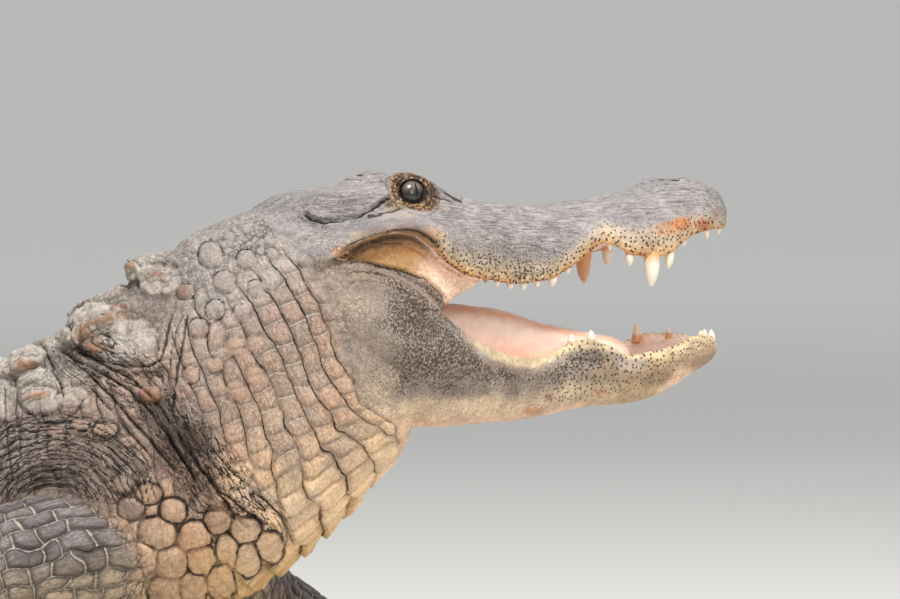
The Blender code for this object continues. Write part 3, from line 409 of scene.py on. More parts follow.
def write_field(mesh: bpy.types.Mesh, name: str, values: Array) -> None:
    """Stores a number, a triple or a colour for each point of the mesh under that name."""
    values = np.asarray(values, np.float32)
    if values.ndim == 1:
        mesh.attributes.new(name, "FLOAT", "POINT").data.foreach_set("value", values)
    else:
        mesh.attributes.new(name, "FLOAT_VECTOR", "POINT").data.foreach_set(
            "vector", values.ravel())


def mesh_points(mesh: bpy.types.Mesh) -> Array:
    """Returns the mesh's points in the animal's own frame."""
    found = np.empty(3 * len(mesh.vertices), np.float32)
    mesh.vertices.foreach_get("co", found)
    return found.reshape(-1, 3).astype(float) - STANCE.anchor


def mesh_normals(mesh: bpy.types.Mesh) -> Array:
    """Returns the outward direction at each point of the mesh."""
    found = np.empty(3 * len(mesh.vertices), np.float32)
    mesh.vertex_normals.foreach_get("vector", found)
    return found.reshape(-1, 3).astype(float)


def set_points(mesh: bpy.types.Mesh, points: Array) -> None:
    """Moves the mesh's points to places in the animal's own frame."""
    mesh.vertices.foreach_set("co", (points + STANCE.anchor).astype(np.float32).ravel())
    mesh.update()


# ------------------------------------------------------------------------- the animal's frames
@dataclass
class Stance:
    """How the animal lies on the floor: its heading along its length and where it stands."""

    heading: tuple = (
        (0.00, 22.0), (0.38, 22.0), (0.46, 14.0), (0.53, -3.0), (0.60, -16.0), (0.67, -20.0),
        (1.15, -18.0), (1.50, -8.0), (1.90, 6.0), (2.40, 14.0), (2.80, -2.0), (3.20, -26.0),
    )
    plan_step: float = 0.005
    tail_end: float = 3.20
    sight: tuple = (-0.2685, 0.0, 0.4005)
    sight_distance: float = 7.0
    sight_rise: float = 1.5
    anchor: Array = field(default_factory=lambda: np.zeros(3))

    def __post_init__(self) -> None:
        """Draws the plan of the backbone."""
        self.q = np.arange(0.0, self.tail_end + 0.3, self.plan_step)
        self.turn = np.radians(smooth(self.heading)(self.q))
        self.x = -np.concatenate([[0], np.cumsum(np.cos(self.turn[1:]) * self.plan_step)])
        self.y = -np.concatenate([[0], np.cumsum(np.sin(self.turn[1:]) * self.plan_step)])
        head = math.radians(self.heading[0][1])
        self.head_turn = np.array(((math.cos(head), -math.sin(head), 0),
                                   (math.sin(head), math.cos(head), 0), (0, 0, 1)))

    def plan(self, q: Array) -> tuple[Array, Array, Array]:
        """Returns x, y and heading of the backbone in plan at q."""
        return (np.interp(q, self.q, self.x), np.interp(q, self.q, self.y),
                np.interp(q, self.q, self.turn))

    def from_head(self, points: Array) -> Array:
        """Returns places given in the head's frame in the animal's own."""
        return points @ self.head_turn.T

    def seat(self, form: Form) -> Form:
        """Moves a form that is given in the head's frame to the animal's own."""
        form.points = self.from_head(form.points)
        return form

    def to_head(self, points: Array) -> Array:
        """Returns the animal's places in the head's frame."""
        return points @ self.head_turn

    def drawn(self, points: Array) -> Array:
        """Returns places in the drawing of the animal's right side.

        The drawing is 900 by 599 mm, seen from the sight_distance and a little from above.

        Args:
            points: places in the animal's own frame, on its right side.

        Returns:
            How far each is from the drawing's left edge and from its upper edge, in millimetres.
        """
        lean = math.radians(self.sight_rise)
        x, y, z = (points - self.sight).T
        up = z * math.cos(lean) + y * math.sin(lean)
        depth = self.sight_distance + y * math.cos(lean) - z * math.sin(lean)
        scale = 1000 * self.sight_distance / depth
        return np.column_stack([450 + scale * x, 299.5 - scale * up])

    def stand(self, eye_box: tuple[Vector, Vector], eye: Sequence[float]) -> None:
        """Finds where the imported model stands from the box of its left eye.

        Args:
            eye_box: lowest and highest corners of the eye.
            eye: its middle in the head's frame.
        """
        middle = (np.array(eye_box[0]) + np.array(eye_box[1])) / 2
        self.anchor = middle - self.from_head(np.array(eye))


STANCE = Stance()


@dataclass
class Plate:
    """A bony plate of the neck or shoulders, on both sides.

    Its place is q and the arc round the skin from the midline; top is how far it stands off the
    line of the back and keel how much its ridge adds.
    """

    q: float
    arc: float
    length: float
    width: float
    top: float
    keel: float
    lean: float = 0.0


@dataclass
class Trunk:
    """The body from the neck to the tip of the tail, as slanting sections along q."""

    # q and z of the top of the back, q and z of the underside below it, half width
    sections: tuple = (
        (415, 480, 356, 298, 100), (440, 492, 356, 272, 128), (475, 494, 362, 250, 148),
        (515, 484, 392, 217, 153), (555, 466, 430, 175, 154), (600, 440, 476, 134, 157),
        (645, 402, 532, 102, 165), (695, 362, 590, 68, 178), (750, 340, 665, 42, 196),
        (820, 331, 760, 22, 212), (900, 326, 860, 8, 224), (1000, 320, 970, -4, 232),
        (1120, 310, 1100, -8, 232), (1250, 295, 1240, -8, 214), (1380, 277, 1380, -7, 182),
        (1480, 256, 1480, -6, 146), (1600, 226, 1600, -5, 114), (1750, 196, 1750, -5, 94),
        (1950, 166, 1950, -4, 76), (2200, 135, 2200, -4, 58), (2500, 102, 2500, -3, 42),
        (2800, 69, 2800, -2, 28), (3050, 40, 3050, -1, 16), (3200, 12, 3200, -1, 5),
    )
    widest_at: float = 0.46
    squareness: float = 2.35
    neck_from: float = 0.415
    plates: tuple = (
        Plate(0.592, 0.036, 0.040, 0.050, 0.004, 0.006, 0.006),
        Plate(0.641, 0.044, 0.054, 0.046, 0.001, 0.008, 0.003),
        Plate(0.634, 0.096, 0.052, 0.044, -0.001, 0.008, 0.003),
        Plate(0.606, 0.188, 0.017, 0.019, 0.007, 0.003),
        Plate(0.692, 0.032, 0.044, 0.046, 0.000, 0.007, 0.002),
        Plate(0.689, 0.084, 0.044, 0.042, 0.001, 0.008, 0.002),
        Plate(0.682, 0.148, 0.036, 0.034, 0.004, 0.005),
        Plate(0.741, 0.030, 0.040, 0.046, 0.001, 0.006),
        Plate(0.740, 0.080, 0.040, 0.044, 0.001, 0.006),
        Plate(0.738, 0.130, 0.036, 0.038, 0.002, 0.005),
        Plate(0.660, 0.012, 0.012, 0.014, -0.001, 0.002),
        Plate(0.664, 0.070, 0.013, 0.018, -0.001, 0.002),
    )
    plate_bed: float = -0.010
    scute_from: float = 0.768
    scute_to: float = 1.50
    scute_width: float = 0.046
    scute_keel: float = 0.0100
    crest: tuple = (
        (1500, 10, 46, 38), (1700, 17, 40, 30), (1900, 26, 30, 19), (2100, 33, 18, 13),
        (2250, 39, 8, 12), (2500, 42, 0, 12), (2800, 38, 0, 11), (3000, 28, 0, 10),
        (3170, 12, 0, 8),
    )
    crest_from: float = 1.50
    crest_to: float = 3.17
    whorls: int = 38
    table_step: float = 0.002
    row_step: float = 0.01
    sides: int = 288

    def __post_init__(self) -> None:
        """Draws the rails of the sections and a table that finds a section fast."""
        self.top_z, self.low_q, self.low_z, self.width = rails(self.sections)
        self.table_q = np.arange(self.neck_from - 0.03, STANCE.tail_end + 0.011, self.table_step)
        self.table = np.column_stack(self._frame(self.table_q))
        self.angles = np.linspace(0, math.pi, 97)
        self.arc_q = np.linspace(self.neck_from, STANCE.tail_end, 280)
        arcs = []
        for q in self.arc_q:
            outline = self.ring(q, self.angles)
            steps = np.linalg.norm(np.diff(outline, axis=0), axis=1)
            arcs.append(np.concatenate([[0], np.cumsum(steps)]))
        self.arcs = np.array(arcs)
        self.pitch = smooth(((0.40, 0.0175), (0.60, 0.0185), (0.72, 0.0250), (1.50, 0.0250),
                             (1.62, 0.0226), (3.25, 0.0226)))
        self.row_q = np.arange(0.40, 3.20, self.row_step)
        flanks = [np.array([self.ring(q, np.array([turn]))[0] for q in self.row_q])
                  for turn in (-1.6, 1.6)]
        self.stretch = np.max([np.linalg.norm(np.gradient(flank, axis=0), axis=1)
                               for flank in flanks], axis=0) / self.row_step
        count = self.stretch * self.row_step / self.pitch(self.row_q)
        self.row_count = np.concatenate([[0], np.cumsum(count[:-1])])
        self.row_count -= np.interp(self.scute_from, self.row_q, self.row_count) % 2

    def _frame(self, q: Array) -> tuple[Array, ...]:
        """Returns the middle, lean, half sizes and heading of the section at q."""
        q = np.asarray(q, float)
        top_z, low_q, low_z = self.top_z(q), self.low_q(q), self.low_z(q)
        length = np.hypot(q - low_q, top_z - low_z)
        lean, rise = (q - low_q) / length, (top_z - low_z) / length
        middle_q = low_q + lean * length * self.widest_at
        middle_z = low_z + rise * length * self.widest_at
        x, y, heading = STANCE.plan(middle_q)
        return (x, y, np.cos(heading), np.sin(heading), middle_z, lean, rise, self.width(q),
                length * (1 - self.widest_at), length * self.widest_at)

    def ring(self, q: float, angles: Array, grow: Array = 0.0) -> Array:
        """Returns the section at q, at angles from the top, grown by a margin at each angle."""
        x, y, cos, sin, middle_z, lean, rise, width, above, below = self._frame(q)
        across, along = np.sin(angles), np.cos(angles)
        height = np.where(along > 0, above, below) + grow
        power = 2 / self.squareness
        side = (width + grow) * np.sign(across) * np.abs(across) ** power
        lift = height * np.sign(along) * np.abs(along) ** power
        back = lift * lean
        return np.column_stack([x - back * cos - side * sin, y - back * sin + side * cos,
                                np.maximum(middle_z + lift * rise, 0.0)])

    def _look_up(self, q: Array) -> Array:
        """Returns the rows of the section table at each q."""
        place = np.clip((q - self.table_q[0]) / self.table_step, 0, len(self.table_q) - 1.001)
        i = place.astype(np.int64)
        part = (place - i)[:, None]
        return self.table[i] * (1 - part) + self.table[i + 1] * part

    def locate(self, points: Array) -> dict[str, Array]:
        """Finds the place of each point on the body.

        Args:
            points: places in the animal's own frame.

        Returns:
            q, the arc round the skin from the midline (left positive), the arc left to the
            midline below, how far the point is off the skin, and its twin on the right side.
        """
        low = np.full(len(points), self.table_q[0])
        high = np.full(len(points), self.table_q[-1])
        for _ in range(19):
            q = (low + high) / 2
            row = self._look_up(q)
            lift = (points[:, 2] - row[:, 4]) / row[:, 6]
            ahead = ((points[:, 0] - row[:, 0]) * row[:, 2] + (points[:, 1] - row[:, 1])
                     * row[:, 3] + lift * row[:, 5])
            low, high = np.where(ahead < 0, q, low), np.where(ahead < 0, high, q)
        side = (points[:, 1] - row[:, 1]) * row[:, 2] - (points[:, 0] - row[:, 0]) * row[:, 3]
        height = np.where(lift > 0, row[:, 8], row[:, 9])
        across = np.abs(side / row[:, 7]) ** self.squareness
        along = np.abs(lift / height) ** self.squareness
        reach = (across + along) ** (1 / self.squareness)
        angle = np.arctan2(np.sqrt(across), np.sqrt(along) * np.sign(lift))
        size = np.hypot(side, lift)
        arc, half = self._arc(q, angle)
        back, width = lift * row[:, 5], np.abs(side)
        twin = np.column_stack([row[:, 0] - back * row[:, 2] + width * row[:, 3],
                                row[:, 1] - back * row[:, 3] - width * row[:, 2], points[:, 2]])
        return {"q": q, "twin": twin, "arc": arc * np.sign(side), "under": half - arc,
                "off": size * (1 - 1 / np.maximum(reach, 1e-6)), "side": side, "lift": lift}

    def _arc(self, q: Array, angle: Array) -> tuple[Array, Array]:
        """Returns the arc from the top to the angle, and from the top to the underside."""
        step = self.arc_q[1] - self.arc_q[0]
        row = np.clip((q - self.arc_q[0]) / step, 0, len(self.arc_q) - 1.001)
        column = np.clip(angle / self.angles[1], 0, len(self.angles) - 1.001)
        i, j = row.astype(np.int64), column.astype(np.int64)
        a, b = row - i, column - j
        near = self.arcs[i, j] * (1 - b) + self.arcs[i, j + 1] * b
        far = self.arcs[i + 1, j] * (1 - b) + self.arcs[i + 1, j + 1] * b
        half = self.arcs[i, -1] * (1 - a) + self.arcs[i + 1, -1] * a
        return near * (1 - a) + far * a, half

    def rows(self, q: Array) -> Array:
        """Returns the count of rows of scales from the head to q; even rows start a scute."""
        return np.interp(q, self.row_q, self.row_count)

    def relief(self, q: Array, arc: Array) -> Array:
        """Returns how far the bony plates and scutes raise the skin.

        Args:
            q: places along the body.
            arc: places round it.
        """
        across = np.abs(arc)
        bed = ramp(0.560, 0.585, q) * ramp(0.760, 0.72, q) * ramp(0.17, 0.12, across)
        lift = self.plate_bed * bed
        for plate in self.plates:
            a = (q - plate.q) / (plate.length / 2)
            b = (across - plate.arc) / (plate.width / 2)
            near = (np.abs(a) < 1.5) & (np.abs(b) < 1.5)
            if not near.any():
                continue
            box = (np.abs(a) ** 3.4 + np.abs(b) ** 3.4) ** (1 / 3.4)
            flat = ramp(1.06, 0.80, box)
            ridge = bell(b, 0.20) * ramp(-0.75, 0.15, a) * ramp(1.05, 0.75, a)
            top = plate.top + plate.lean * a - 0.0015 * b * b + plate.keel * ridge
            lift = np.where(near, lift + flat * (top - lift), lift)
        rows = self.rows(q) - self.rows(self.scute_from)
        a = 2 * ((rows / 2) % 1) - 1
        place = across / self.scute_width
        b = 2 * (place % 1) - 1
        half = np.interp(q, (0.76, 0.86, 0.95, 1.30, 1.45, 1.50), (3, 4, 4, 4, 3, 2))
        inside = ramp(half + 0.15, half - 0.15, place)
        present = ramp(self.scute_from - 0.004, self.scute_from + 0.004, q)
        present = present * ramp(self.scute_to + 0.10, self.scute_to, q) * inside
        box = (np.abs(a) ** 5 + np.abs(b) ** 5) ** 0.2
        flat = ramp(1.0, 0.86, box)
        ridge = bell(b, 0.24) * ramp(-0.8, 0.55, a) * ramp(1.0, 0.80, a)
        tall = self.scute_keel * (1 - 0.35 * np.clip(place / np.maximum(half, 1), 0, 1))
        return lift + present * flat * (0.003 + tall * ridge)

    def forms(self, start: float, end: float, spacing: float) -> list[Form]:
        """Returns the closed form of the body between two sections, with its plates."""
        count = int((end - start) / spacing) + 1
        angles = np.arange(self.sides) * math.tau / self.sides
        signed = np.where(angles > math.pi, angles - math.tau, angles)
        rings = []
        for q in np.linspace(start, end, count):
            q_all = np.full(len(angles), q)
            arc, _ = self._arc(q_all, np.abs(signed))
            rings.append(self.ring(q, angles, self.relief(q_all, arc * np.sign(signed))))
        return [lofted(rings)]

    def crest_forms(self) -> list[Form]:
        """Returns the upright plates of the tail, one or two to a whorl."""
        height, offset, breadth = rails(self.crest)
        pitch = (self.crest_to - self.crest_from) / self.whorls
        forms = []
        for whorl in range(self.whorls):
            q = self.crest_from + (whorl + 0.5) * pitch
            chance = scatter(np.array([[whorl, 3]]), 5)[0]
            tall = float(height(q)) * (0.92 + 0.14 * chance)
            arc, width = float(offset(q)), max(float(breadth(q)), 0.0075)
            for side in (-1, 1) if arc > 0.007 else (0,):
                forms.append(self._blade(q, side * arc, pitch, width, tall))
        return forms

    def _blade(self, q: float, arc: float, pitch: float, width: float, tall: float) -> Form:
        """Returns one upright plate that leans back and thins towards its edge."""
        shares = np.linspace(-0.35, 1.0, 9)
        turns = np.arange(20) * math.tau / 20
        angle = arc / max(float(self.width(q)), 0.01)
        rings = []
        for share in shares:
            up = max(share, 0.0)
            half = 0.49 * pitch * (1 - 0.62 * up ** 1.6)
            back = 0.30 * pitch * up ** 1.3
            thick = max(width * 0.5 * (1 - 0.72 * up), 0.0028)
            lift = share * tall if share > 0 else share * 0.02
            points = []
            for turn in turns:
                at = q + back + half * math.cos(turn)
                spread = thick * math.copysign(abs(math.sin(turn)) ** 0.8, math.sin(turn))
                base = self.ring(at, np.array([angle]), lift)[0]
                _, _, heading = STANCE.plan(at)
                points.append(base + spread * level(heading)[[1, 0, 2]] * (-1, 1, 1))
            rings.append(np.array(points))
        return lofted(rings)


@dataclass
class Head:
    """The upper head, in the head's frame: its outline, openings and the seats of its teeth."""

    # x, top, ridge y z, upper side y z, cheek y z, lip y z, palate
    sections: tuple = (
        (-1, 490, 4, 490, 8, 488, 10, 482, 8, 477, 478),
        (-6, 502, 16, 501, 26, 497, 32, 486, 29, 473, 474),
        (-18, 511, 24, 513, 39, 506, 50, 489, 47, 472, 474),
        (-36, 516, 24, 520, 46, 510, 62, 489, 60, 471, 476),
        (-55, 517, 24, 523, 50, 511, 70, 486, 69, 468, 475),
        (-73, 514, 26, 518, 53, 507, 77, 482, 76, 458, 470),
        (-90, 509, 30, 510, 58, 501, 84, 477, 84, 449, 466),
        (-112, 504, 34, 505, 63, 496, 90, 471, 90, 445, 464),
        (-135, 499, 37, 501, 64, 492, 87, 470, 86, 449, 466),
        (-157, 496, 39, 498, 64, 489, 84, 471, 82, 459, 468),
        (-192, 492, 41, 495, 66, 484, 87, 461, 86, 439, 458),
        (-225, 491, 43, 496, 68, 483, 94, 455, 94, 424, 450),
        (-258, 490, 44, 498, 72, 484, 101, 453, 101, 421, 448),
        (-292, 492, 44, 504, 75, 487, 108, 456, 108, 425, 450),
        (-318, 497, 43, 515, 74, 491, 113, 461, 113, 430, 452),
        (-340, 504, 43, 527, 72, 494, 117, 468, 117, 442, 455),
        (-358, 508, 45, 530, 72, 495, 120, 474, 120, 461, 458),
        (-376, 510, 50, 524, 75, 495, 124, 478, 124, 471, 460),
        (-396, 511, 58, 514, 76, 494, 130, 478, 131, 473, 460),
        (-425, 510, 63, 510, 79, 486, 135, 472, 138, 467, 456),
        (-454, 507, 62, 504, 83, 478, 138, 464, 141, 455, 440),
        (-480, 494, 58, 490, 84, 470, 130, 452, 132, 436, 425),
        (-505, 470, 46, 466, 66, 452, 98, 440, 100, 428, 420),
    )
    gum_at: float = 0.86
    gum_rise: float = 0.25
    # x, y, heights of the upper and lower edges of the fold at each corner of the mouth
    fold: tuple = (
        (-294, 94, 440, 424), (-312, 96, 446, 415), (-330, 98, 454, 405), (-345, 100, 463, 391),
        (-362, 104, 472, 398), (-385, 109, 477, 411), (-415, 114, 474, 422), (-446, 119, 460, 434),
    )
    fold_thickness: float = 0.005

    def __post_init__(self) -> None:
        """Draws the rails of the sections."""
        self.rails = rails(self.sections)
        self.lip_y, self.lip_z, self.palate = self.rails[7], self.rails[8], self.rails[9]

    def form(self) -> Form:
        """Returns the closed form of the upper head, in the animal's own frame."""
        rings = []
        for x in between(self.sections):
            top, y1, z1, y2, z2, y3, z3, y4, z4, palate = [rail(x) for rail in self.rails]
            half = [(0, top), (y1, z1), (y2, z2), (y3, z3), (y4, z4),
                    (y4 * self.gum_at, z4 + self.gum_rise * (palate - z4)), (0, palate)]
            rings.append(both_halves(x, half, (10, 5, 10, 10, 5, 10)))
        return STANCE.seat(lofted(rings))

    def fold_forms(self) -> list[Form]:
        """Returns the thin folds of skin that join the head to the jaw behind the lips."""
        forms = []
        table = through(metres(self.fold), (6,) * (len(self.fold) - 1))
        shares = np.linspace(0, 1, 14)
        for side in Side:
            rings = []
            for x, y, top, bottom in table:
                z = top + (bottom - top) * shares
                out = y + self.fold_thickness / 2 + 0.004 * np.sin(math.pi * shares)
                inner = y - self.fold_thickness / 2 + 0.004 * np.sin(math.pi * shares)
                outline = np.vstack([np.column_stack([out, z]), np.column_stack([inner, z])[::-1]])
                rings.append(np.column_stack([np.full(len(outline), x),
                                              side.value * outline[:, 0], outline[:, 1]]))
            forms.append(STANCE.seat(lofted(rings)))
        return forms


def between(sections: Sequence, steps: int = 8) -> Array:
    """Returns places that take that many steps from each section of a table to the next."""
    knots = metres([row[0] for row in sections])
    return np.concatenate([np.linspace(a, b, steps + 1)[:-1] for a, b in zip(knots, knots[1:])])


def both_halves(x: float, corners: Sequence, steps: Sequence[int]) -> Array:
    """Draws a ring across the head.

    Args:
        x: the place of the ring.
        corners: y and z of the left half's corners, from the midline round to the midline.
        steps: how many points to draw from each corner to the next.

    Returns:
        The points of the whole ring.
    """
    section = through(corners, steps)
    section[0, 0] = section[-1, 0] = 0
    half = np.column_stack([np.full(len(section), x), section])
    return np.vstack([half, half[-2:0:-1] * (1, -1, 1)])


@dataclass
class Jaw:
    """The lower jaw with the floor of the mouth, in the head's frame."""

    # x, lip y z, flank y z, lower edge y z, underside, floor, breadth of the lip
    sections: tuple = (
        (-10, 10, 356, 13, 353, 9, 348, 347, 355, 4),
        (-16, 26, 363, 31, 355, 22, 343, 342, 357, 8),
        (-30, 41, 367, 47, 356, 34, 337, 336, 355, 11),
        (-50, 55, 367, 60, 354, 42, 328, 326, 352, 13),
        (-72, 63, 359, 67, 346, 46, 316, 313, 348, 14),
        (-100, 64, 352, 69, 336, 48, 306, 303, 343, 14),
        (-126, 65, 349, 71, 330, 51, 302, 299, 341, 14),
        (-150, 71, 359, 77, 332, 55, 301, 298, 341, 15),
        (-177, 77, 365, 84, 334, 60, 299, 296, 342, 16),
        (-200, 80, 359, 88, 330, 64, 295, 292, 342, 16),
        (-234, 85, 347, 95, 323, 69, 290, 287, 338, 16),
        (-260, 90, 350, 102, 323, 74, 288, 285, 340, 18),
        (-286, 97, 358, 110, 326, 80, 287, 284, 346, 22),
        (-312, 104, 371, 120, 332, 86, 286, 283, 355, 30),
        (-336, 110, 388, 131, 340, 91, 286, 282, 366, 40),
        (-358, 115, 408, 141, 348, 94, 288, 281, 378, 50),
        (-385, 120, 425, 151, 358, 96, 294, 284, 392, 55),
        (-415, 125, 434, 158, 370, 100, 306, 294, 405, 55),
        (-445, 130, 444, 157, 384, 104, 326, 310, 420, 55),
        (-475, 118, 446, 146, 400, 100, 352, 340, 428, 50),
        (-500, 84, 440, 110, 412, 76, 380, 372, 430, 36),
    )

    def __post_init__(self) -> None:
        """Draws the rails of the sections."""
        self.rails = rails(self.sections)
        self.lip_y, self.lip_z = self.rails[0], self.rails[1]

    def form(self) -> Form:
        """Returns the closed form of the lower jaw, in the animal's own frame."""
        rings = []
        for x in between(self.sections):
            y1, z1, y2, z2, y3, z3, under, floor, rim = [rail(x) for rail in self.rails]
            half = [(0, floor), (y1 - rim, 0.5 * (floor + z1)), (y1, z1), (y2, z2), (y3, z3),
                    (0, under)]
            rings.append(both_halves(x, half, (12, 6, 10, 12, 12)))
        return STANCE.seat(lofted(rings))


@dataclass
class Limb:
    """A leg: its joints, its foot and its toes."""

    name: str
    side: Side
    hind: bool
    # q, distance to the side and z of each joint, placed off the girdle's own heading
    joints: tuple
    radii: tuple
    foot_turn: float
    fore_heading: float = -20.0
    hind_heading: float = -12.0
    # heading off the foot in degrees, length and radius, from the inner toe outwards
    fore_toes: tuple = ((-38, 0.058, 0.0110), (-16, 0.074, 0.0120), (4, 0.078, 0.0120),
                        (24, 0.070, 0.0110), (46, 0.052, 0.0095))
    hind_toes: tuple = ((-24, 0.094, 0.0140), (-6, 0.122, 0.0150), (11, 0.124, 0.0145),
                        (29, 0.102, 0.0125))
    fore_palm: tuple = (0.064, 0.037)
    hind_palm: tuple = (0.108, 0.044)
    toes_from: float = 0.62
    toe_inner: float = 0.35
    web_from: float = 0.50
    web_reach: float = 0.62
    clawed: int = 3
    claw_length: float = 0.020
    claw_root: float = 0.008
    # how far off the leg points are still looked at, and how far its stretches melt together
    reach: float = 0.22
    melt: float = 0.010

    def __post_init__(self) -> None:
        """Draws the path of the leg through its joints."""
        self.path = through([tuple(self.place(*joint)) for joint in self.joints], (12,) * 4)
        share = np.linspace(0, 1, 5)
        self.thickness = smooth(list(zip(share, self.radii)))(np.linspace(0, 1, len(self.path)))
        self.lengths = np.concatenate(
            [[0], np.cumsum(np.linalg.norm(np.diff(self.path, axis=0), axis=1))])
        self.heading = self._girdle() + self.side.value * math.radians(self.foot_turn)
        self.wrist = self.place(*self.joints[-1][:2], 0.0)

    def _girdle(self) -> float:
        """Returns the heading of the girdle that the leg hangs from."""
        return math.radians(self.hind_heading if self.hind else self.fore_heading)

    def place(self, q: float, across: float, z: float) -> Array:
        """Returns a point placed straight ahead of, behind and beside the leg's girdle."""
        root = self.joints[0][0]
        x, y, _ = STANCE.plan(root)
        heading = self._girdle()
        ahead, left = root - q, self.side.value * across
        return np.array((x + ahead * math.cos(heading) - left * math.sin(heading),
                         y + ahead * math.sin(heading) + left * math.cos(heading), z))

    def forms(self) -> list[Form]:
        """Returns the closed forms of the leg, the palm, the toes and the web."""
        rings = tube_rings(self.path, self.thickness, 48)
        end = rings[-1].mean(axis=0)
        last = end - rings[-2].mean(axis=0)
        last = last / np.linalg.norm(last) * self.thickness[-1]
        knob = [end + (rings[-1] - end) * math.cos(a) + last * math.sin(a) for a in (0.4, 0.8, 1.2)]
        for ring in knob:
            ring[:, 2] = np.maximum(ring[:, 2], 0.0)
        forms = [lofted(rings + knob)]
        length, breadth = self.hind_palm if self.hind else self.fore_palm
        ahead = level(self.heading)
        table = through(((-0.25, 0.016, 0.72, 0.80), (0.30, 0.020, 0.94, 0.62),
                         (0.70, 0.014, 1.00, 0.42), (1.00, 0.010, 0.86, 0.28)), (6, 6, 6))
        centres = [self.wrist + ahead * length * row[0] + (0, 0, row[1]) for row in table]
        forms.append(lofted(tube_rings(centres, breadth * table[:, 2], 40, table[:, 3])))
        for toe in self._toes():
            forms.append(self._toe_form(*toe))
        if self.hind:
            forms.append(self._web_form())
        return forms

    def _toes(self) -> list[tuple[Array, float, float, float]]:
        """Returns the root, heading, length and radius of each toe."""
        length, _ = self.hind_palm if self.hind else self.fore_palm
        ahead = level(self.heading)
        root = self.wrist + ahead * length * self.toes_from
        toes = self.hind_toes if self.hind else self.fore_toes
        return [(root, self.heading + self.side.value * math.radians(turn), size, radius)
                for turn, size, radius in toes]

    def _toe_line(self, root: Array, heading: float, size: float, radius: float) -> Array:
        """Returns the centres of a toe, sloping down to the floor."""
        ahead = level(heading)
        knots = [root + ahead * size * along + (0, 0, height)
                 for along, height in ((0.0, 0.012), (self.toe_inner + 0.5, radius * 1.15),
                                       (self.toe_inner + 1.0, radius * 0.60))]
        return through(knots, (10, 14))

    def _toe_form(self, root: Array, heading: float, size: float, radius: float) -> Form:
        """Returns a toe with its knuckles."""
        line = self._toe_line(root, heading, size, radius)
        share = np.linspace(0, 1, len(line))
        knuckles = 1 + 0.10 * np.cos(share * math.tau * 3.2)
        widths = radius * knuckles * (1 - 0.36 * share**2.2)
        tip = line[-1] - line[-2]
        tip /= np.linalg.norm(tip)
        rings = tube_rings(line, widths, 20)
        middle = line[-1]
        for reach, keep in ((0.45, 0.86), (0.75, 0.55), (0.88, 0.2)):
            ring = middle + (rings[len(line) - 1] - middle) * keep + tip * widths[-1] * reach
            ring[:, 2] = np.maximum(ring[:, 2], 0.0)
            rings.append(ring)
        return lofted(rings)

    def _web_form(self) -> Form:
        """Returns the web between the hind toes, as a thin scalloped fan."""
        length, _ = self.hind_palm
        ahead = level(self.heading)
        root = self.wrist + ahead * length * self.web_from
        outline = []
        reaches = [root + self.web_reach * size * (1 + self.toe_inner) * level(heading)
                   for _, heading, size, _ in self._toes()]
        for one, other in zip(reaches, reaches[1:]):
            dip = root + 0.80 * ((one + other) / 2 - root)
            for t in np.linspace(0, 1, 10)[:-1]:
                outline.append((1 - t) ** 2 * one + 2 * t * (1 - t) * (2 * dip - (one + other) / 2)
                               + t * t * other)
        outline = np.array(outline + [reaches[-1], root])
        low, high = outline.copy(), outline.copy()
        low[:, 2], high[:, 2] = 0.0015, 0.0090
        return lofted([low, high])

    def claw_forms(self) -> list[Form]:
        """Returns the curved claws of the inner toes."""
        forms = []
        for toe in self._toes()[:self.clawed]:
            _, heading, _, radius = toe
            line = self._toe_line(*toe)
            ahead = level(heading)
            base = line[-1] - ahead * self.claw_root + (0, 0, radius * 0.15)
            reach = self.claw_length + self.claw_root
            centres = [base + ahead * reach * t + (0, 0, -radius * 0.62 * t**2 + 0.0012 * t)
                       for t in np.linspace(0, 1, 12)]
            widths = radius * 0.52 * (1 - np.linspace(0, 1, 12) ** 1.5 * 0.93)
            forms.append(lofted(tube_rings(centres, widths, 14)))
        return forms

    def locate(self, points: Array) -> dict[str, Array]:
        """Finds points on the leg.

        Args:
            points: places in the animal's own frame.

        Returns:
            How far along the leg each one is, the angle round it from the top, how far off its
            skin it lies, and the leg's radius there.
        """
        whole = {"along": np.zeros(len(points)), "around": np.zeros(len(points)),
                 "off": np.full(len(points), 1.0), "radius": np.full(len(points), 0.05)}
        low, high = self.path.min(axis=0) - self.reach, self.path.max(axis=0) + self.reach
        near = np.flatnonzero(((points > low) & (points < high)).all(axis=1))
        points = points[near]
        best = np.full(len(points), 1e9)
        sums = np.zeros((5, len(points)))
        for i in range(0, len(self.path) - 1, 2):
            start, end = self.path[i], self.path[i + 2]
            ahead = end - start
            length = np.linalg.norm(ahead)
            ahead = ahead / length
            across = np.cross(ahead, (0, 0, 1.0))
            across /= np.linalg.norm(across)
            up = np.cross(across, ahead)
            rest = points - start
            t = np.clip(rest @ ahead, 0, length)
            rest = rest - t[:, None] * ahead
            distance = np.linalg.norm(rest, axis=1)
            thick = self.thickness[i] + (self.thickness[i + 2] - self.thickness[i]) * t / length
            best = np.minimum(best, distance - thick)
            weight = np.exp(-np.clip((distance - thick) / self.melt, -12, 40))
            sums += weight * np.array([np.ones(len(points)), self.lengths[i] + t, rest @ across,
                                       rest @ up, thick])
        sums /= sums[0]
        along, radius, around = sums[1], sums[4], np.arctan2(sums[2], sums[3])
        for key, values in (("along", along), ("around", around), ("off", best),
                            ("radius", radius)):
            whole[key][near] = values
        return whole


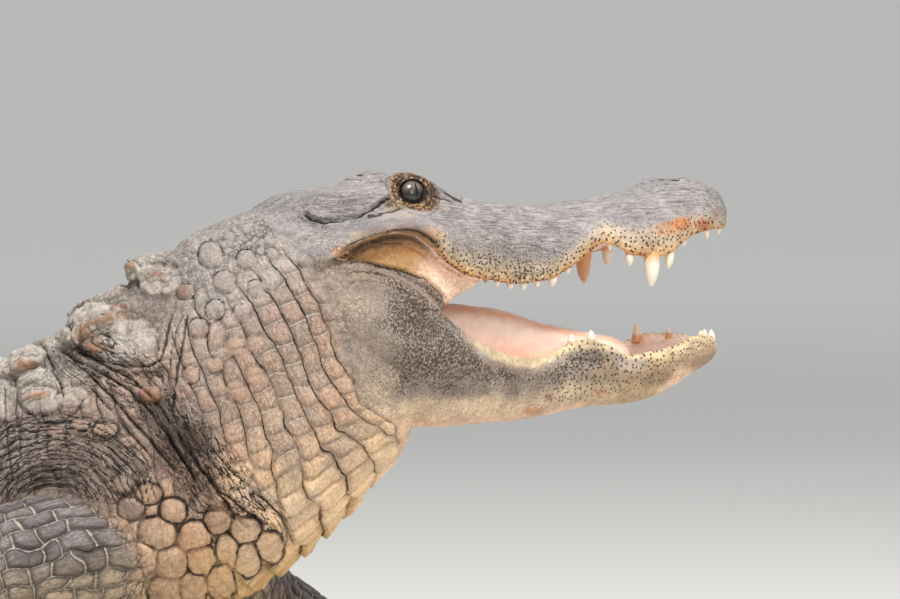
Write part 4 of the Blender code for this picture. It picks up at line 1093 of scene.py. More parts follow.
LIMBS = (
    Limb("fore_right", Side.RIGHT, False,
         ((0.590, 0.105, 0.172), (0.640, 0.185, 0.158), (0.725, 0.262, 0.122),
          (0.690, 0.300, 0.070), (0.655, 0.318, 0.018)), (0.066, 0.060, 0.048, 0.040, 0.029), 20.0),
    Limb("fore_left", Side.LEFT, False,
         ((0.590, 0.105, 0.165), (0.605, 0.190, 0.132), (0.590, 0.262, 0.092),
          (0.545, 0.288, 0.060), (0.500, 0.300, 0.018)), (0.066, 0.058, 0.046, 0.039, 0.029), 8.0),
    Limb("hind_right", Side.RIGHT, True,
         ((1.395, 0.080, 0.120), (1.345, 0.180, 0.130), (1.265, 0.272, 0.120),
          (1.345, 0.318, 0.072), (1.410, 0.338, 0.020)), (0.100, 0.090, 0.063, 0.047, 0.033), 22.0),
    Limb("hind_left", Side.LEFT, True,
         ((1.395, 0.080, 0.120), (1.365, 0.180, 0.128), (1.310, 0.282, 0.112),
          (1.400, 0.322, 0.070), (1.470, 0.330, 0.020)), (0.100, 0.090, 0.063, 0.047, 0.033), 14.0),
)


# ------------------------------------------------------------------------- materials
class Finish:
    """Builds one node material step by step, in plain steps."""

    def __init__(self, name: str, roughness: float, specular: float = 0.5) -> None:
        """Starts a material with that name, roughness and gloss."""
        self.material = bpy.data.materials.new(name)
        self.material.use_nodes = True
        self.tree = self.material.node_tree
        self.shader = self.tree.nodes["Principled BSDF"]
        self.shader.inputs["Roughness"].default_value = roughness
        self.shader.inputs["Specular IOR Level"].default_value = specular
        self.place = self._node("ShaderNodeTexCoord").outputs["Object"]

    def _node(self, kind: str, **settings: object) -> bpy.types.Node:
        """Adds a node and sets its properties."""
        node = self.tree.nodes.new(kind)
        for key, value in settings.items():
            setattr(node, key, value)
        return node

    def _feed(self, socket: bpy.types.NodeSocket, value: object) -> None:
        """Links a socket to another, or sets it to a number or a colour."""
        if isinstance(value, bpy.types.NodeSocket):
            self.tree.links.new(value, socket)
        elif isinstance(value, (tuple, list, np.ndarray)):
            wide = len(socket.default_value)
            socket.default_value = tuple(map(float, value)) + (1.0,) * (wide - len(value))
        else:
            socket.default_value = value

    def sum(self, kind: str, a: object, b: object = 0.0, c: object = 0.0,
            clamp: bool = False) -> bpy.types.NodeSocket:
        """Returns the outcome of one sum, such as ADD or MULTIPLY, on numbers or sockets."""
        node = self._node("ShaderNodeMath", operation=kind, use_clamp=clamp)
        for socket, value in zip(node.inputs, (a, b, c)):
            self._feed(socket, value)
        return node.outputs[0]

    def times(self, a: object, b: object, clamp: bool = False) -> bpy.types.NodeSocket:
        """Returns a times b, kept between 0 and 1 if clamp is set."""
        return self.sum("MULTIPLY", a, b, clamp=clamp)

    def times_plus(self, a: object, b: object, c: object) -> bpy.types.NodeSocket:
        """Returns a times b, plus c."""
        return self.sum("MULTIPLY_ADD", a, b, c)

    def rise(self, value: object, low: float, high: float) -> bpy.types.NodeSocket:
        """Returns a smooth rise from 0 at low to 1 at high."""
        node = self._node("ShaderNodeMapRange", interpolation_type="SMOOTHSTEP")
        for name, number in (("Value", value), ("From Min", low), ("From Max", high)):
            self._feed(node.inputs[name], number)
        return node.outputs[0]

    def fade(self, share: object, a: object, b: object, kind: str = "MIX") -> bpy.types.NodeSocket:
        """Returns colour a mixed with colour b by the share."""
        node = self._node("ShaderNodeMix", data_type="RGBA", blend_type=kind)
        self._feed(node.inputs[0], share)
        self._feed(node.inputs[6], a)
        self._feed(node.inputs[7], b)
        return node.outputs[2]

    def stretched(self, scale: Sequence[float], turn: float = 0.0) -> bpy.types.NodeSocket:
        """Returns the place turned about the upright and stretched along each axis."""
        turned = self._node("ShaderNodeVectorRotate", rotation_type="Z_AXIS")
        self._feed(turned.inputs["Vector"], self.place)
        turned.inputs["Angle"].default_value = turn
        node = self._node("ShaderNodeVectorMath", operation="MULTIPLY")
        self._feed(node.inputs[0], turned.outputs[0])
        self._feed(node.inputs[1], scale)
        return node.outputs[0]

    def noise(self, size: float, detail: float = 2.0, rough: float = 0.5, bend: float = 0.0,
              place: Optional[bpy.types.NodeSocket] = None) -> bpy.types.NodeSocket:
        """Returns soft random waves from 0 to 1, with lumps of that size."""
        node = self._node("ShaderNodeTexNoise")
        self._feed(node.inputs["Vector"], place or self.place)
        for key, value in (("Scale", 1 / size), ("Detail", detail), ("Roughness", rough),
                           ("Distortion", bend)):
            node.inputs[key].default_value = value
        return node.outputs["Fac"]

    def cells(self, size: float, feature: str = "F1",
              place: Optional[bpy.types.NodeSocket] = None,
              kind: str = "3D") -> bpy.types.NodeSocket:
        """Returns the distance from the middles or the borders of random cells of that size."""
        node = self._node("ShaderNodeTexVoronoi", feature=feature, voronoi_dimensions=kind)
        self._feed(node.inputs["Vector"], place or self.place)
        node.inputs["Scale"].default_value = 1 / size
        return node.outputs["Distance"]

    def joined(self, x: object, y: object, z: object = 0.0) -> bpy.types.NodeSocket:
        """Returns three numbers as one place."""
        node = self._node("ShaderNodeCombineXYZ")
        for socket, value in zip(node.inputs, (x, y, z)):
            self._feed(socket, value)
        return node.outputs[0]

    def gray(self, level: bpy.types.NodeSocket) -> bpy.types.NodeSocket:
        """Returns the level as a gray colour."""
        return self.joined(level, level, level)

    def seen_from_side(self, turn: float) -> bpy.types.NodeSocket:
        """Returns the place turned about the upright and pressed flat, as in a side drawing."""
        split = self._node("ShaderNodeSeparateXYZ")
        self._feed(split.inputs[0], self.stretched((1, 1, 1), turn))
        return self.joined(split.outputs[0], split.outputs[2])

    def bent(self, size: float, reach: float) -> bpy.types.NodeSocket:
        """Returns the place, bent by waves of that size and reach."""
        node = self._node("ShaderNodeTexNoise")
        self._feed(node.inputs["Vector"], self.place)
        node.inputs["Scale"].default_value = 1 / size
        move = self._node("ShaderNodeVectorMath", operation="MULTIPLY_ADD")
        self._feed(move.inputs[0], node.outputs["Color"])
        move.inputs[1].default_value = (reach, reach, reach)
        self._feed(move.inputs[2], self.place)
        return move.outputs[0]

    def field(self, name: str) -> bpy.types.Node:
        """Returns the node that reads a field stored on the mesh."""
        return self._node("ShaderNodeAttribute", attribute_name=name)

    def parts(self, name: str) -> Sequence[bpy.types.NodeSocket]:
        """Returns the three numbers of a field stored on the mesh."""
        split = self._node("ShaderNodeSeparateXYZ")
        self._feed(split.inputs[0], self.field(name).outputs["Vector"])
        return split.outputs

    def done(self, colour: object, roughness: object = None,
             height: object = None) -> bpy.types.Material:
        """Connects colour, roughness and height in millimetres, and returns the material."""
        self._feed(self.shader.inputs["Base Color"], colour)
        if roughness is not None:
            self._feed(self.shader.inputs["Roughness"], roughness)
        if height is not None:
            bump = self._node("ShaderNodeBump")
            bump.inputs["Strength"].default_value = 1.0
            bump.inputs["Distance"].default_value = MM
            self._feed(bump.inputs["Height"], height)
            self._feed(self.shader.inputs["Normal"], bump.outputs[0])
        return self.material


@dataclass(frozen=True)
class HideFinish:
    """The skin: its own colours, creases between the scales with painted shade, pores, speckles and
    fine lines.
    """

    # dark of the creases between the scales: partly the skin's own dark joints, partly painted
    # shade in the hollows
    crease: tuple = (36, 26, 20)
    crack: tuple = (66, 50, 42)
    seam: tuple = (212, 198, 180)
    pore: tuple = (30, 24, 22)
    speckle: tuple = (58, 45, 38)
    mottle: tuple = (20, 15, 12)
    pale_line: tuple = (196, 192, 190)
    dark_line: tuple = (66, 60, 60)
    crease_width: float = 0.85
    seam_width: float = 1.2
    edge_width: float = 1.3
    head_turn: float = math.radians(-22)
    # spacing, length and width of the coarse and the fine flowing creases
    creases: tuple = ((7.5, 42.0, 0.028), (3.6, 17.0, 0.034))

    def build(self) -> bpy.types.Material:
        """Returns the material."""
        f = Finish("hide", 0.55, 0.40)
        shake = f.sum("SUBTRACT", f.noise(0.005, 3.0, 0.6), 0.5)
        row, seam, edge = (f.times_plus(shake, jolt, f.sum("ABSOLUTE", part))
                           for part, jolt in zip(f.parts("lines"), (1.6, 1.8, 1.4)))
        row_ink, seam_ink, edge_ink = f.parts("inks")
        on_row = f.rise(row, self.crease_width, 0.1)
        on_seam = f.rise(seam, self.seam_width, 0.15)
        pale, dark = (f.sum("MAXIMUM", f.times(on_row, f.times(row_ink, -turn)),
                            f.times(on_seam, f.times(seam_ink, turn)), clamp=True)
                      for turn in (1.0, -1.0))
        on_row = f.sum("MAXIMUM", f.times(on_row, row_ink), 0.0)
        on_edge = f.times(f.rise(edge, self.edge_width, 0.1), edge_ink)
        lines = self._flow(f)
        # painted shade in the creases, read from the depth field and shaken by noise; it also
        # lowers the bump a little
        crease_shade = f.rise(f.times_plus(shake, 0.6, f.field("depth").outputs["Fac"]), 0.25, 0.80)
        shaded, grit, pit, streak, net = self._ground(f)
        # lays the pale seams, then the crease colour into the rows, edges, flowing lines and the
        # painted shade of the creases
        for part, share, colour in ((pale, 0.75, self.seam), (dark, 1.0, self.crease),
                                    (on_edge, 0.85, self.crease), (lines, 0.85, self.crease),
                                    (on_row, 0.92, self.crease), (crease_shade, 0.92, self.crease)):
            shaded = f.fade(f.times(part, share), shaded, rgb(*colour))
        height = f.times(grit, 1.2)
        for part, rise in ((on_row, -1.1), (on_edge, -0.7), (lines, -0.7), (pit, -0.5),
                           (net, -0.6), (streak, 1.6), (on_seam, -0.3), (crease_shade, -0.4)):
            height = f.times_plus(part, rise, height)
        wet = f.parts("skin")[2]
        return f.done(shaded, f.times_plus(wet, -0.20, f.times_plus(grit, 0.20, 0.46)), height)

    def _flow(self, f: Finish) -> bpy.types.NodeSocket:
        """Returns thin broken creases that run down the neck and round the limbs."""
        across, along, strength = f.parts("flow")
        total = 0.0
        for size, length, width in self.creases:
            place = f.joined(f.times(across, 1 / size), f.times(along, 1 / length))
            wave = f.noise(1.0, 2.0, 0.5, 0.5, place)
            far = f.sum("ABSOLUTE", f.sum("SUBTRACT", wave, 0.5))
            total = f.sum("MAXIMUM", f.rise(far, width, 0.002), total)
        return f.times(total, strength)

    def _ground(self, f: Finish) -> tuple[bpy.types.NodeSocket, ...]:
        """Returns the skin's colour between its creases, and the parts of its relief."""
        pores, specks, streaks = f.parts("marks")
        mottle, web, _ = f.parts("skin")
        grit = f.noise(0.0034, 4.0, 0.65)
        broad = f.noise(0.016, 3.0, 0.55)
        fine = f.noise(0.0013, 2.0, 0.6)
        level = f.times_plus(broad, 0.60, f.times_plus(grit, 1.45, -0.19))
        level = f.times_plus(fine, 0.34, level)
        shaded = f.fade(1.0, f.field("tone").outputs["Color"], f.gray(level), "MULTIPLY")
        net = self._net(f, f.times(web, f.rise(broad, 0.34, 0.60)))
        along = f.noise(1.0, 5.0, 0.62, 0.4, f.stretched((55, 520, 620), self.head_turn))
        streak = f.times(f.sum("SUBTRACT", along, 0.5), streaks)
        spots, dots = self._speckles(f, specks, pores)
        patchy = f.rise(f.noise(0.0032, 3.0, 0.6, 0.8), 0.40, 0.48)
        for share, colour in ((f.times(net, 0.72), self.crack),
                              (f.times(streak, 3.0, True), self.pale_line),
                              (f.times(streak, -4.6, True), self.dark_line),
                              (f.times(spots[0], 0.72), self.speckle),
                              (f.times(spots[1], 0.85), self.speckle),
                              (f.times(dots, 0.85), self.pore),
                              (f.times(patchy, mottle), self.mottle)):
            shaded = f.fade(share, shaded, rgb(*colour))
        return shaded, grit, dots, streak, net

    @staticmethod
    def _net(f: Finish, strength: bpy.types.NodeSocket) -> bpy.types.NodeSocket:
        """Returns the net of cracks between the smallest scales."""
        bend = f.bent(0.010, 0.005)
        coarse = f.rise(f.cells(0.0062, "DISTANCE_TO_EDGE", bend), 0.13, 0.02)
        small = f.rise(f.cells(0.0031, "DISTANCE_TO_EDGE", bend), 0.16, 0.02)
        return f.times(f.sum("MAXIMUM", coarse, f.times(small, 0.7)), strength)

    def _speckles(self, f: Finish, specks: bpy.types.NodeSocket,
                  pores: bpy.types.NodeSocket) -> tuple:
        """Returns the blotches and freckles of the jaws, as a pair, and the pores of the lips."""
        cloud = f.noise(0.026, 2.0, 0.5)
        spotted = f.times_plus(f.sum("SUBTRACT", cloud, 0.5), 0.30,
                               f.noise(0.0026, 3.0, 0.66, 0.3))
        limit = f.sum("SUBTRACT", spotted, f.times_plus(specks, -0.30, 0.76))
        blotches = f.times(f.rise(limit, -0.01, 0.05), f.rise(specks, 0.0, 0.15))
        drawn = f.seen_from_side(self.head_turn)
        reach = f.times(f.times_plus(cloud, 0.95, -0.15), specks)
        freckles = f.sum("SUBTRACT", f.cells(0.0031, "F1", drawn, "2D"), reach)
        freckles = f.times(f.rise(freckles, 0.05, -0.07), f.rise(specks, 0.2, 0.6))
        dots = f.sum("SUBTRACT", f.cells(0.0052, "F1", drawn, "2D"), f.times(pores, 0.21))
        return (blotches, freckles), f.times(f.rise(dots, 0.05, -0.05), f.rise(pores, 0.02, 0.2))


@dataclass(frozen=True)
class ToothFinish:
    """Ivory with a brown stain towards the gum; the same brown is painted shade on the far teeth.
    """

    ivory: tuple = (240, 231, 212)
    # brown of the stain at the gum, also used as painted shade on the far teeth
    stain_and_shade: tuple = (224, 158, 96)

    def build(self) -> bpy.types.Material:
        """Returns the material."""
        f = Finish("ivory", 0.28, 0.5)
        streaks = f.noise(1.0, 3.0, 0.6, 0.0, f.stretched((900, 900, 120)))
        # root holds the stain at the gum and, on the far teeth, painted shade
        share = f.times(f.field("root").outputs["Fac"], f.times_plus(streaks, 0.8, 0.5), True)
        colour = f.fade(share, rgb(*self.ivory), rgb(*self.stain_and_shade))
        return f.done(colour, f.times_plus(streaks, 0.15, 0.22), f.times(streaks, 0.12))


@dataclass(frozen=True)
class ClawFinish:
    """Dark horn with lengthwise streaks."""

    horn: tuple = (52, 44, 38)
    worn: tuple = (128, 112, 92)

    def build(self) -> bpy.types.Material:
        """Returns the material."""
        f = Finish("horn", 0.38, 0.5)
        streaks = f.noise(0.0022, 4.0, 0.6, 0.6)
        colour = f.fade(f.rise(streaks, 0.45, 0.75), rgb(*self.horn), rgb(*self.worn))
        return f.done(colour, f.times_plus(streaks, 0.3, 0.24), f.times(streaks, 0.3))


@dataclass(frozen=True)
class MouthFinish:
    """The moist pale pink of the tongue and the floor of the mouth."""

    pink: tuple = (244, 220, 206)
    deep: tuple = (238, 206, 190)
    edge: tuple = (236, 184, 142)

    def build(self) -> bpy.types.Material:
        """Returns the material."""
        f = Finish("mouth_lining", 0.34, 0.5)
        soft = f.noise(0.012, 3.0, 0.55)
        fine = f.noise(0.0018, 2.0, 0.5)
        pink = f.fade(f.rise(soft, 0.35, 0.7), rgb(*self.pink), rgb(*self.deep))
        rim = f.times(f.field("rim").outputs["Fac"], f.times_plus(soft, 0.6, 0.6), True)
        return f.done(f.fade(rim, pink, rgb(*self.edge)), f.times_plus(soft, 0.2, 0.26),
                      f.times_plus(fine, 0.18, f.times(soft, 0.8)))


@dataclass(frozen=True)
class EyeFinish:
    """A wet dark olive eye with a slit pupil, lighter above as a painted reflection."""

    # lighter colour of the eye's upper half: a painted reflection
    upper: tuple = (116, 102, 92)
    iris: tuple = (50, 47, 38)
    ring: tuple = (30, 29, 24)
    rim: tuple = (20, 17, 14)
    pupil: tuple = (0.002, 0.002, 0.002)

    def build(self) -> bpy.types.Material:
        """Returns the material."""
        f = Finish("eye", 0.10, 0.3)
        f.shader.inputs["Coat Weight"].default_value = 0.7
        f.shader.inputs["Coat Roughness"].default_value = 0.02
        out, slit, high = f.parts("gaze")
        rays = f.noise(0.0016, 3.0, 0.6, 0.8)
        iris = f.fade(rays, rgb(*self.iris), rgb(*self.ring))
        # painted reflection: the upper half is mixed towards the lighter colour
        above = f.rise(f.times_plus(rays, 0.3, high), 0.05, 0.50)
        iris = f.fade(above, iris, rgb(*self.upper))
        iris = f.fade(f.rise(out, 0.62, 0.80), iris, rgb(*self.rim))
        return f.done(f.fade(f.rise(slit, 0.10, 0.16), self.pupil, iris))


@dataclass(frozen=True)
class FloorFinish:
    """Plain pale studio paper, paler far away."""

    paper: tuple = (208, 207, 204)
    wall: tuple = (244, 243, 240)
    cloud: tuple = (200, 198, 194)

    def build(self) -> bpy.types.Material:
        """Returns the material."""
        f = Finish("studio_paper", 0.85, 0.2)
        colour = f.fade(f.field("far").outputs["Fac"], rgb(*self.paper), rgb(*self.wall))
        colour = f.fade(f.times(f.noise(0.4, 2.0, 0.5), 0.05), colour, rgb(*self.cloud))
        return f.done(colour, None, f.times(f.noise(0.004), 0.05))


# ------------------------------------------------------------------------- the hide
@dataclass(frozen=True)
class Groove:
    """A crease or slit, as a line of several stretches in the side drawing, in millimetres."""

    line: tuple
    width: float
    depth: float
    # dark is how much painted shade the groove gets
    dark: float = 0.8
    lips: float = 0.0
    taper: float = 0.12


@dataclass(frozen=True)
class Patch:
    """A soft patch of colour in the side drawing, in millimetres."""

    across: float
    down: float
    half_across: float
    half_down: float
    colour: tuple
    strength: float = 1.0
    ragged: float = 0.35


def grooves(*rows: tuple) -> tuple[Groove, ...]:
    """Returns grooves of rows that hold the line's numbers, then width, depth and so on."""
    return tuple(Groove(tuple(zip(line[::2], line[1::2])), *rest) for line, *rest in rows)


def patches(*rows: tuple) -> tuple[Patch, ...]:
    """Returns patches of rows of place, half sizes, the colour's three numbers and strength."""
    return tuple(Patch(*row[:4], row[4:7], row[7]) for row in rows)


@dataclass
class Hide:
    """The one skin of the whole animal: its form, its relief and its markings."""

    head: Head
    jaw: Jaw
    trunk: Trunk
    limbs: tuple
    eye: "Eye"
    fine_voxel: float = 0.0018
    coarse_voxel: float = 0.0029
    split_q: float = 0.80
    overlap: float = 0.06
    stitch: float = 0.003
    middle_height: float = 0.17
    # how often the corners are rounded fully, and then only gently
    soft_turns: int = 24
    last_turns: int = 2

    def build(self) -> bpy.types.Object:
        """Returns the finished skin."""
        whole = self._joined_mesh()
        mesh = whole.data
        self._soften(mesh)
        points = mesh_points(mesh)
        normals = mesh_normals(mesh)
        chart = SkinChart(points, normals, self)
        looks = HideLooks(chart, self)
        looks.paint()
        set_points(mesh, points + normals * looks.height[:, None] + looks.shift)
        for name, values in looks.fields().items():
            write_field(mesh, name, values)
        mesh.materials.append(HideFinish().build())
        HidePattern(chart).lay(mesh)
        mesh.shade_smooth()
        log.info("hide: %d points, %d faces", len(mesh.vertices), len(mesh.polygons))
        return whole

    def _remeshed(self, name: str, forms: Sequence[Form], voxel: float) -> bpy.types.Object:
        """Returns the closed forms as one skin of even faces."""
        made = mesh_piece(name, together(forms))
        melt = made.modifiers.new("One skin", "REMESH")
        melt.mode = "VOXEL"
        melt.voxel_size = voxel
        melt.adaptivity = 0.0
        bpy.context.view_layer.update()
        evaluated = made.evaluated_get(bpy.context.evaluated_depsgraph_get())
        mesh = bpy.data.meshes.new_from_object(evaluated)
        made.modifiers.clear()
        old = made.data
        made.data = mesh
        bpy.data.meshes.remove(old)
        log.info("%s: %d faces", name, len(mesh.polygons))
        return made

    def _joined_mesh(self) -> bpy.types.Object:
        """Returns the front and the rear of the skin, joined behind the shoulders."""
        front_forms = [self.head.form(), self.jaw.form(), *self.head.fold_forms(),
                       *self.eye.lid_forms()]
        front_forms += self.trunk.forms(self.trunk.neck_from, self.split_q + self.overlap, 0.003)
        rear_forms = self.trunk.forms(self.split_q - self.overlap, STANCE.tail_end, 0.004)
        rear_forms += self.trunk.crest_forms()
        for limb in self.limbs:
            (rear_forms if limb.hind else front_forms).extend(limb.forms())
        front = self._remeshed("front", front_forms, self.fine_voxel)
        rear = self._remeshed("rear", rear_forms, self.coarse_voxel * (1))
        x, y, heading = STANCE.plan(self.split_q)
        ahead = Vector((math.cos(heading), math.sin(heading), 0))
        cut = Vector((x, y, 0)) + Vector(STANCE.anchor)
        shape = bmesh.new()
        loops = []
        for obj, sign in ((front, 1), (rear, -1)):
            part = bmesh.new()
            part.from_mesh(obj.data)
            geometry = part.verts[:] + part.edges[:] + part.faces[:]
            bmesh.ops.bisect_plane(part, geom=geometry, clear_inner=sign > 0,
                                   clear_outer=sign < 0, plane_no=ahead,
                                   plane_co=cut + ahead * sign * self.stitch / 2)
            if sign > 0:
                self._refine(part)
            part.to_mesh(obj.data)
            part.free()
            shape.from_mesh(obj.data)
        shape.verts.index_update()
        middle = cut + Vector((0, 0, self.middle_height))
        across = Vector((-ahead.y, ahead.x, 0))
        for sign in (1, -1):
            ring = {v for e in shape.edges if e.is_boundary for v in e.verts
                    if (v.co - cut).dot(ahead) * sign > 0}
            loops.append(sorted(ring, key=lambda v: (math.atan2(
                (v.co - middle).z, (v.co - middle).dot(across)), v.index)))
        self._zip(shape, *loops)
        bmesh.ops.recalc_face_normals(shape, faces=shape.faces)
        mesh = bpy.data.meshes.new("hide")
        shape.to_mesh(mesh)
        shape.free()
        for obj in (front, rear):
            old = obj.data
            bpy.data.objects.remove(obj)
            bpy.data.meshes.remove(old)
        return added("hide", mesh)

    @staticmethod
    def _zip(shape: bmesh.types.BMesh, one: list, other: list) -> None:
        """Joins two rings of points round the same axis with a strip of triangles."""
        i = j = 0
        a, b = len(one), len(other)
        while i < a or j < b:
            if j * a <= i * b and j < b:
                corners = (one[i % a], other[j % b], other[(j + 1) % b])
                j += 1
            else:
                corners = (one[i % a], other[j % b], one[(i + 1) % a])
                i += 1
            if len(set(corners)) == 3:
                shape.faces.new(corners)

    def _refine(self, part: bmesh.types.BMesh) -> None:
        """Splits the faces round the eyes twice, where the lids need them."""
        for side in Side:
            middle = Vector(STANCE.from_head(np.array(self.eye.centre(side))) + STANCE.anchor)
            for reach in (0.034, 0.030):
                edges = [e for e in part.edges if (e.verts[0].co - middle).length < reach]
                bmesh.ops.subdivide_edges(part, edges=edges, cuts=1, use_grid_fill=True)

    def _soften(self, mesh: bpy.types.Mesh) -> None:
        """Rounds the corners where the limbs, the neck and the head meet."""
        points = mesh_points(mesh)
        count = len(points)
        edges = np.empty(2 * len(mesh.edges), np.int32)
        mesh.edges.foreach_get("vertices", edges)
        a, b = edges.reshape(-1, 2).T
        degree = np.bincount(np.concatenate([a, b]), minlength=count)
        where = self.trunk.locate(points)
        limb_off = np.min([limb.locate(points)["off"] for limb in self.limbs], axis=0)
        head = STANCE.to_head(points)
        weight = bell(where["off"], 0.022) * bell(limb_off, 0.022)
        behind = bell(head[:, 0] + 0.485, 0.030) * (head[:, 0] > -0.60)
        weight = np.maximum(weight, 0.8 * behind * bell(where["off"], 0.020))
        weight = np.clip(weight, 0.06, 1.0)
        pace = np.where(weight > 0.1, 0.9, 0.5)
        for turn in range(self.soft_turns + self.last_turns):
            push = weight if turn < self.soft_turns else np.minimum(weight, 0.3)
            sums = [np.bincount(a, column[b], count) + np.bincount(b, column[a], count)
                    for column in points.T]
            points += (np.stack(sums, axis=1) / degree[:, None] - points) * (push * pace)[:, None]
        set_points(mesh, points)


class SkinChart:
    """Where each point of the skin lies on the head, the body and the limbs."""

    def __init__(self, points: Array, normals: Array, hide: Hide) -> None:
        """Measures the points.

        Args:
            points: the skin's points in the animal's own frame.
            normals: the outward direction at each.
            hide: the skin that they belong to.
        """
        self.points, self.count = points, len(points)
        self.head = STANCE.to_head(points)
        self.head_normal = STANCE.to_head(normals)
        self.body = hide.trunk.locate(points)
        limbs = [limb.locate(points) for limb in hide.limbs]
        self.which = np.argmin([limb["off"] for limb in limbs], axis=0)
        pick = np.arange(self.count)
        self.limb = {key: np.array([limb[key] for limb in limbs])[self.which, pick]
                     for key in limbs[0]}
        x, y, z = self.head.T
        edge = np.interp(z, (0.25, 0.264, 0.287, 0.308, 0.37, 0.44, 0.47, 0.52),
                         (-0.375, -0.385, -0.400, -0.443, -0.462, -0.485, -0.500, -0.500))
        self.behind_head = x - edge
        self.on_head = ramp(-0.006, 0.006, self.behind_head) * (z > 0.25)
        twin = STANCE.from_head(np.column_stack([x, -np.abs(y), z]))
        drawn_head = STANCE.drawn(twin)
        drawn_body = STANCE.drawn(self.body["twin"])
        share = ramp(-0.03, 0.0, self.behind_head)[:, None] * (z > 0.25)[:, None]
        self.drawing = drawn_body * (1 - share) + drawn_head * share
        self.on_limb = ramp(0.0, 0.020, self.body["off"] - np.maximum(self.limb["off"], -0.004))
        self.on_limb *= (self.limb["off"] < 0.03) * (1 - self.on_head)
        self.on_foot = self.on_limb * ramp(0.060, 0.040, points[:, 2])
        gape = np.interp(x, (-0.50, -0.443, -0.36, -0.30, 0.0), (0.450, 0.447, 0.430, 0.405, 0.410))
        self.on_upper = self.on_head * (z > gape)
        self.on_lower = self.on_head * (z <= gape)
        self.upper_lip = z - hide.head.lip_z(x)
        self.lower_lip = hide.jaw.lip_z(x) - z
        down = ramp(0.10, -0.35, self.head_normal[:, 2])
        palate = (self.on_upper * ramp(0.0025, 0.0055, hide.head.lip_y(x) - np.abs(y)) * down
                  * (x > -0.46))
        up = ramp(-0.10, 0.30, self.head_normal[:, 2])
        floor = (self.on_lower * ramp(0.0015, 0.005, hide.jaw.lip_y(x) - np.abs(y)) * up
                 * (x > -0.46))
        self.in_mouth = np.clip(palate + floor, 0, 1)
        self.free = (1 - self.on_head) * (1 - self.on_limb) * (np.abs(self.body["off"]) < 0.03)


@dataclass(frozen=True)
class Sheet:
    """A sheet of the skin's flat pattern: its place on the map and what it spans."""

    left: float
    low: float
    wide: float
    high: float
    across: tuple
    along: tuple

    def place(self, across: Array, along: Array) -> Array:
        """Returns the places on the map of points with these two measures."""
        u = (across - self.across[0]) / (self.across[1] - self.across[0])
        v = (along - self.along[0]) / (self.along[1] - self.along[0])
        return np.column_stack([self.left + self.wide * u, self.low + self.high * v])


class Part(IntEnum):
    """The parts that the skin is cut into; the four legs and the four paws have four each."""

    SKULL = 0
    CHIN = 1
    PALATE = 2
    FLOOR = 3
    LINING = 4
    NECK = 5
    BACK = 6
    TAIL = 7
    LEGS = 8
    PAWS = 12


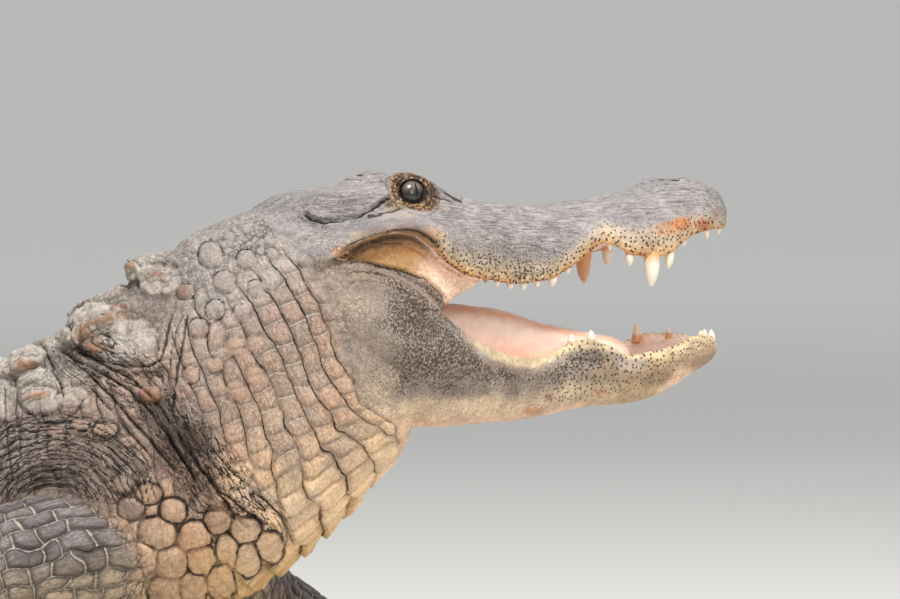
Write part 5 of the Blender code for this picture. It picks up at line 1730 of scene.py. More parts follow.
class HidePattern:
    """The skin cut into flat sheets that lie beside one another, for its map."""

    skull = Sheet(0.010, 0.010, 0.480, 0.440, (-0.235, 0.235), (-0.52, 0.01))
    chin = Sheet(0.510, 0.010, 0.480, 0.440, (-0.34, 0.34), (-0.52, 0.01))
    palate = Sheet(0.570, 0.465, 0.420, 0.075, (-0.53, 0.02), (-0.17, 0.17))
    floor = Sheet(0.570, 0.550, 0.420, 0.075, (-0.53, 0.02), (-0.17, 0.17))
    lining = Sheet(0.570, 0.635, 0.420, 0.045, (-0.53, 0.02), (0.23, 0.55))
    neck = Sheet(0.010, 0.465, 0.540, 0.215, (-0.62, 0.62), (0.37, 0.85))
    back = Sheet(0.010, 0.695, 0.330, 0.295, (-0.66, 0.66), (0.84, 1.76))
    tail = Sheet(0.350, 0.695, 0.170, 0.295, (-0.34, 0.34), (1.74, 3.22))
    # heights over the floor that the skull and the chin are measured from
    crown = 0.53
    chin_low = 0.25
    neck_to = 0.845
    back_to = 1.75

    def __init__(self, chart: SkinChart) -> None:
        """Sorts the points of the skin into the sheets."""
        c = self.chart = chart
        x, y, _ = c.head.T
        inward = c.head_normal[:, 1] * np.sign(y) < -0.35
        limb = (c.on_limb > 0.5) | ((c.limb["off"] < 0.02) & (c.body["off"] > 0.02))
        foot = limb & (c.points[:, 2] < 0.045)
        on_head, upper, mouth = c.on_head > 0.5, c.on_upper > 0.5, c.in_mouth > 0.5
        sorts = (
            (on_head & mouth & upper, Part.PALATE), (on_head & mouth, Part.FLOOR),
            (on_head & inward & (x > -0.46), Part.LINING), (on_head & upper, Part.SKULL),
            (on_head, Part.CHIN), (foot, Part.PAWS + c.which), (limb, Part.LEGS + c.which),
            (c.body["q"] < self.neck_to, Part.NECK), (c.body["q"] < self.back_to, Part.BACK),
        )
        self.kind = np.select([here for here, _ in sorts], [part for _, part in sorts], Part.TAIL)

    def lay(self, mesh: bpy.types.Mesh) -> None:
        """Writes the map of the skin."""
        c = self.chart
        corner = np.empty(len(mesh.loops), np.int32)
        mesh.loops.foreach_get("vertex_index", corner)
        start = np.empty(len(mesh.polygons), np.int32)
        mesh.polygons.foreach_get("loop_start", start)
        counts = np.diff(np.append(start, len(corner)))
        first = np.repeat(corner[start], counts)
        kind = self.kind[first]
        x, y, z = c.head[corner].T
        side = np.where(y == 0, np.sign(y[np.repeat(start, counts)]), np.sign(y))
        arc, under, q = (c.body[key][corner] for key in ("arc", "under", "q"))
        home = np.sign(c.body["arc"][first])
        beyond = (np.sign(arc) != home) & (under < np.abs(arc))
        arc = np.where(beyond, home * (np.abs(arc) + 2 * under), arc)
        turn = c.limb["around"][corner] - c.limb["around"][first]
        around = c.limb["around"][first] + (turn + math.pi) % math.tau - math.pi
        along = c.limb["along"][corner]
        uv = np.zeros((len(corner), 2))
        measures = {Part.SKULL: (self.skull, side * (np.abs(y) + self.crown - z), x),
                    Part.CHIN: (self.chin, side * (np.abs(y) + z - self.chin_low), x),
                    Part.PALATE: (self.palate, x, y), Part.FLOOR: (self.floor, x, y),
                    Part.LINING: (self.lining, x, z), Part.NECK: (self.neck, arc, q),
                    Part.BACK: (self.back, arc, q), Part.TAIL: (self.tail, arc, q)}
        for which in range(4):
            left = 0.535 + 0.115 * which
            leg = Sheet(left, 0.695, 0.105, 0.215, (-3.3, 3.3), (0.0, 0.43))
            paw = Sheet(left, 0.920, 0.105, 0.070, (-0.12, 0.12), (-0.12, 0.12))
            measures[Part.LEGS + which] = (leg, around, along)
            own = c.points[self.kind == Part.PAWS + which, :2]
            middle = (own.min(axis=0) + own.max(axis=0)) / 2 if len(own) else np.zeros(2)
            measures[Part.PAWS + which] = (paw, *(c.points[corner, :2] - middle).T)
        for number, (sheet, across, up) in measures.items():
            here = kind == number
            uv[here] = sheet.place(across[here], up[here])
        layer = mesh.uv_layers.new(name="OFBake")
        layer.data.foreach_set("uv", uv.astype(np.float32).ravel())


@dataclass(frozen=True)
class HideColours:
    """The screen colours that the skin is painted with, part by part."""

    bare: tuple = (172, 162, 154)
    flank: tuple = (168, 145, 129)
    peach: tuple = (208, 172, 142)
    cream: tuple = (246, 210, 166)
    honey: tuple = (222, 180, 118)
    ash: tuple = (146, 132, 124)
    dust: tuple = (186, 170, 156)
    rose: tuple = (170, 122, 102)
    stone: tuple = (150, 138, 130)
    back: tuple = (110, 103, 98)
    back_dark: tuple = (78, 72, 69)
    back_pale: tuple = (146, 136, 126)
    # the next two: a painted highlight on the tops of the tall keels, and painted shade at their
    # feet
    keel: tuple = (150, 142, 134)
    keel_foot: tuple = (74, 69, 66)
    belly: tuple = (198, 180, 146)
    bar: tuple = (80, 74, 70)
    knob: tuple = (142, 131, 124)
    knob_warm: tuple = (172, 140, 116)
    knob_bright: tuple = (214, 178, 146)
    knob_brown: tuple = (130, 98, 78)
    # dark brown of the gaps round the low knobs: painted shade
    knob_foot: tuple = (92, 62, 44)
    bed: tuple = (122, 108, 98)
    nape_plate: tuple = (184, 176, 166)
    plate: tuple = (184, 174, 164)
    pit: tuple = (112, 98, 88)
    worn_keel: tuple = (146, 110, 82)
    limb: tuple = (124, 116, 115)
    limb_below: tuple = (184, 162, 132)
    limb_brown: tuple = (122, 90, 70)
    foot: tuple = (112, 105, 104)
    head: tuple = (142, 135, 134)
    # painted light on the faces of the head that point up
    head_top: tuple = (154, 147, 145)
    jaw: tuple = (152, 137, 125)
    lip_band: tuple = (196, 174, 146)
    lip_low: tuple = (214, 172, 120)
    lip_edge: tuple = (206, 146, 84)
    jaw_rim: tuple = (212, 186, 155)
    jaw_edge: tuple = (222, 186, 154)
    jaw_front: tuple = (184, 156, 120)
    gum: tuple = (222, 200, 160)
    lining: tuple = (246, 216, 198)
    lining_warm: tuple = (232, 186, 150)
    fold: tuple = (178, 138, 92)
    fold_front: tuple = (236, 198, 172)
    fold_shade: tuple = (84, 58, 38)
    # orange rim along the lower edge of the painted shade under the fold's crease
    fold_shade_rim: tuple = (176, 112, 52)
    cheek: tuple = (146, 130, 118)
    # dark along the crease outside the corner of the mouth: painted shade
    corner: tuple = (92, 70, 54)
    lid: tuple = (174, 128, 82)
    lid_edge: tuple = (208, 180, 164)
    lid_line: tuple = (24, 17, 14)
    # near black of the slit between the lids and the eyeball: painted shade
    opening: tuple = (14, 11, 10)
    eye_corner: tuple = (22, 17, 15)
    brow: tuple = (190, 156, 112)


PAINT = HideColours()


class HideLooks:
    """The relief and the colours of the skin, worked out at each of its points."""

    # raised scales of the neck and chest in the side drawing: across, down, breadth, height, rise
    bosses: tuple = (
        (210, 254, 11, 11, 3.2), (246, 259, 9, 9, 3.4), (224, 282, 10, 10, 4.2),
        (256, 289, 8, 8, 2.8), (215, 310, 9, 9, 3.4), (241, 314, 8, 8, 2.8), (199, 328, 9, 9, 3.2),
        (185, 292, 8, 7, 4.0), (272, 254, 6, 6, 2.4), (306, 260, 8, 7, 2.4), (317, 275, 7, 5, 2.0),
        (288, 240, 5, 5, 2.2), (269, 240, 5, 5, 2.2), (246, 229, 5, 5, 2.2), (228, 236, 5, 5, 2.0),
        (234, 347, 9, 9, 2.2), (254, 344, 8, 8, 2.0), (215, 366, 8, 7, 2.6), (191, 375, 8, 8, 2.8),
        (151, 394, 10, 8, 6.0), (236, 392, 10, 9, 2.4), (255, 377, 9, 9, 2.0), (80, 425, 9, 6, 2.6),
        (106, 430, 12, 7, 3.0), (55, 432, 9, 6, 2.0), (128, 442, 9, 6, 2.0), (123, 484, 10, 9, 2.6),
        (149, 494, 12, 10, 3.2), (131, 508, 12, 10, 3.2), (173, 511, 13, 12, 3.6),
        (158, 533, 16, 15, 4.6), (195, 536, 15, 15, 4.6), (217, 522, 13, 11, 3.6),
        (141, 558, 15, 14, 4.2), (172, 563, 15, 14, 4.2), (200, 559, 13, 15, 4.0),
        (227, 548, 10, 14, 3.6), (245, 530, 15, 12, 3.2), (248, 558, 12, 15, 3.4),
        (164, 592, 15, 13, 3.8), (193, 588, 12, 15, 3.8), (221, 582, 12, 16, 3.6),
        (268, 545, 13, 14, 3.0),
    )
    # bony plates in the side drawing: across, down, half breadth, half height, rise
    plates: tuple = (
        (158, 281, 20, 16, 3.5), (131, 272, 8, 9, 3.0), (97, 330, 28, 26, 4.0),
        (134, 340, 22, 21, 3.0), (27, 363, 19, 18, 3.5), (38, 400, 20, 14, 3.5),
        (63, 335, 8, 9, 2.5), (4, 400, 8, 22, 3.0), (74, 398, 15, 10, 1.5),
    )
    # worn keels of the plates in the side drawing
    keels: tuple = (
        ((83, 339), (84, 331), (94, 325), (106, 321), (118, 315)),
        ((85, 343), (91, 351), (104, 356)), ((15, 371), (25, 364), (42, 362)),
        ((22, 403), (34, 396), (50, 394)), ((128, 268), (133, 266), (137, 270)),
        ((147, 281), (160, 277), (170, 279)), ((112, 312), (122, 306), (130, 307)),
    )
    # long folds of the neck in the side drawing
    neck_folds: tuple = grooves(
        ((50, 340, 62, 352, 84, 364, 106, 376, 130, 392, 150, 412, 170, 440, 190, 470, 201, 492),
         1.4, 4.0, 0.85, 1.2),
        ((66, 326, 72, 340, 84, 354, 106, 366, 126, 377, 145, 391, 160, 408, 175, 430, 197, 462,
          215, 490, 236, 516, 256, 536), 1.3, 3.6, 0.85, 1.2),
        ((68, 338, 78, 351, 100, 360, 126, 366, 148, 367, 161, 360, 166, 340, 170, 316, 176, 296),
         1.7, 3.6, 0.95, 0.8),
        ((62, 352, 88, 373, 110, 396, 130, 418, 150, 440, 166, 460, 184, 482), 1.7, 3.4, 0.95,
         0.8),
        ((84, 380, 108, 408, 126, 428, 146, 450, 160, 466), 1.4, 2.4, 0.8),
        ((160, 366, 164, 388, 172, 412, 184, 436, 200, 462), 1.7, 3.0, 0.9),
        ((200, 290, 187, 312, 184, 336, 179, 362, 174, 392, 172, 416, 181, 442, 197, 466, 219, 490,
          241, 508, 265, 523, 284, 538), 1.6, 3.2, 0.9, 0.8),
        ((193, 300, 178, 324, 172, 350, 170, 380, 166, 404), 1.2, 1.8, 0.7),
        ((193, 424, 212, 450, 232, 471, 257, 494, 277, 511, 293, 528), 1.4, 2.4, 0.85),
        ((176, 416, 190, 436, 200, 455, 211, 478, 225, 502, 236, 522), 1.3, 2.6, 0.85),
        ((150, 404, 162, 424, 176, 448, 192, 476, 206, 500), 1.3, 3.0, 0.85),
        ((168, 392, 180, 416, 194, 440, 212, 462, 230, 486), 1.4, 2.4, 0.85),
        ((40, 340, 52, 366, 60, 384, 64, 404), 1.5, 2.6, 0.85),
        ((88, 392, 76, 412, 58, 424, 36, 420, 22, 404), 1.3, 2.0, 0.7),
        ((14, 372, 16, 410, 20, 440, 22, 466), 1.3, 2.0, 0.7),
        ((6, 380, 6, 420, 10, 460, 14, 490), 1.3, 2.0, 0.7),
    )
    # soft shadows and colours of the neck in the side drawing
    neck_patches: tuple = patches(
        (176, 446, 34, 34, 62, 45, 36, 0.85), (156, 414, 28, 22, 84, 68, 58, 0.75),
        (100, 368, 34, 12, 104, 90, 80, 0.6), (84, 352, 20, 8, 92, 78, 68, 0.6),
        (198, 486, 26, 24, 96, 74, 60, 0.65), (226, 516, 30, 16, 142, 108, 84, 0.5),
        (46, 480, 44, 26, 76, 65, 60, 0.75), (100, 470, 60, 40, 124, 110, 102, 0.60),
        (24, 440, 40, 60, 146, 136, 130, 0.55), (60, 508, 80, 14, 104, 92, 86, 0.8),
        (151, 396, 11, 9, 150, 98, 70, 0.7), (185, 292, 9, 8, 146, 104, 78, 0.6),
        (88, 336, 16, 5, 164, 122, 86, 0.7), (98, 350, 12, 5, 160, 116, 80, 0.7),
        (116, 316, 14, 5, 158, 124, 96, 0.5), (30, 366, 14, 4, 196, 150, 118, 0.6),
        (40, 396, 14, 5, 200, 150, 112, 0.6), (195, 540, 22, 20, 196, 150, 116, 0.45),
        (212, 566, 26, 20, 214, 170, 118, 0.6), (170, 580, 40, 22, 198, 156, 118, 0.5),
        (108, 556, 20, 22, 120, 88, 68, 0.6),
    )
    # creases of the head in the side drawing
    head_folds: tuple = grooves(
        ((303, 213, 311, 219.5, 325, 222.5, 341, 221.5, 361, 216, 377, 207, 392, 196), 1.35, 5.0,
         1.0, 2.0, 0.04),
        ((344, 257, 355, 260, 380, 266, 405, 272, 425, 280, 438, 292, 446, 303), 1.5, 2.4, 0.8,
         1.6, 0.05),
        ((320, 218, 340, 216, 358, 211, 372, 203), 1.2, 1.0, 0.35),
        ((364, 218, 379, 213.5, 391, 211.5, 404, 207), 1.1, 1.8, 0.95),
        ((436, 187, 445, 192, 455, 198, 465, 202), 1.4, 1.8, 1.0),
        ((431, 196, 443, 199, 457, 202.5), 1.1, 1.2, 0.8),
        ((384, 177, 392, 171.5, 402, 169, 413, 170, 424, 174.5), 1.3, 0.8, 1.0),
        ((374, 178, 384, 182, 390, 190), 0.9, 0.8, 0.6),
        ((343, 250, 352, 243, 362, 238, 374, 234, 388, 231, 402, 230, 416, 232, 430, 240, 440,
          250), 1.9, 3.2, 0.95, 1.0),
        ((350, 252, 362, 244, 376, 240, 390, 237, 404, 237, 418, 241, 430, 250), 1.5, 2.2, 0.75),
        ((356, 254, 368, 247.5, 382, 244, 396, 243, 409, 245), 1.2, 1.6, 0.6),
        ((364, 257, 380, 252.5, 398, 252, 412, 257, 424, 268), 0.9, 1.1, 0.2),
        ((410, 244, 422, 254, 432, 268, 438, 284), 1.3, 1.8, 0.35),
        ((418, 243, 434, 256, 450, 268, 468, 276), 1.3, 1.2, 0.12),
        ((344, 266, 356, 261, 370, 264, 388, 268, 404, 273, 418, 279), 1.0, 1.5, 0.75),
        ((338, 276, 354, 271, 372, 272, 392, 275, 410, 281, 424, 290), 1.0, 1.4, 0.65),
        ((342, 286, 358, 280, 376, 281, 396, 286, 414, 293), 0.9, 1.2, 0.5),
        ((346, 294, 362, 289, 380, 291, 396, 296), 0.8, 1.0, 0.45),
        ((329, 262, 340, 258, 352, 259), 0.9, 1.0, 0.6),
        ((330, 270, 340, 268, 350, 268), 0.9, 1.0, 0.5),
        ((419, 310, 430, 309, 448, 312.5), 0.9, 1.6, 0.95),
        ((669, 180, 674, 178.6, 680, 179.4), 1.6, 3.0, 1.0),
        ((540, 204, 566, 208, 590, 206), 1.2, 0.6, 0.15),
        ((606, 250, 603, 246, 607, 243), 1.4, 1.6, 0.5),
    )
    # colours of the upper head in the side drawing, some of the darker ones painted shade
    upper_patches: tuple = patches(
        (345, 203, 52, 15, 136, 130, 130, 0.6), (390, 224, 70, 9, 126, 121, 125, 0.8),
        (322, 240, 34, 12, 166, 156, 150, 0.7), (336, 251, 9, 5, 206, 134, 88, 0.7),
        (474, 232, 40, 22, 134, 124, 120, 0.6), (500, 250, 50, 14, 132, 120, 112, 0.5),
        (682, 224, 12, 7, 196, 122, 66, 0.85), (702, 224, 10, 7, 178, 110, 62, 0.8),
        (668, 230, 12, 8, 206, 148, 98, 0.6), (716, 212, 8, 12, 158, 130, 112, 0.6),
        (603, 247, 12, 7, 212, 150, 84, 0.7), (600, 215, 60, 10, 140, 134, 136, 0.5),
        (436, 234, 12, 10, 196, 156, 116, 0.5), (654, 186, 26, 10, 146, 140, 144, 0.5),
    )
    # colours of the lower jaw in the side drawing, some of the darker ones painted shade
    lower_patches: tuple = patches(
        (352, 315, 30, 22, 178, 160, 142, 0.75), (352, 278, 34, 12, 150, 132, 116, 0.6),
        (410, 318, 50, 26, 136, 125, 116, 0.6), (420, 360, 60, 30, 150, 134, 120, 0.6),
        (470, 330, 26, 10, 160, 156, 154, 0.75), (505, 352, 30, 9, 158, 154, 152, 0.7),
        (470, 390, 44, 12, 128, 114, 104, 0.5), (525, 376, 70, 16, 130, 115, 102, 0.7),
        (592, 354, 24, 16, 120, 108, 100, 0.75), (600, 376, 40, 12, 156, 138, 118, 0.5),
        (655, 356, 40, 8, 206, 180, 132, 0.5), (640, 376, 50, 9, 150, 124, 98, 0.6),
        (690, 362, 22, 9, 156, 124, 96, 0.6), (640, 342, 26, 5, 206, 134, 84, 0.6),
        (372, 388, 30, 20, 196, 172, 142, 0.4), (545, 350, 40, 6, 222, 198, 146, 0.5),
        (600, 392, 10, 5, 196, 132, 92, 0.5), (532, 411, 9, 4, 196, 132, 92, 0.6),
        (690, 350, 16, 10, 212, 186, 152, 0.5), (548, 397, 5, 4, 120, 62, 40, 0.6),
    )

    # size and seed of the three random waves that make everything uneven
    waves: tuple = ((0.060, 11), (0.019, 12), (0.0075, 13))
    # breadth of the pebbly scales between the rows, and of those of the feet
    pebble: float = 0.0088
    foot_pebble: float = 0.0125
    limb_rows: int = 21
    # middle of the arm's root in the side drawing
    arm: tuple = (52, 516)

    def __init__(self, chart: SkinChart, hide: Hide) -> None:
        """Starts with a bare skin.

        Args:
            chart: where the skin's points lie.
            hide: the skin.
        """
        self.chart, self.hide = chart, hide
        n = chart.count
        # height of the relief, and the painted shade of the creases, which the finish reads as the
        # depth field
        self.height, self.deep = np.zeros((2, n))
        self.tone = np.tile(rgb(*PAINT.bare), (n, 1))
        self.lines = np.full((n, 3), 9.0)
        self.shift, self.inks, self.flow, self.marks, self.skin = np.zeros((5, n, 3))
        self.wave, self.ripple, self.grit = (grain(chart.points, *wave) for wave in self.waves)
        # where the rows, the bare top of the neck, the plates' bed and the throat are, and what
        # the scales are like there
        self.laid = self.top = self.bed = self.throat = self.neck = self.raised = np.zeros(n)
        self.chance = self.box = np.zeros(n)

    def fields(self) -> dict[str, Array]:
        """Returns the fields that the finish reads."""
        return {"tone": np.clip(self.tone, 0, 1), "depth": np.clip(self.deep, 0, 1),
                "lines": self.lines, "inks": self.inks, "flow": self.flow,
                "marks": np.clip(self.marks, 0, 1), "skin": np.clip(self.skin, 0, 1)}

    def darken(self, share: Array, some: object = slice(None)) -> None:
        """Deepens the shade of creases to a share for each point, or for some of them."""
        self.deep[some] = np.maximum(self.deep[some], share)

    def tint(self, colour: tuple, share: Array, some: object = slice(None)) -> None:
        """Mixes a screen colour into the skin by a share for each point, or for some of them."""
        share = np.clip(share, 0, 1)[:, None]
        self.tone[some] = self.tone[some] * (1 - share) + rgb(*colour) * share

    def spread(self, patches: Sequence[Patch], where: Array) -> None:
        """Tints the skin with ragged patches laid out in the side drawing."""
        drawing = self.chart.drawing
        for patch in patches:
            reach = np.array((patch.half_across, patch.half_down))
            far = (drawing - (patch.across, patch.down)) / reach
            near = np.flatnonzero((np.abs(far) < 1.7).all(axis=1) & (where > 0.01))
            ragged = patch.ragged * (0.6 * self.wave[near] + self.ripple[near])
            share = ramp(1.25, 0.40, np.linalg.norm(far[near], axis=1) + ragged)
            self.tint(patch.colour, patch.strength * share * where[near], near)

    def carve(self, groove: Groove, where: Array) -> None:
        """Presses a groove that is laid out in the side drawing into some of the skin."""
        drawing = self.chart.drawing
        low = np.min(groove.line, axis=0) - 6 * groove.width
        high = np.max(groove.line, axis=0) + 6 * groove.width
        near = np.flatnonzero(((drawing > low) & (drawing < high)).all(axis=1) & (where > 0.01))
        if not len(near):
            return
        shaken = drawing[near] + 1.2 * np.column_stack([self.ripple[near], self.grit[near]])
        distance, along = line_distance(shaken, groove.line)
        ends = ramp(0, groove.taper, along) * ramp(1, 1 - groove.taper, along) * where[near]
        share = bell(distance, groove.width * (1 + 0.35 * self.ripple[near])) * ends
        lips = bell(distance - 2.4 * groove.width, 1.1 * groove.width) * ends
        self.height[near] += (groove.lips * lips - groove.depth * share) * MM
        broken = ramp(-1.1, 0.0, self.ripple[near] + 0.5 * self.grit[near])
        broken = np.maximum(broken, self.chart.on_head[near])
        # painted shade in the groove
        self.darken(groove.dark * ramp(0.25, 0.85, share) * broken, near)

    def paint(self) -> None:
        """Works out the whole skin, part by part."""
        self._body_scales()
        self._body_pebbles()
        self._body_colours()
        self._neck()
        self._shoulder()
        self._limb_scales()
        self._head_colours()
        self._head_relief()
        self._mouth()
        self._eyes()

    # ---- body
    def _body_scales(self) -> None:
        """Lays the rows of scales of the neck, trunk and tail."""
        c, trunk = self.chart, self.hide.trunk
        body = c.body
        q, arc, under = body["q"], np.abs(body["arc"]), body["under"]
        low = under / np.maximum(arc + under, 1e-4)
        fan = 0.5 * ramp(0.52, 0.20, low) * ramp(0.66, 0.60, q)
        rows = trunk.rows(q)
        rows += fan * (9 - rows) + 0.26 * self.wave + 0.20 * self.ripple + 0.05 * self.grit
        pitch = trunk.pitch(q) / (1 - fan)
        width = 0.0215 + 0.004 * ramp(0.64, 0.78, q)
        fr, fc, chance, wave_r, wave_c = tiles(
            rows, (arc + 0.0042 * self.ripple + 0.001 * self.grit) / width
            + 40 * (body["arc"] < 0), 21)
        top = ramp(0.150, 0.105, arc + 0.015 * self.wave) * ramp(0.600, 0.575, q)
        bed = ramp(0.570, 0.590, q) * ramp(0.775, 0.755, q) * ramp(0.185, 0.150, arc)
        laid = (1 - c.on_head) * (1 - c.on_limb) * (1 - top) * (1 - bed)
        laid *= ramp(0.012, 0.006, body["off"])
        laid *= 1 - ramp(0.76, 0.78, q) * ramp(1.60, 1.50, q) * ramp(0.20, 0.17, arc)
        throat = ramp(0.21, 0.09, under) * ramp(0.66, 0.60, q)
        neck = ramp(0.74, 0.66, q)
        box = (np.abs(fr) ** 3 + np.abs(fc) ** 3) ** (1 / 3)
        pillow = 0.55 * ramp(1.0, 0.62, box) + 0.45 * (1 - 0.5 * (fr * fr + fc * fc))
        step = 0.5 + 0.5 * fr
        tall = (2.2 + 1.2 * chance) * (0.55 + 0.45 * neck)
        flap = 7.5 * ramp(0.50, 0.525, q) * throat * step**1.8
        flap *= ramp(1.0, 0.90, fr) * ramp(1.0, 0.85, np.abs(fc))
        self.height += laid * (tall * pillow + flap - 0.9) * MM
        self.lines[:, 0] = wave_r * pitch * 1000 / math.pi
        self.lines[:, 1] = wave_c * width * 1000 / math.pi
        self.inks[:, 0] = laid * (0.95 - 0.3 * throat) * ramp(-1.2, 0.2, self.wave - self.ripple)
        self.inks[:, 1] = laid * (neck * (0.85 * (1 - throat) - 0.75 * throat) + 0.3 * (1 - neck))
        self.inks[:, 1] *= ramp(-0.9, 0.2, self.ripple + 0.6 * self.wave)
        strength = 0.36 * (1 - c.on_head) * neck * (1 - throat) * (1 - c.on_limb)
        self.flow = np.column_stack([rows * 17.5, arc * 1000, strength])
        self.chance, self.laid, self.top, self.bed = chance, laid, top, bed
        self.throat, self.neck, self.box = throat, neck, box

    def _body_pebbles(self) -> None:
        """Lays the small scales of the nape and between the plates."""
        c = self.chart
        nape = c.on_head * ramp(-0.435, -0.470, c.head[:, 0] + 0.01 * self.wave)
        share = np.maximum(np.maximum(self.top, self.bed) * (1 - c.on_head), nape)
        share *= 1 - c.on_limb
        loose = np.flatnonzero(share > 0.01)
        share = share[loose]
        edge, tone = pebbles(c.points[loose], self.pebble, 41)
        self.height[loose] += share * (1.3 * ramp(0.0, 0.30, edge) * (0.5 + tone) - 0.6) * MM
        self.lines[loose, 2] = edge * self.pebble * 1500
        self.inks[loose, 2] = 0.75 * share * ramp(-0.4, 0.5, self.ripple[loose])

    def _body_colours(self) -> None:
        """Colours the neck, throat, trunk and tail."""
        c = self.chart
        q, arc, under = c.body["q"], np.abs(c.body["arc"]), c.body["under"]
        low = under / np.maximum(arc + under, 1e-4) + 0.04 * self.wave
        side = ramp(0.12, 0.20, arc + 0.02 * self.wave)
        self.tint(PAINT.flank, 0.9 * side)
        self.tint(PAINT.peach, ramp(0.32, 0.16, under + 0.035 * self.wave))
        self.tint(PAINT.cream, ramp(0.22, 0.12, under + 0.025 * self.wave))
        chest = ramp(0.47, 0.60, q) * ramp(0.9, 0.8, q)
        self.tint(PAINT.honey, ramp(0.12, 0.04, under) * chest)
        self.tone *= (1 + 0.20 * (self.chance - 0.5) * self.laid)[:, None]
        cloud = grain(c.points, 0.042, 15) + 0.5 * self.ripple
        # painted shade: each scale darker towards its edges, less so on the throat
        painted_edge_shade = 0.40 * self.laid * (1 - 0.5 * self.throat) * ramp(0.62, 1.05, self.box)
        self.tone *= (1 - painted_edge_shade)[:, None]
        self.tint(PAINT.ash, 0.50 * side * ramp(0.0, 0.9, cloud) * ramp(0.08, 0.18, under))
        self.tint(PAINT.dust, 0.50 * side * ramp(0.0, -0.9, cloud) * ramp(0.06, 0.14, under))
        rosy = self.laid * ramp(0.62, 0.9, self.chance) * side * ramp(0.08, 0.16, under)
        self.tint(PAINT.rose, 0.28 * rosy * ramp(1.0, 0.5, self.box))
        ashy = self.laid * ramp(0.32, 0.1, self.chance) * side * ramp(0.06, 0.14, under)
        self.tint(PAINT.stone, 0.22 * ashy * ramp(1.05, 0.6, self.box))
        dim = ramp(0.67, 1.02, q + 0.03 * self.wave)
        back = dim * ramp(0.24, 0.36, low)
        self.tint(PAINT.back, back * 0.92)
        self.tint(PAINT.back_dark, 0.45 * back * ramp(0.0, 0.9, cloud))
        self.tint(PAINT.back_pale, 0.40 * back * ramp(-0.2, -1.0, cloud))
        keel = self.hide.trunk.relief(c.body["q"], c.body["arc"]) * 1000
        # painted highlight on the tops of the tall keels, and painted shade where the relief is low
        # between the scutes
        self.tint(PAINT.keel, 0.45 * back * ramp(6.0, 12.0, keel))
        self.tint(PAINT.keel_foot, 0.55 * back * ramp(3.0, 0.5, keel) * ramp(0.20, 0.15, arc))
        self.tint(PAINT.belly, dim * ramp(0.28, 0.18, low))
        bars = ramp(-0.1, 0.5, np.sin(q * 26 + 3 * self.wave)) * ramp(1.5, 1.8, q)
        self.tint(PAINT.bar, 0.45 * bars * ramp(0.10, 0.22, low))
        flank = side * (1 - self.throat)
        web = np.maximum(0.90 * self.top, np.maximum(0.50 * self.laid * flank, 0.65 * self.bed))
        web = np.maximum(web * self.neck, 0.95 * flank * ramp(0.62, 0.67, q))
        self.skin[:, 1] = web * ramp(0.95, 0.80, q)
        self.marks[:, 1] = 0.35 * self.bed + 0.20 * self.laid * flank

    def _neck(self) -> None:
        """Raises the knobs of the neck and chest and presses the long folds between them."""
        c = self.chart
        across, down = c.drawing.T
        below = down - (492 + 0.42 * (across - 150))
        chest = ramp(-16, 6, below + 6 * self.wave) * ramp(100, 120, across) * c.free
        chest *= ramp(0.72, 0.66, c.body["q"]) * ramp(300, 284, across)
        self.height -= chest * MM
        self.inks[:, :2] *= (1 - chest)[:, None]
        first, second = np.full((2, c.count), 9.0)
        rise = np.zeros(c.count)
        for *middle, wide, high, lift in self.bosses:
            far = (c.drawing - middle) / (wide, high)
            near = np.flatnonzero((np.abs(far) < 2.2).all(axis=1) & (c.free > 0.01))
            lump = np.sum(np.abs(far[near]) ** 2.4, axis=1) ** (1 / 2.4)
            lump = lump + 0.12 * self.ripple[near] + 0.06 * self.grit[near]
            closer = lump < first[near]
            second[near] = np.where(closer, first[near], np.minimum(second[near], lump))
            first[near] = np.where(closer, lump, first[near])
            rise[near] = np.where(closer, lift, rise[near])
        gap = np.minimum(second, 1.22) - first
        inner = ramp(0.02, 0.30, gap) * ramp(1.12, 0.85, first) * c.free
        foot = np.maximum(ramp(0.30, 0.05, np.abs(gap)) * (first < 1.3), bell(first - 1.12, 0.07))
        foot *= c.free
        up = np.sqrt(np.clip(1 - (first / 1.1) ** 2, 0, 1)) * rise * MM
        self.height = self.height * (1 - 0.8 * inner) + up * inner - 0.0011 * foot
        broken = ramp(-0.9, 0.5, self.ripple + 0.5 * self.grit)
        # painted shade round the feet of the knobs
        self.deep = np.maximum(self.deep * (1 - inner), (0.30 + 0.60 * broken) * foot
                               * ramp(1.5, 3.0, rise) * ramp(-0.2, 0.2, 1.3 - first))
        self.inks *= (1 - inner)[:, None]
        self.flow[:, 2] *= 1 - 0.7 * inner
        self.skin[:, 1] *= 1 - 0.5 * inner
        self.tint(PAINT.knob, 0.55 * inner * (down <= 330))
        self.tint(PAINT.knob_warm, 0.4 * inner * (down > 330))
        low = c.free * ramp(470, 500, down)
        self.tint(PAINT.knob_bright, 0.45 * inner * low * ramp(0.7, 0.2, first - 0.4 * self.ripple))
        self.tint(PAINT.knob_brown, 0.6 * inner * low * ramp(0.35, 1.0, self.wave + self.ripple))
        # painted shade in the gaps round the low knobs
        self.tint(PAINT.knob_foot, 0.7 * foot * low * (1 - inner))
        self.raised = inner
        self._plates()
        self.spread(self.neck_patches, c.free)
        for fold in self.neck_folds:
            self.carve(fold, c.free)
        away, along = line_distance(c.drawing, self.neck_folds[1].line)
        near = ramp(48, 20, away + 8 * self.wave) * c.free * ramp(0.0, 0.12, along)
        self._creased(near, away, 420 * along)

    def _creased(self, where: Array, across: Array, along: Array) -> None:
        """Lays thin creases along a direction in place of the scales' own."""
        where = where * (1 - self.raised)
        self.inks[:, :2] *= (1 - 0.8 * where)[:, None]
        here = where > 0.5
        self.flow[here, 0], self.flow[here, 1] = across[here], along[here]
        self.flow[:, 2] = np.where(here, 2 * where - 0.6, self.flow[:, 2] * (1 - 2 * where))

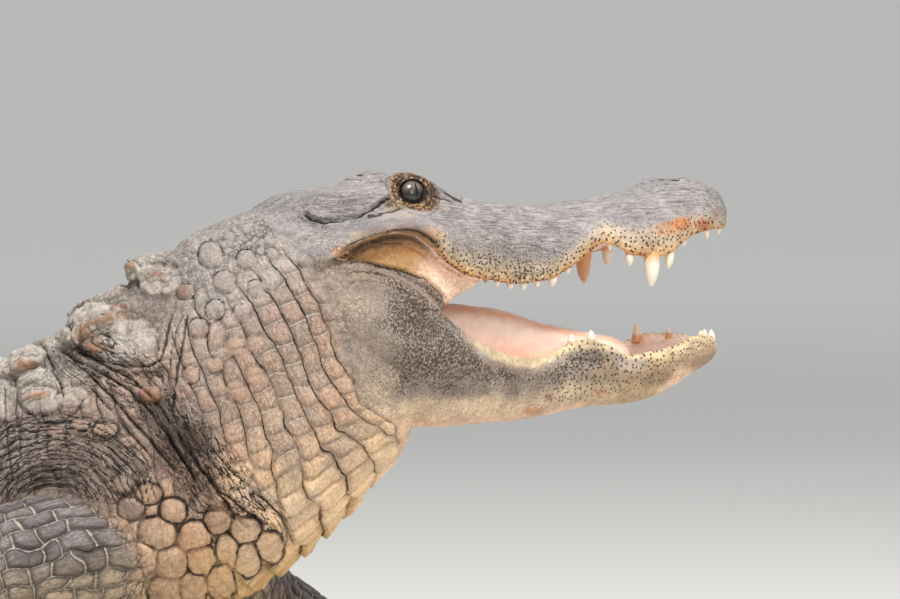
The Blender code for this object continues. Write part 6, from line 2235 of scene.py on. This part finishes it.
    def _plates(self) -> None:
        """Raises the bony plates of the neck and shoulders, pitted and with worn keels."""
        c = self.chart
        plate = self.hide.trunk.relief(c.body["q"], c.body["arc"])
        rough = self.bed * ramp(-0.006, 0.0, plate) * c.free
        self.height += rough * (0.0013 * self.ripple + 0.0011 * self.grit)
        self.tint(PAINT.bed, 0.6 * self.bed * (1 - rough) * c.free)
        self.tint(PAINT.nape_plate, 0.7 * rough)
        for *middle, wide, high, rise in self.plates:
            far = np.abs(c.drawing - middle) / (wide, high)
            lump = np.sum(far**2.6, axis=1) ** (1 / 2.6) + 0.20 * self.ripple + 0.07 * self.grit
            face = ramp(1.02, 0.86, lump) * c.free
            foot = bell(lump - 1.10, 0.09) * c.free
            self.height += (rise * face * (1 - 0.25 * lump) - 1.5 * foot) * MM
            # painted shade round the foot of each plate
            self.deep = np.maximum(self.deep * (1 - 0.8 * face), 0.5 * foot * ramp(
                -0.6, 0.4, self.wave + self.ripple))
            self.inks *= (1 - face)[:, None]
            self.flow[:, 2] *= 1 - face
            self.tint(PAINT.plate, 0.6 * face)
            self.skin[:, 1] = np.maximum(self.skin[:, 1] * (1 - 0.5 * face), 0.4 * face)
            pits = ramp(0.25, 0.75, self.grit + 0.4 * self.ripple) * face
            self.height -= 0.0012 * pits
            self.tint(PAINT.pit, 0.55 * pits)
        for keel in self.keels:
            away, along = line_distance(c.drawing, keel)
            ridge = bell(away + 0.7 * self.grit, 3.0) * ramp(0, 0.15, along) * ramp(1, 0.85, along)
            self.height += 0.0034 * ridge * c.free
            self.tint(PAINT.worn_keel, 0.8 * ramp(0.35, 0.8, ridge) * c.free)
            shade = bell(away - 5.5, 1.6) * c.free * ramp(0, 0.15, along) * ramp(1, 0.85, along)
            self.darken(0.6 * shade)

    def _shoulder(self) -> None:
        """Presses the wrinkles that circle the root of the arm."""
        c = self.chart
        reach = np.linalg.norm((c.drawing - self.arm) * (0.92, 1.0), axis=1)
        ring = ramp(22, 30, reach) * ramp(128, 96, reach + 10 * self.wave) * c.free
        ring *= ramp(170, 148, c.drawing[:, 0]) * ramp(0.80, 0.76, c.body["q"])
        ring *= ramp(512, 496, c.drawing[:, 1])
        wave = reach / 6.6 + 0.8 * self.wave + 0.5 * self.ripple + 0.25 * self.grit
        near = np.abs(2 * (wave % 1) - 1)
        self.height += ring * (1.5 * (1 - near**2) - 1.0) * MM
        broken = 0.75 + 0.25 * ramp(-0.3, 0.3, self.ripple)
        # painted shade in the wrinkles round the arm
        self.darken(ring * ramp(0.50, 0.92, near) * broken)
        self._creased(ring, reach, reach * np.arctan2(*(c.drawing - self.arm).T[::-1]))

    # ---- limbs
    def _limb_scales(self) -> None:
        """Lays the scales of the legs and feet, and colours them."""
        c = self.chart
        some = np.flatnonzero(c.on_limb > 0.01)
        on = c.on_limb[some]
        along, around = c.limb["along"][some], c.limb["around"][some]
        radius, foot = c.limb["radius"][some], c.on_foot[some]
        wave, ripple = self.wave[some], self.ripple[some]
        rows = (around / math.tau) * self.limb_rows + 0.50 * wave + 0.34 * ripple
        pitch = math.tau * radius / self.limb_rows
        reach = np.linspace(0, 0.6, 61)
        length = np.interp(reach, (0.0, 0.12, 0.30, 0.45), (0.024, 0.022, 0.017, 0.012))
        cell = np.interp(along, reach, np.cumsum(0.01 / length)) + 0.30 * ripple
        laid = on * (1 - foot)
        fr, fc, chance, wave_r, wave_c = tiles(rows, cell + 50 * c.which[some], 23)
        box = (np.abs(fr) ** 4 + np.abs(fc) ** 5) ** 0.22
        pillow = 0.6 * ramp(1.0, 0.66, box) + 0.4 * (1 - fr * fr)
        self.height[some] = self.height[some] * (1 - on) + laid * (3.6 * pillow - 1.4) * MM
        clear = on > 0.5
        lines = np.column_stack([wave_r * pitch, wave_c * np.interp(along, reach, length)])
        self.lines[some, :2] = np.where(clear[:, None], lines * 1000 / math.pi,
                                        self.lines[some, :2])
        faded = (1 - 2 * on).clip(0, 1)[:, None] * self.inks[some]
        inks = np.column_stack([laid * (0.95 - 1.9 * ramp(-0.7, -0.2, wave)), laid * 0.9, 0 * laid])
        self.inks[some] = np.where(clear[:, None], inks, faded)
        low = ramp(0.4, -0.7, np.cos(around))
        colour = np.outer(1 - low, rgb(*PAINT.limb)) + np.outer(low, rgb(*PAINT.limb_below))
        # random tone, and painted shade that darkens each scale towards its edges
        colour *= ((1 + 0.60 * (chance - 0.5) - 0.30 * ripple)
                   * (1.14 - 0.70 * ramp(0.50, 0.95, box)))[:, None]
        brown = (ramp(0.74, 0.95, chance) * ramp(0.5, -0.3, wave) * 0.5)[:, None]
        colour = colour * (1 - brown) + rgb(*PAINT.limb_brown) * brown
        self.tone[some] += (colour - self.tone[some]) * on[:, None]
        self.tint(PAINT.foot, ramp(0.02, 0.04, c.body["off"]) * (1 - c.on_head) * (
            1 - c.on_limb * (1 - 0.7 * c.on_foot)))
        self.skin[some, 1] += on * (0.35 - self.skin[some, 1])
        self.marks[some] *= (1 - on)[:, None]
        flow = np.column_stack([around * radius * 1000, along * 1000, 0.45 * laid])
        self.flow[some] = np.where(clear[:, None], flow, self.flow[some] * (1 - on)[:, None])
        self.deep[some] *= 1 - on
        blend = np.maximum(np.clip(4 * on * (1 - on), 0, 1), foot)
        edge, _ = pebbles(c.points[some], self.foot_pebble, 43)
        self.height[some] += blend * (2.0 * ramp(0.0, 0.28, edge) - 0.8) * (1 - 0.4 * foot) * MM
        self.lines[some, 2] = np.where(blend > 0.05, edge * self.foot_pebble * 1500,
                                       self.lines[some, 2])
        self.inks[some, 2] = np.maximum(self.inks[some, 2], 0.85 * blend)

    # ---- head
    def _head_colours(self) -> None:
        """Colours the upper head and the lower jaw."""
        c = self.chart
        some = np.flatnonzero(c.on_head > 0.0)
        on = c.on_head[some]
        x = c.head[some, 0]
        across, down = c.drawing[some].T
        upper, lower = c.on_upper[some], c.on_lower[some]
        wave, ripple = self.wave[some], self.ripple[some]
        ragged = 0.004 * wave + 0.003 * ripple
        self.tint(PAINT.head, on, some)
        # painted light: paler where the faces point up
        high = ramp(0.3, 0.9, c.head_normal[some, 2])
        self.tint(PAINT.head_top, 0.5 * high * upper, some)
        self.tint(PAINT.jaw, lower, some)
        lip = c.upper_lip[some] + ragged
        band = np.interp(x, (-0.42, -0.34, -0.28, -0.20, -0.10, -0.04, 0.0),
                         (0.010, 0.024, 0.022, 0.016, 0.024, 0.016, 0.012))
        self.tint(PAINT.lip_band, 0.80 * upper * ramp(1.45, 0.65, lip / band), some)
        self.tint(PAINT.lip_low, 0.70 * upper * ramp(0.62, 0.15, lip / band), some)
        self.tint(PAINT.lip_edge, 0.85 * upper * ramp(0.0040, 0.0005, lip), some)
        rim = down - np.interp(across, (388, 430, 480, 540, 600, 660, 710),
                               (425, 425, 424, 415, 404, 391, 352))
        self.tint(PAINT.jaw_rim, lower * ramp(-34, -12, rim + 900 * ragged), some)
        self.tint(PAINT.jaw_edge, lower * ramp(-10, -2, rim), some)
        front = ramp(550, 640, across)
        self.tint(PAINT.jaw_front, 0.80 * lower * front * ramp(0.0, -0.4, self.ripple[some] - 0.3),
                  some)
        self.spread(self.upper_patches, c.on_upper)
        self.spread(self.lower_patches, c.on_lower)
        mouth = c.lower_lip[some] + 0.5 * ragged
        gum = ramp(0.011, 0.005, mouth + 0.002 * ripple) * ramp(450, 490, across)
        self.tint(PAINT.gum, 0.65 * lower * gum, some)
        self.tone[some] *= (1 + (0.18 * ripple + 0.15 * self.grit[some]) * on)[:, None]
        dense = ramp(-8, -46, rim)
        pores = upper * (0.35 + 0.65 * ramp(1.5, 0.5, lip / band)) * ramp(2.1, 1.5, lip / band)
        pores = pores * ramp(424, 440, across)
        pores += lower * ramp(520, 590, across) * ramp(-2, -10, rim) * (0.75 + 0.3 * dense)
        pores += lower * 0.42 * ramp(-3, -8, rim) * ramp(-44, -30, rim) * ramp(600, 540, across)
        specks = lower * dense * (0.90 - 0.45 * front)
        specks *= ramp(-0.485, -0.405, x + 0.03 * wave + 0.02 * ripple)
        specks *= 1 - ramp(450, 490, across) * ramp(0.020, 0.006, c.lower_lip[some] + ragged)
        specks += upper * 0.25 * ramp(0.060, 0.020, lip) * ramp(420, 450, across) * (
            ramp(600, 540, across))
        specks += 0.35 * upper
        streak = upper * ramp(0.9, 1.9, lip / band) * ramp(-0.50, -0.46, x)
        share = on[:, None]
        marks = np.column_stack([pores, specks, streak])
        self.marks[some] = self.marks[some] * (1 - share) + marks * share
        self.skin[some, 1] *= 1 - on
        self.skin[some, 1] += on * 0.75 * ramp(-0.38, -0.46, x)
        self.inks[some] *= (1 - on)[:, None]
        self.flow[some, 2] *= 1 - on
        self.deep[some] *= 1 - on

    def _head_relief(self) -> None:
        """Presses the slits and creases of the head, and the fold behind the jaw."""
        c = self.chart
        outer = c.on_head * (1 - c.in_mouth) * ramp(0.018, 0.030, np.abs(c.head[:, 1]))
        nose = c.on_head * (c.drawing[:, 0] > 640)
        for fold in self.head_folds:
            self.carve(fold, np.maximum(outer, nose) if fold.line[0][0] > 600 else outer)
        fold = bell(c.behind_head + 0.004 * self.ripple, 0.0024) * ramp(0.37, 0.33, c.head[:, 2])
        fold *= ramp(0.258, 0.268, c.head[:, 2])
        self.height -= 0.0025 * fold
        # painted shade in the fold behind the jaw
        self.darken(0.55 * fold)
        flap = ((c.drawing - (346, 206)) @ ((0.98, 0.2), (-0.2, 0.98))) / (47, 13)
        self.height += 0.0022 * ramp(1.1, 0.8, np.linalg.norm(flap, axis=1)) * outer
        some = np.flatnonzero(c.on_head > 0)
        fine = grain(c.head[some] * (0.25, 1, 1), 0.0032, 51)
        lumps = grain(c.head[some], 0.013, 52) + 0.6 * self.grit[some]
        self.height[some] += (0.30 * fine * c.on_upper[some] + 0.55 * lumps
                              * (1 - c.in_mouth[some]) * c.on_head[some]) * MM

    def _mouth(self) -> None:
        """Colours the lining of the mouth and the fold at its corners."""
        c = self.chart
        x, z = c.head[:, 0], c.head[:, 2]
        self.tint(PAINT.lining, c.in_mouth)
        self.tint(PAINT.lining_warm, c.in_mouth * 0.5 * ramp(0.2, 0.6, self.ripple))
        reach = np.where(x > -0.446, 0.119, 0.094)
        sheet = c.on_head * ramp(0.012, 0.007, np.abs(c.head[:, 1]) - reach)
        sheet *= ramp(-0.452, -0.440, x) * ramp(-0.288, -0.296, x) * (z > 0.385) * (z < 0.478)
        sheet *= ramp(-0.001, -0.004, c.upper_lip) * ramp(0.002, -0.002, c.lower_lip)
        across, down = c.drawing.T
        crease = down - np.interp(across, (340, 352, 369, 385, 402, 416, 430, 446, 470),
                                  (252, 246, 236, 232, 230, 231, 238, 252, 268))
        self.tint(PAINT.fold, sheet)
        self.tint(PAINT.fold_front, sheet * ramp(408, 436, across + 0.4 * (down - 262)))
        shade = sheet * ramp(19, 6, crease + 3 * self.ripple) * ramp(446, 424, across)
        self.tint(PAINT.fold_shade, 0.92 * shade)
        # orange rim along the lower edge of the painted shade under the crease
        self.tint(PAINT.fold_shade_rim, 0.5 * sheet * bell(crease - 20, 5) * ramp(440, 420, across))
        line = np.interp(across, (340, 355, 380, 405, 425, 438, 446),
                         (256, 260, 266, 272, 280, 292, 303))
        cheek = sheet * ramp(-1.5, 1.5, down - line + self.ripple) * ramp(448, 444, across)
        self.tint(PAINT.cheek, cheek)
        sheet = sheet * (1 - cheek)
        self.marks[:, 1] = np.maximum(self.marks[:, 1], 0.8 * cheek)
        # painted shade along the crease outside the corner of the mouth
        around = c.on_head * (1 - c.in_mouth) * bell(crease, 5.5)
        around *= ramp(452, 430, across) * ramp(336, 346, across)
        self.tint(PAINT.corner, 0.75 * around)
        lining = np.clip(c.in_mouth + sheet, 0, 1)
        self.marks *= (1 - lining)[:, None]
        self.skin[:, 2] = np.clip(c.in_mouth + 0.5 * sheet, 0, 1)
        self.skin[:, 1] *= 1 - lining

    def _eyes(self) -> None:
        """Opens the lids over the eyes and colours them."""
        c, eye = self.chart, self.hide.eye
        across, down = c.drawing.T
        for side in Side:
            middle = np.array(eye.centre(side))
            near = np.flatnonzero(np.linalg.norm(c.head - middle, axis=1) < 0.045)
            turn = eye.turn(side)
            local = (c.head[near] - middle) @ turn
            out = local[:, 0]
            place = (local[:, 1:] - (0.003 * side.value, 0.001)) / (eye.opening_length,
                                                                    eye.opening_height)
            place[:, 1] *= np.where(place[:, 1] > 0, 1.10, 0.96)
            round_ = np.hypot(*place.T)
            facing = ramp(0.0, 0.004, out)
            inside = ramp(1.03, 0.97, round_) * facing
            flat = np.hypot(local[:, 1], local[:, 2])
            ball_ = np.sqrt(np.maximum(eye.radius**2 - flat**2, 1e-8))
            deep = np.maximum(ball_ - 0.004, 0.002)
            rim = bell(round_ - 1.08, 0.13) * facing
            edge = ramp(1.45, 1.02, round_) * (1 - inside) * facing
            wanted = np.where(inside > 0.5, deep, np.maximum(ball_ + 0.0022, 0.006))
            share = np.maximum(inside, 0.75 * edge)
            push = np.zeros_like(local)
            push[:, 0] = share * (wanted - out) + 0.0009 * rim * (1 - inside)
            self.shift[near] += STANCE.from_head(push @ turn.T)
            self.height[near] *= 1 - np.maximum(inside, edge)
            lid = ramp(2.15, 1.60, round_ + 0.25 * self.ripple[near]) * facing
            self.tint(PAINT.lid, lid, near)
            self.tint(PAINT.lid_edge, 0.8 * bell(round_ - 1.15, 0.07) * facing * ramp(
                -0.5, 0.2, place[:, 1] + 0.4 * place[:, 0] * side.value), near)
            self.tint(PAINT.lid_line, bell(round_ - 1.03, 0.03) * facing, near)
            self.skin[near, 0] = np.maximum(self.skin[near, 0], 0.95 * lid)
            self.marks[near] *= (1 - lid)[:, None]
            for radius, dark in ((1.55, 0.45), (2.15, 0.6)):
                crease = bell(round_ - radius - 0.06 * self.ripple[near], 0.07) * facing
                self.height[near] -= 0.0007 * crease
                # painted shade in the creases round the lids
                self.darken(dark * crease, near)
            # painted shade: near black in the slit between the lids and the eyeball
            self.tint(PAINT.opening, ramp(1.05, 1.0, round_) * facing, near)
        corner = bell(np.hypot(across - 433, 0.7 * (down - 191)), 4.0) * c.on_head
        corner *= np.abs(c.head[:, 1]) > 0.02
        self.tint(PAINT.eye_corner, corner)
        tan = ramp(1.3, 0.5, np.hypot((across - 396) / 14, (down - 204) / 7)) * c.on_upper
        self.tint(PAINT.brow, 0.8 * tan)
        self.skin[:, 0] = np.maximum(self.skin[:, 0], 0.7 * tan)


# ------------------------------------------------------------------------- eyes, teeth, tongue
@dataclass
class Eye:
    """An eyeball, its place in the head and the opening between its lids."""

    x: float = -0.352
    y: float = 0.0445
    z: float = 0.5075
    radius: float = 0.0170
    lid: float = 0.0045
    lid_length: float = 1.12
    opening_length: float = 0.0131
    opening_height: float = 0.0124
    looks_up: float = 12.0
    looks_ahead: float = 10.0

    def centre(self, side: Side) -> tuple[float, float, float]:
        """Returns the middle of the eye in the head's frame."""
        return (self.x, side.value * self.y, self.z)

    def turn(self, side: Side) -> Array:
        """Returns the rotation whose first axis looks out of the eye."""
        out = Matrix.Rotation(math.radians(side.value * (90 - self.looks_ahead)), 3, "Z")
        return np.array(out @ Matrix.Rotation(math.radians(-self.looks_up), 3, "Y"))

    def lid_forms(self) -> list[Form]:
        """Returns the domes of skin over the eyes."""
        size = self.radius + self.lid
        forms = []
        for side in Side:
            radii = (size, size * self.lid_length, size)
            forms.append(STANCE.seat(ball(self.centre(side), radii, self.turn(side))))
        return forms

    def build(self, side: Side) -> bpy.types.Object:
        """Returns the eyeball of one side, with the field that its finish reads."""
        turn = self.turn(side)
        form = ball((0, 0, 0), (self.radius,) * 3, np.eye(3), 48, 64)
        local = form.points.copy()
        form.points = STANCE.from_head(local @ turn.T + np.array(self.centre(side)))
        name = "eye_left" if side is Side.LEFT else "eye_right"
        made = mesh_piece(f"{name}_ball", form)
        out = np.hypot(local[:, 1], local[:, 2]) / self.radius
        slit = np.hypot(local[:, 1] / 0.55, local[:, 2] / 4.2) / self.radius
        write_field(made.data, "gaze", np.column_stack([out, slit, local[:, 2] / self.radius]))
        return made


@dataclass
class Teeth:
    """The teeth of one jaw."""

    name: str
    rows: tuple
    lip_y: Curve
    lip_z: Curve
    # 1 where the teeth point up and -1 where they point down
    up: int
    root: float = 0.007
    inset: float = 0.0065
    least_y: float = 0.008
    lean: float = 0.25
    bow: float = 0.10
    sides: int = 16
    # numbers of the teeth painted brown as shade on the left, far side, and of those missing on one
    # side
    shaded_far_teeth: tuple = ()
    left_only: tuple = ()

    def build(self) -> bpy.types.Object:
        """Returns the teeth as one mesh, with the field that tells root from tip."""
        forms, roots = [], []
        for side in Side:
            for number, (x, length, radius) in enumerate(metres(self.rows)):
                if side is Side.RIGHT and number in self.left_only:
                    continue
                form, share = self._tooth(side, number, x, length, radius)
                forms.append(form)
                roots.append(share)
        made = mesh_piece(self.name, together(forms))
        write_field(made.data, "root", np.concatenate(roots))
        return made

    def _tooth(self, side: Side, number: int, x: float, length: float,
               radius: float) -> tuple[Form, Array]:
        """Returns one slightly curved cone and how near each point is to the gum."""
        near = 0.002
        slope = float(self.lip_y(x + near) - self.lip_y(x - near)) / (2 * near)
        inward = Vector((slope, -1.0)).normalized()
        base = np.array((x + self.inset * inward.x,
                         side.value * max(float(self.lip_y(x)) + self.inset * inward.y,
                                          self.least_y), float(self.lip_z(x))))
        lean = self.lean * length if number < 2 else 0.0
        shares = np.linspace(0, 1, 14)
        total = self.root + length
        bow = self.bow * length * np.array((-inward.x, -side.value * inward.y, 0))
        centres = [base + np.array((lean * t, 0, self.up * (t * total - self.root)))
                   + bow * math.sin(math.pi * min(t * 1.05, 1)) for t in shares]
        widths = radius * (0.06 + 0.94 * (1 - shares**2.8) ** 0.62)
        form = STANCE.seat(lofted(tube_rings(centres, widths, self.sides)))
        along = np.concatenate([np.repeat(shares, self.sides), [0.0, 1.0]])
        root = np.clip(1 - (along * total - self.root * 0.9) / (0.30 * length), 0, 1)
        # painted shade: the far teeth are brown over most of their length
        if side is Side.LEFT and number in self.shaded_far_teeth:
            root = np.maximum(root, 1.15 - 0.5 * along)
        return form, root


# place, length and radius of each tooth, from the tip of the snout, in millimetres
UPPER_TEETH = (
    (-12, 6, 2.6), (-36, 9, 3.2), (-66, 7, 3.2), (-86, 17, 5.2), (-110, 29, 8.0), (-133, 12, 4.8),
    (-152, 6, 3.2), (-197, 7, 4.0), (-215, 10, 5.4), (-233, 6, 4.4), (-249, 7, 4.6),
    (-264, 6, 4.2), (-279, 5, 3.8),
)
LOWER_TEETH = (
    (-10, 15, 4.8), (-34, 4, 3.0), (-63, 13, 5.2), (-167, 10, 4.6), (-190, 8, 4.4),
)


@dataclass
class Tongue:
    """The tongue on the floor of the mouth."""

    # x, half width, height of its top over the floor
    sections: tuple = (
        (-100, 10, 352), (-110, 30, 362), (-135, 42, 369), (-165, 48, 374), (-205, 54, 382),
        (-240, 59, 393), (-290, 64, 400), (-350, 62, 406), (-385, 50, 411), (-400, 20, 408),
    )
    shoulder: tuple = (0.70, 0.004)
    edge_drop: float = 0.018
    base: tuple = (0.80, 0.052)

    def build(self) -> bpy.types.Object:
        """Returns the tongue, with the field that tells its edge."""
        width, top = rails(self.sections)
        rings = []
        for x in np.linspace(-0.400, -0.100, 130):
            wide, high = float(width(x)), float(top(x))
            half = [(0, high), (self.shoulder[0] * wide, high - self.shoulder[1]),
                    (wide, high - self.edge_drop),
                    (self.base[0] * wide, high - self.base[1]), (0, high - self.base[1])]
            rings.append(both_halves(x, half, (14, 12, 8, 6)))
        form = lofted(rings)
        head = form.points.copy()
        bumps = 0.0008 * grain(head, 0.009, 61) - 0.0015 * bell(head[:, 1], 0.004)
        form.points[:, 2] += np.where(head[:, 2] > 0.34, bumps, 0)
        made = mesh_piece("tongue_pad", STANCE.seat(form))
        edge = np.abs(head[:, 1]) / width(head[:, 0])
        write_field(made.data, "rim", 0.8 * bell(edge - 0.80, 0.10))
        return made


# ------------------------------------------------------------------------- studio
@dataclass(frozen=True)
class Lamp:
    """A soft square light: where it hangs off the neck, its size, power and colour."""

    name: str
    place: tuple
    size: float
    power: float
    colour: Colour

    def build(self, aim: Vector) -> None:
        """Hangs the light so that it looks at the aim."""
        light = bpy.data.lights.new(self.name, "AREA")
        light.shape = "SQUARE"
        light.size, light.energy, light.color = self.size, self.power, self.colour
        aimed(added(self.name, light), aim + Vector(self.place), aim)


@dataclass
class Studio:
    """The floor, the lights and the camera."""

    lamps: tuple = (
        Lamp("key", (0.5, -2.4, 3.4), 1.0, 170, (1.0, 0.97, 0.93)),
        Lamp("fill", (1.9, -3.6, 1.15), 1.6, 24, (1.0, 0.98, 0.95)),
        Lamp("top", (-0.6, 0.9, 4.2), 3.0, 80, (0.98, 0.99, 1.0)),
    )
    daylight: tuple = (0.97, 0.98, 1.0, 1.0)
    daylight_strength: float = 0.57
    frame_width: float = 0.9
    sensor_width: float = 36.0
    floor_rings: tuple = (1.0, 3.0, 6.0, 9.0, 12.0, 16.0, 24.0, 44.0)
    floor_sides: int = 96
    wall_radius: float = 20.0
    pale_from: float = 3.0
    pale_to: float = 16.0
    # the floor lies this far under the feet, so that no face of it meets one of theirs
    floor_drop: float = 0.0005

    def build(self) -> None:
        """Sets up the studio."""
        aim = Vector(STANCE.sight) + Vector(STANCE.anchor)
        self._floor()
        for lamp in self.lamps:
            lamp.build(aim)
        world = bpy.data.worlds.new("studio")
        bpy.context.scene.world = world
        world.use_nodes = True
        sky = world.node_tree.nodes["Background"].inputs
        sky[0].default_value, sky[1].default_value = self.daylight, self.daylight_strength
        bpy.context.scene.view_settings.view_transform = "Standard"
        self._camera(aim)

    def _floor(self) -> None:
        """Lays a pale round floor that rises to a wall far away on every side."""
        count, rise = self.floor_sides, self.wall_radius
        rows = [(ring, 0.0) for ring in self.floor_rings]
        rows += [(self.floor_rings[-1] + rise * math.sin(a), rise - rise * math.cos(a))
                 for a in np.linspace(0.06, 1.5, 24)]
        turns = np.linspace(0, math.tau, count, endpoint=False)
        points = [(0.0, 0.0, 0.0)]
        points += [(r * math.cos(a), r * math.sin(a), z) for r, z in rows for a in turns]
        corners = []
        for k in range(count):
            after = (k + 1) % count
            corners.append((0, 1 + k, 1 + after))
            for row in range(len(rows) - 1):
                a, b = 1 + count * row, 1 + count * (row + 1)
                corners.append((a + k, b + k, b + after, a + after))
        mesh = bpy.data.meshes.new("studio_floor")
        mesh.from_pydata(points, [], corners)
        mesh.shade_smooth()
        away = np.linalg.norm(np.array(points)[:, :2], axis=1)
        write_field(mesh, "far", ramp(self.pale_from, self.pale_to, away))
        floor = added("studio_floor", mesh)
        floor.location = (0, 0, -self.floor_drop)
        mesh.materials.append(FloorFinish().build())

    def _camera(self, aim: Vector) -> None:
        """Places the camera level with the animal's neck, at its right side."""
        lens = bpy.data.cameras.new("camera")
        lens.sensor_width = self.sensor_width
        lens.lens = self.sensor_width * STANCE.sight_distance / self.frame_width
        made = added("camera", lens)
        lean = math.radians(STANCE.sight_rise)
        aimed(made, aim + STANCE.sight_distance * Vector((0, -math.cos(lean), math.sin(lean))), aim)
        bpy.context.scene.camera = made


# ------------------------------------------------------------------------- assembly
def fit(piece: bpy.types.Object, nodes: Sequence[str] = ()) -> None:
    """Makes a piece part of the animal.

    Args:
        piece: the finished piece.
        nodes: the solids that it stands for.
    """
    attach(piece, BODY)
    if nodes:
        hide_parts(*nodes)
    log.info("%s: %d points", piece.name, len(piece.data.vertices))


def main() -> None:
    """Builds and dresses the animal, then sets up the studio."""
    logging.basicConfig(level=logging.INFO, format="%(message)s")
    eye = Eye()
    STANCE.stand(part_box("eye_left"), eye.centre(Side.LEFT))
    head, jaw, trunk = Head(), Jaw(), Trunk()
    hide = Hide(head, jaw, trunk, LIMBS, eye).build()
    flesh = [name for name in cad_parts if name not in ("tongue", "eye_left", "eye_right")]
    fit(hide, flesh)
    wet = EyeFinish().build()
    for side, node in ((Side.LEFT, "eye_left"), (Side.RIGHT, "eye_right")):
        ball_ = eye.build(side)
        ball_.data.materials.append(wet)
        fit(ball_, (node,))
    tongue = Tongue().build()
    tongue.data.materials.append(MouthFinish().build())
    fit(tongue, ("tongue",))
    ivory = ToothFinish().build()
    for teeth in (Teeth("upper_teeth", UPPER_TEETH, head.lip_y, head.lip_z, -1, shaded_far_teeth=(4, 5)),
                  Teeth("lower_teeth", LOWER_TEETH, jaw.lip_y, jaw.lip_z, 1, left_only=(2,))):
        piece = teeth.build()
        piece.data.materials.append(ivory)
        fit(piece)
    claws = mesh_piece("claws", together([form for limb in LIMBS for form in limb.claw_forms()]))
    claws.data.materials.append(ClawFinish().build())
    fit(claws)
    Studio().build()


if __name__ == "__main__":
    main()
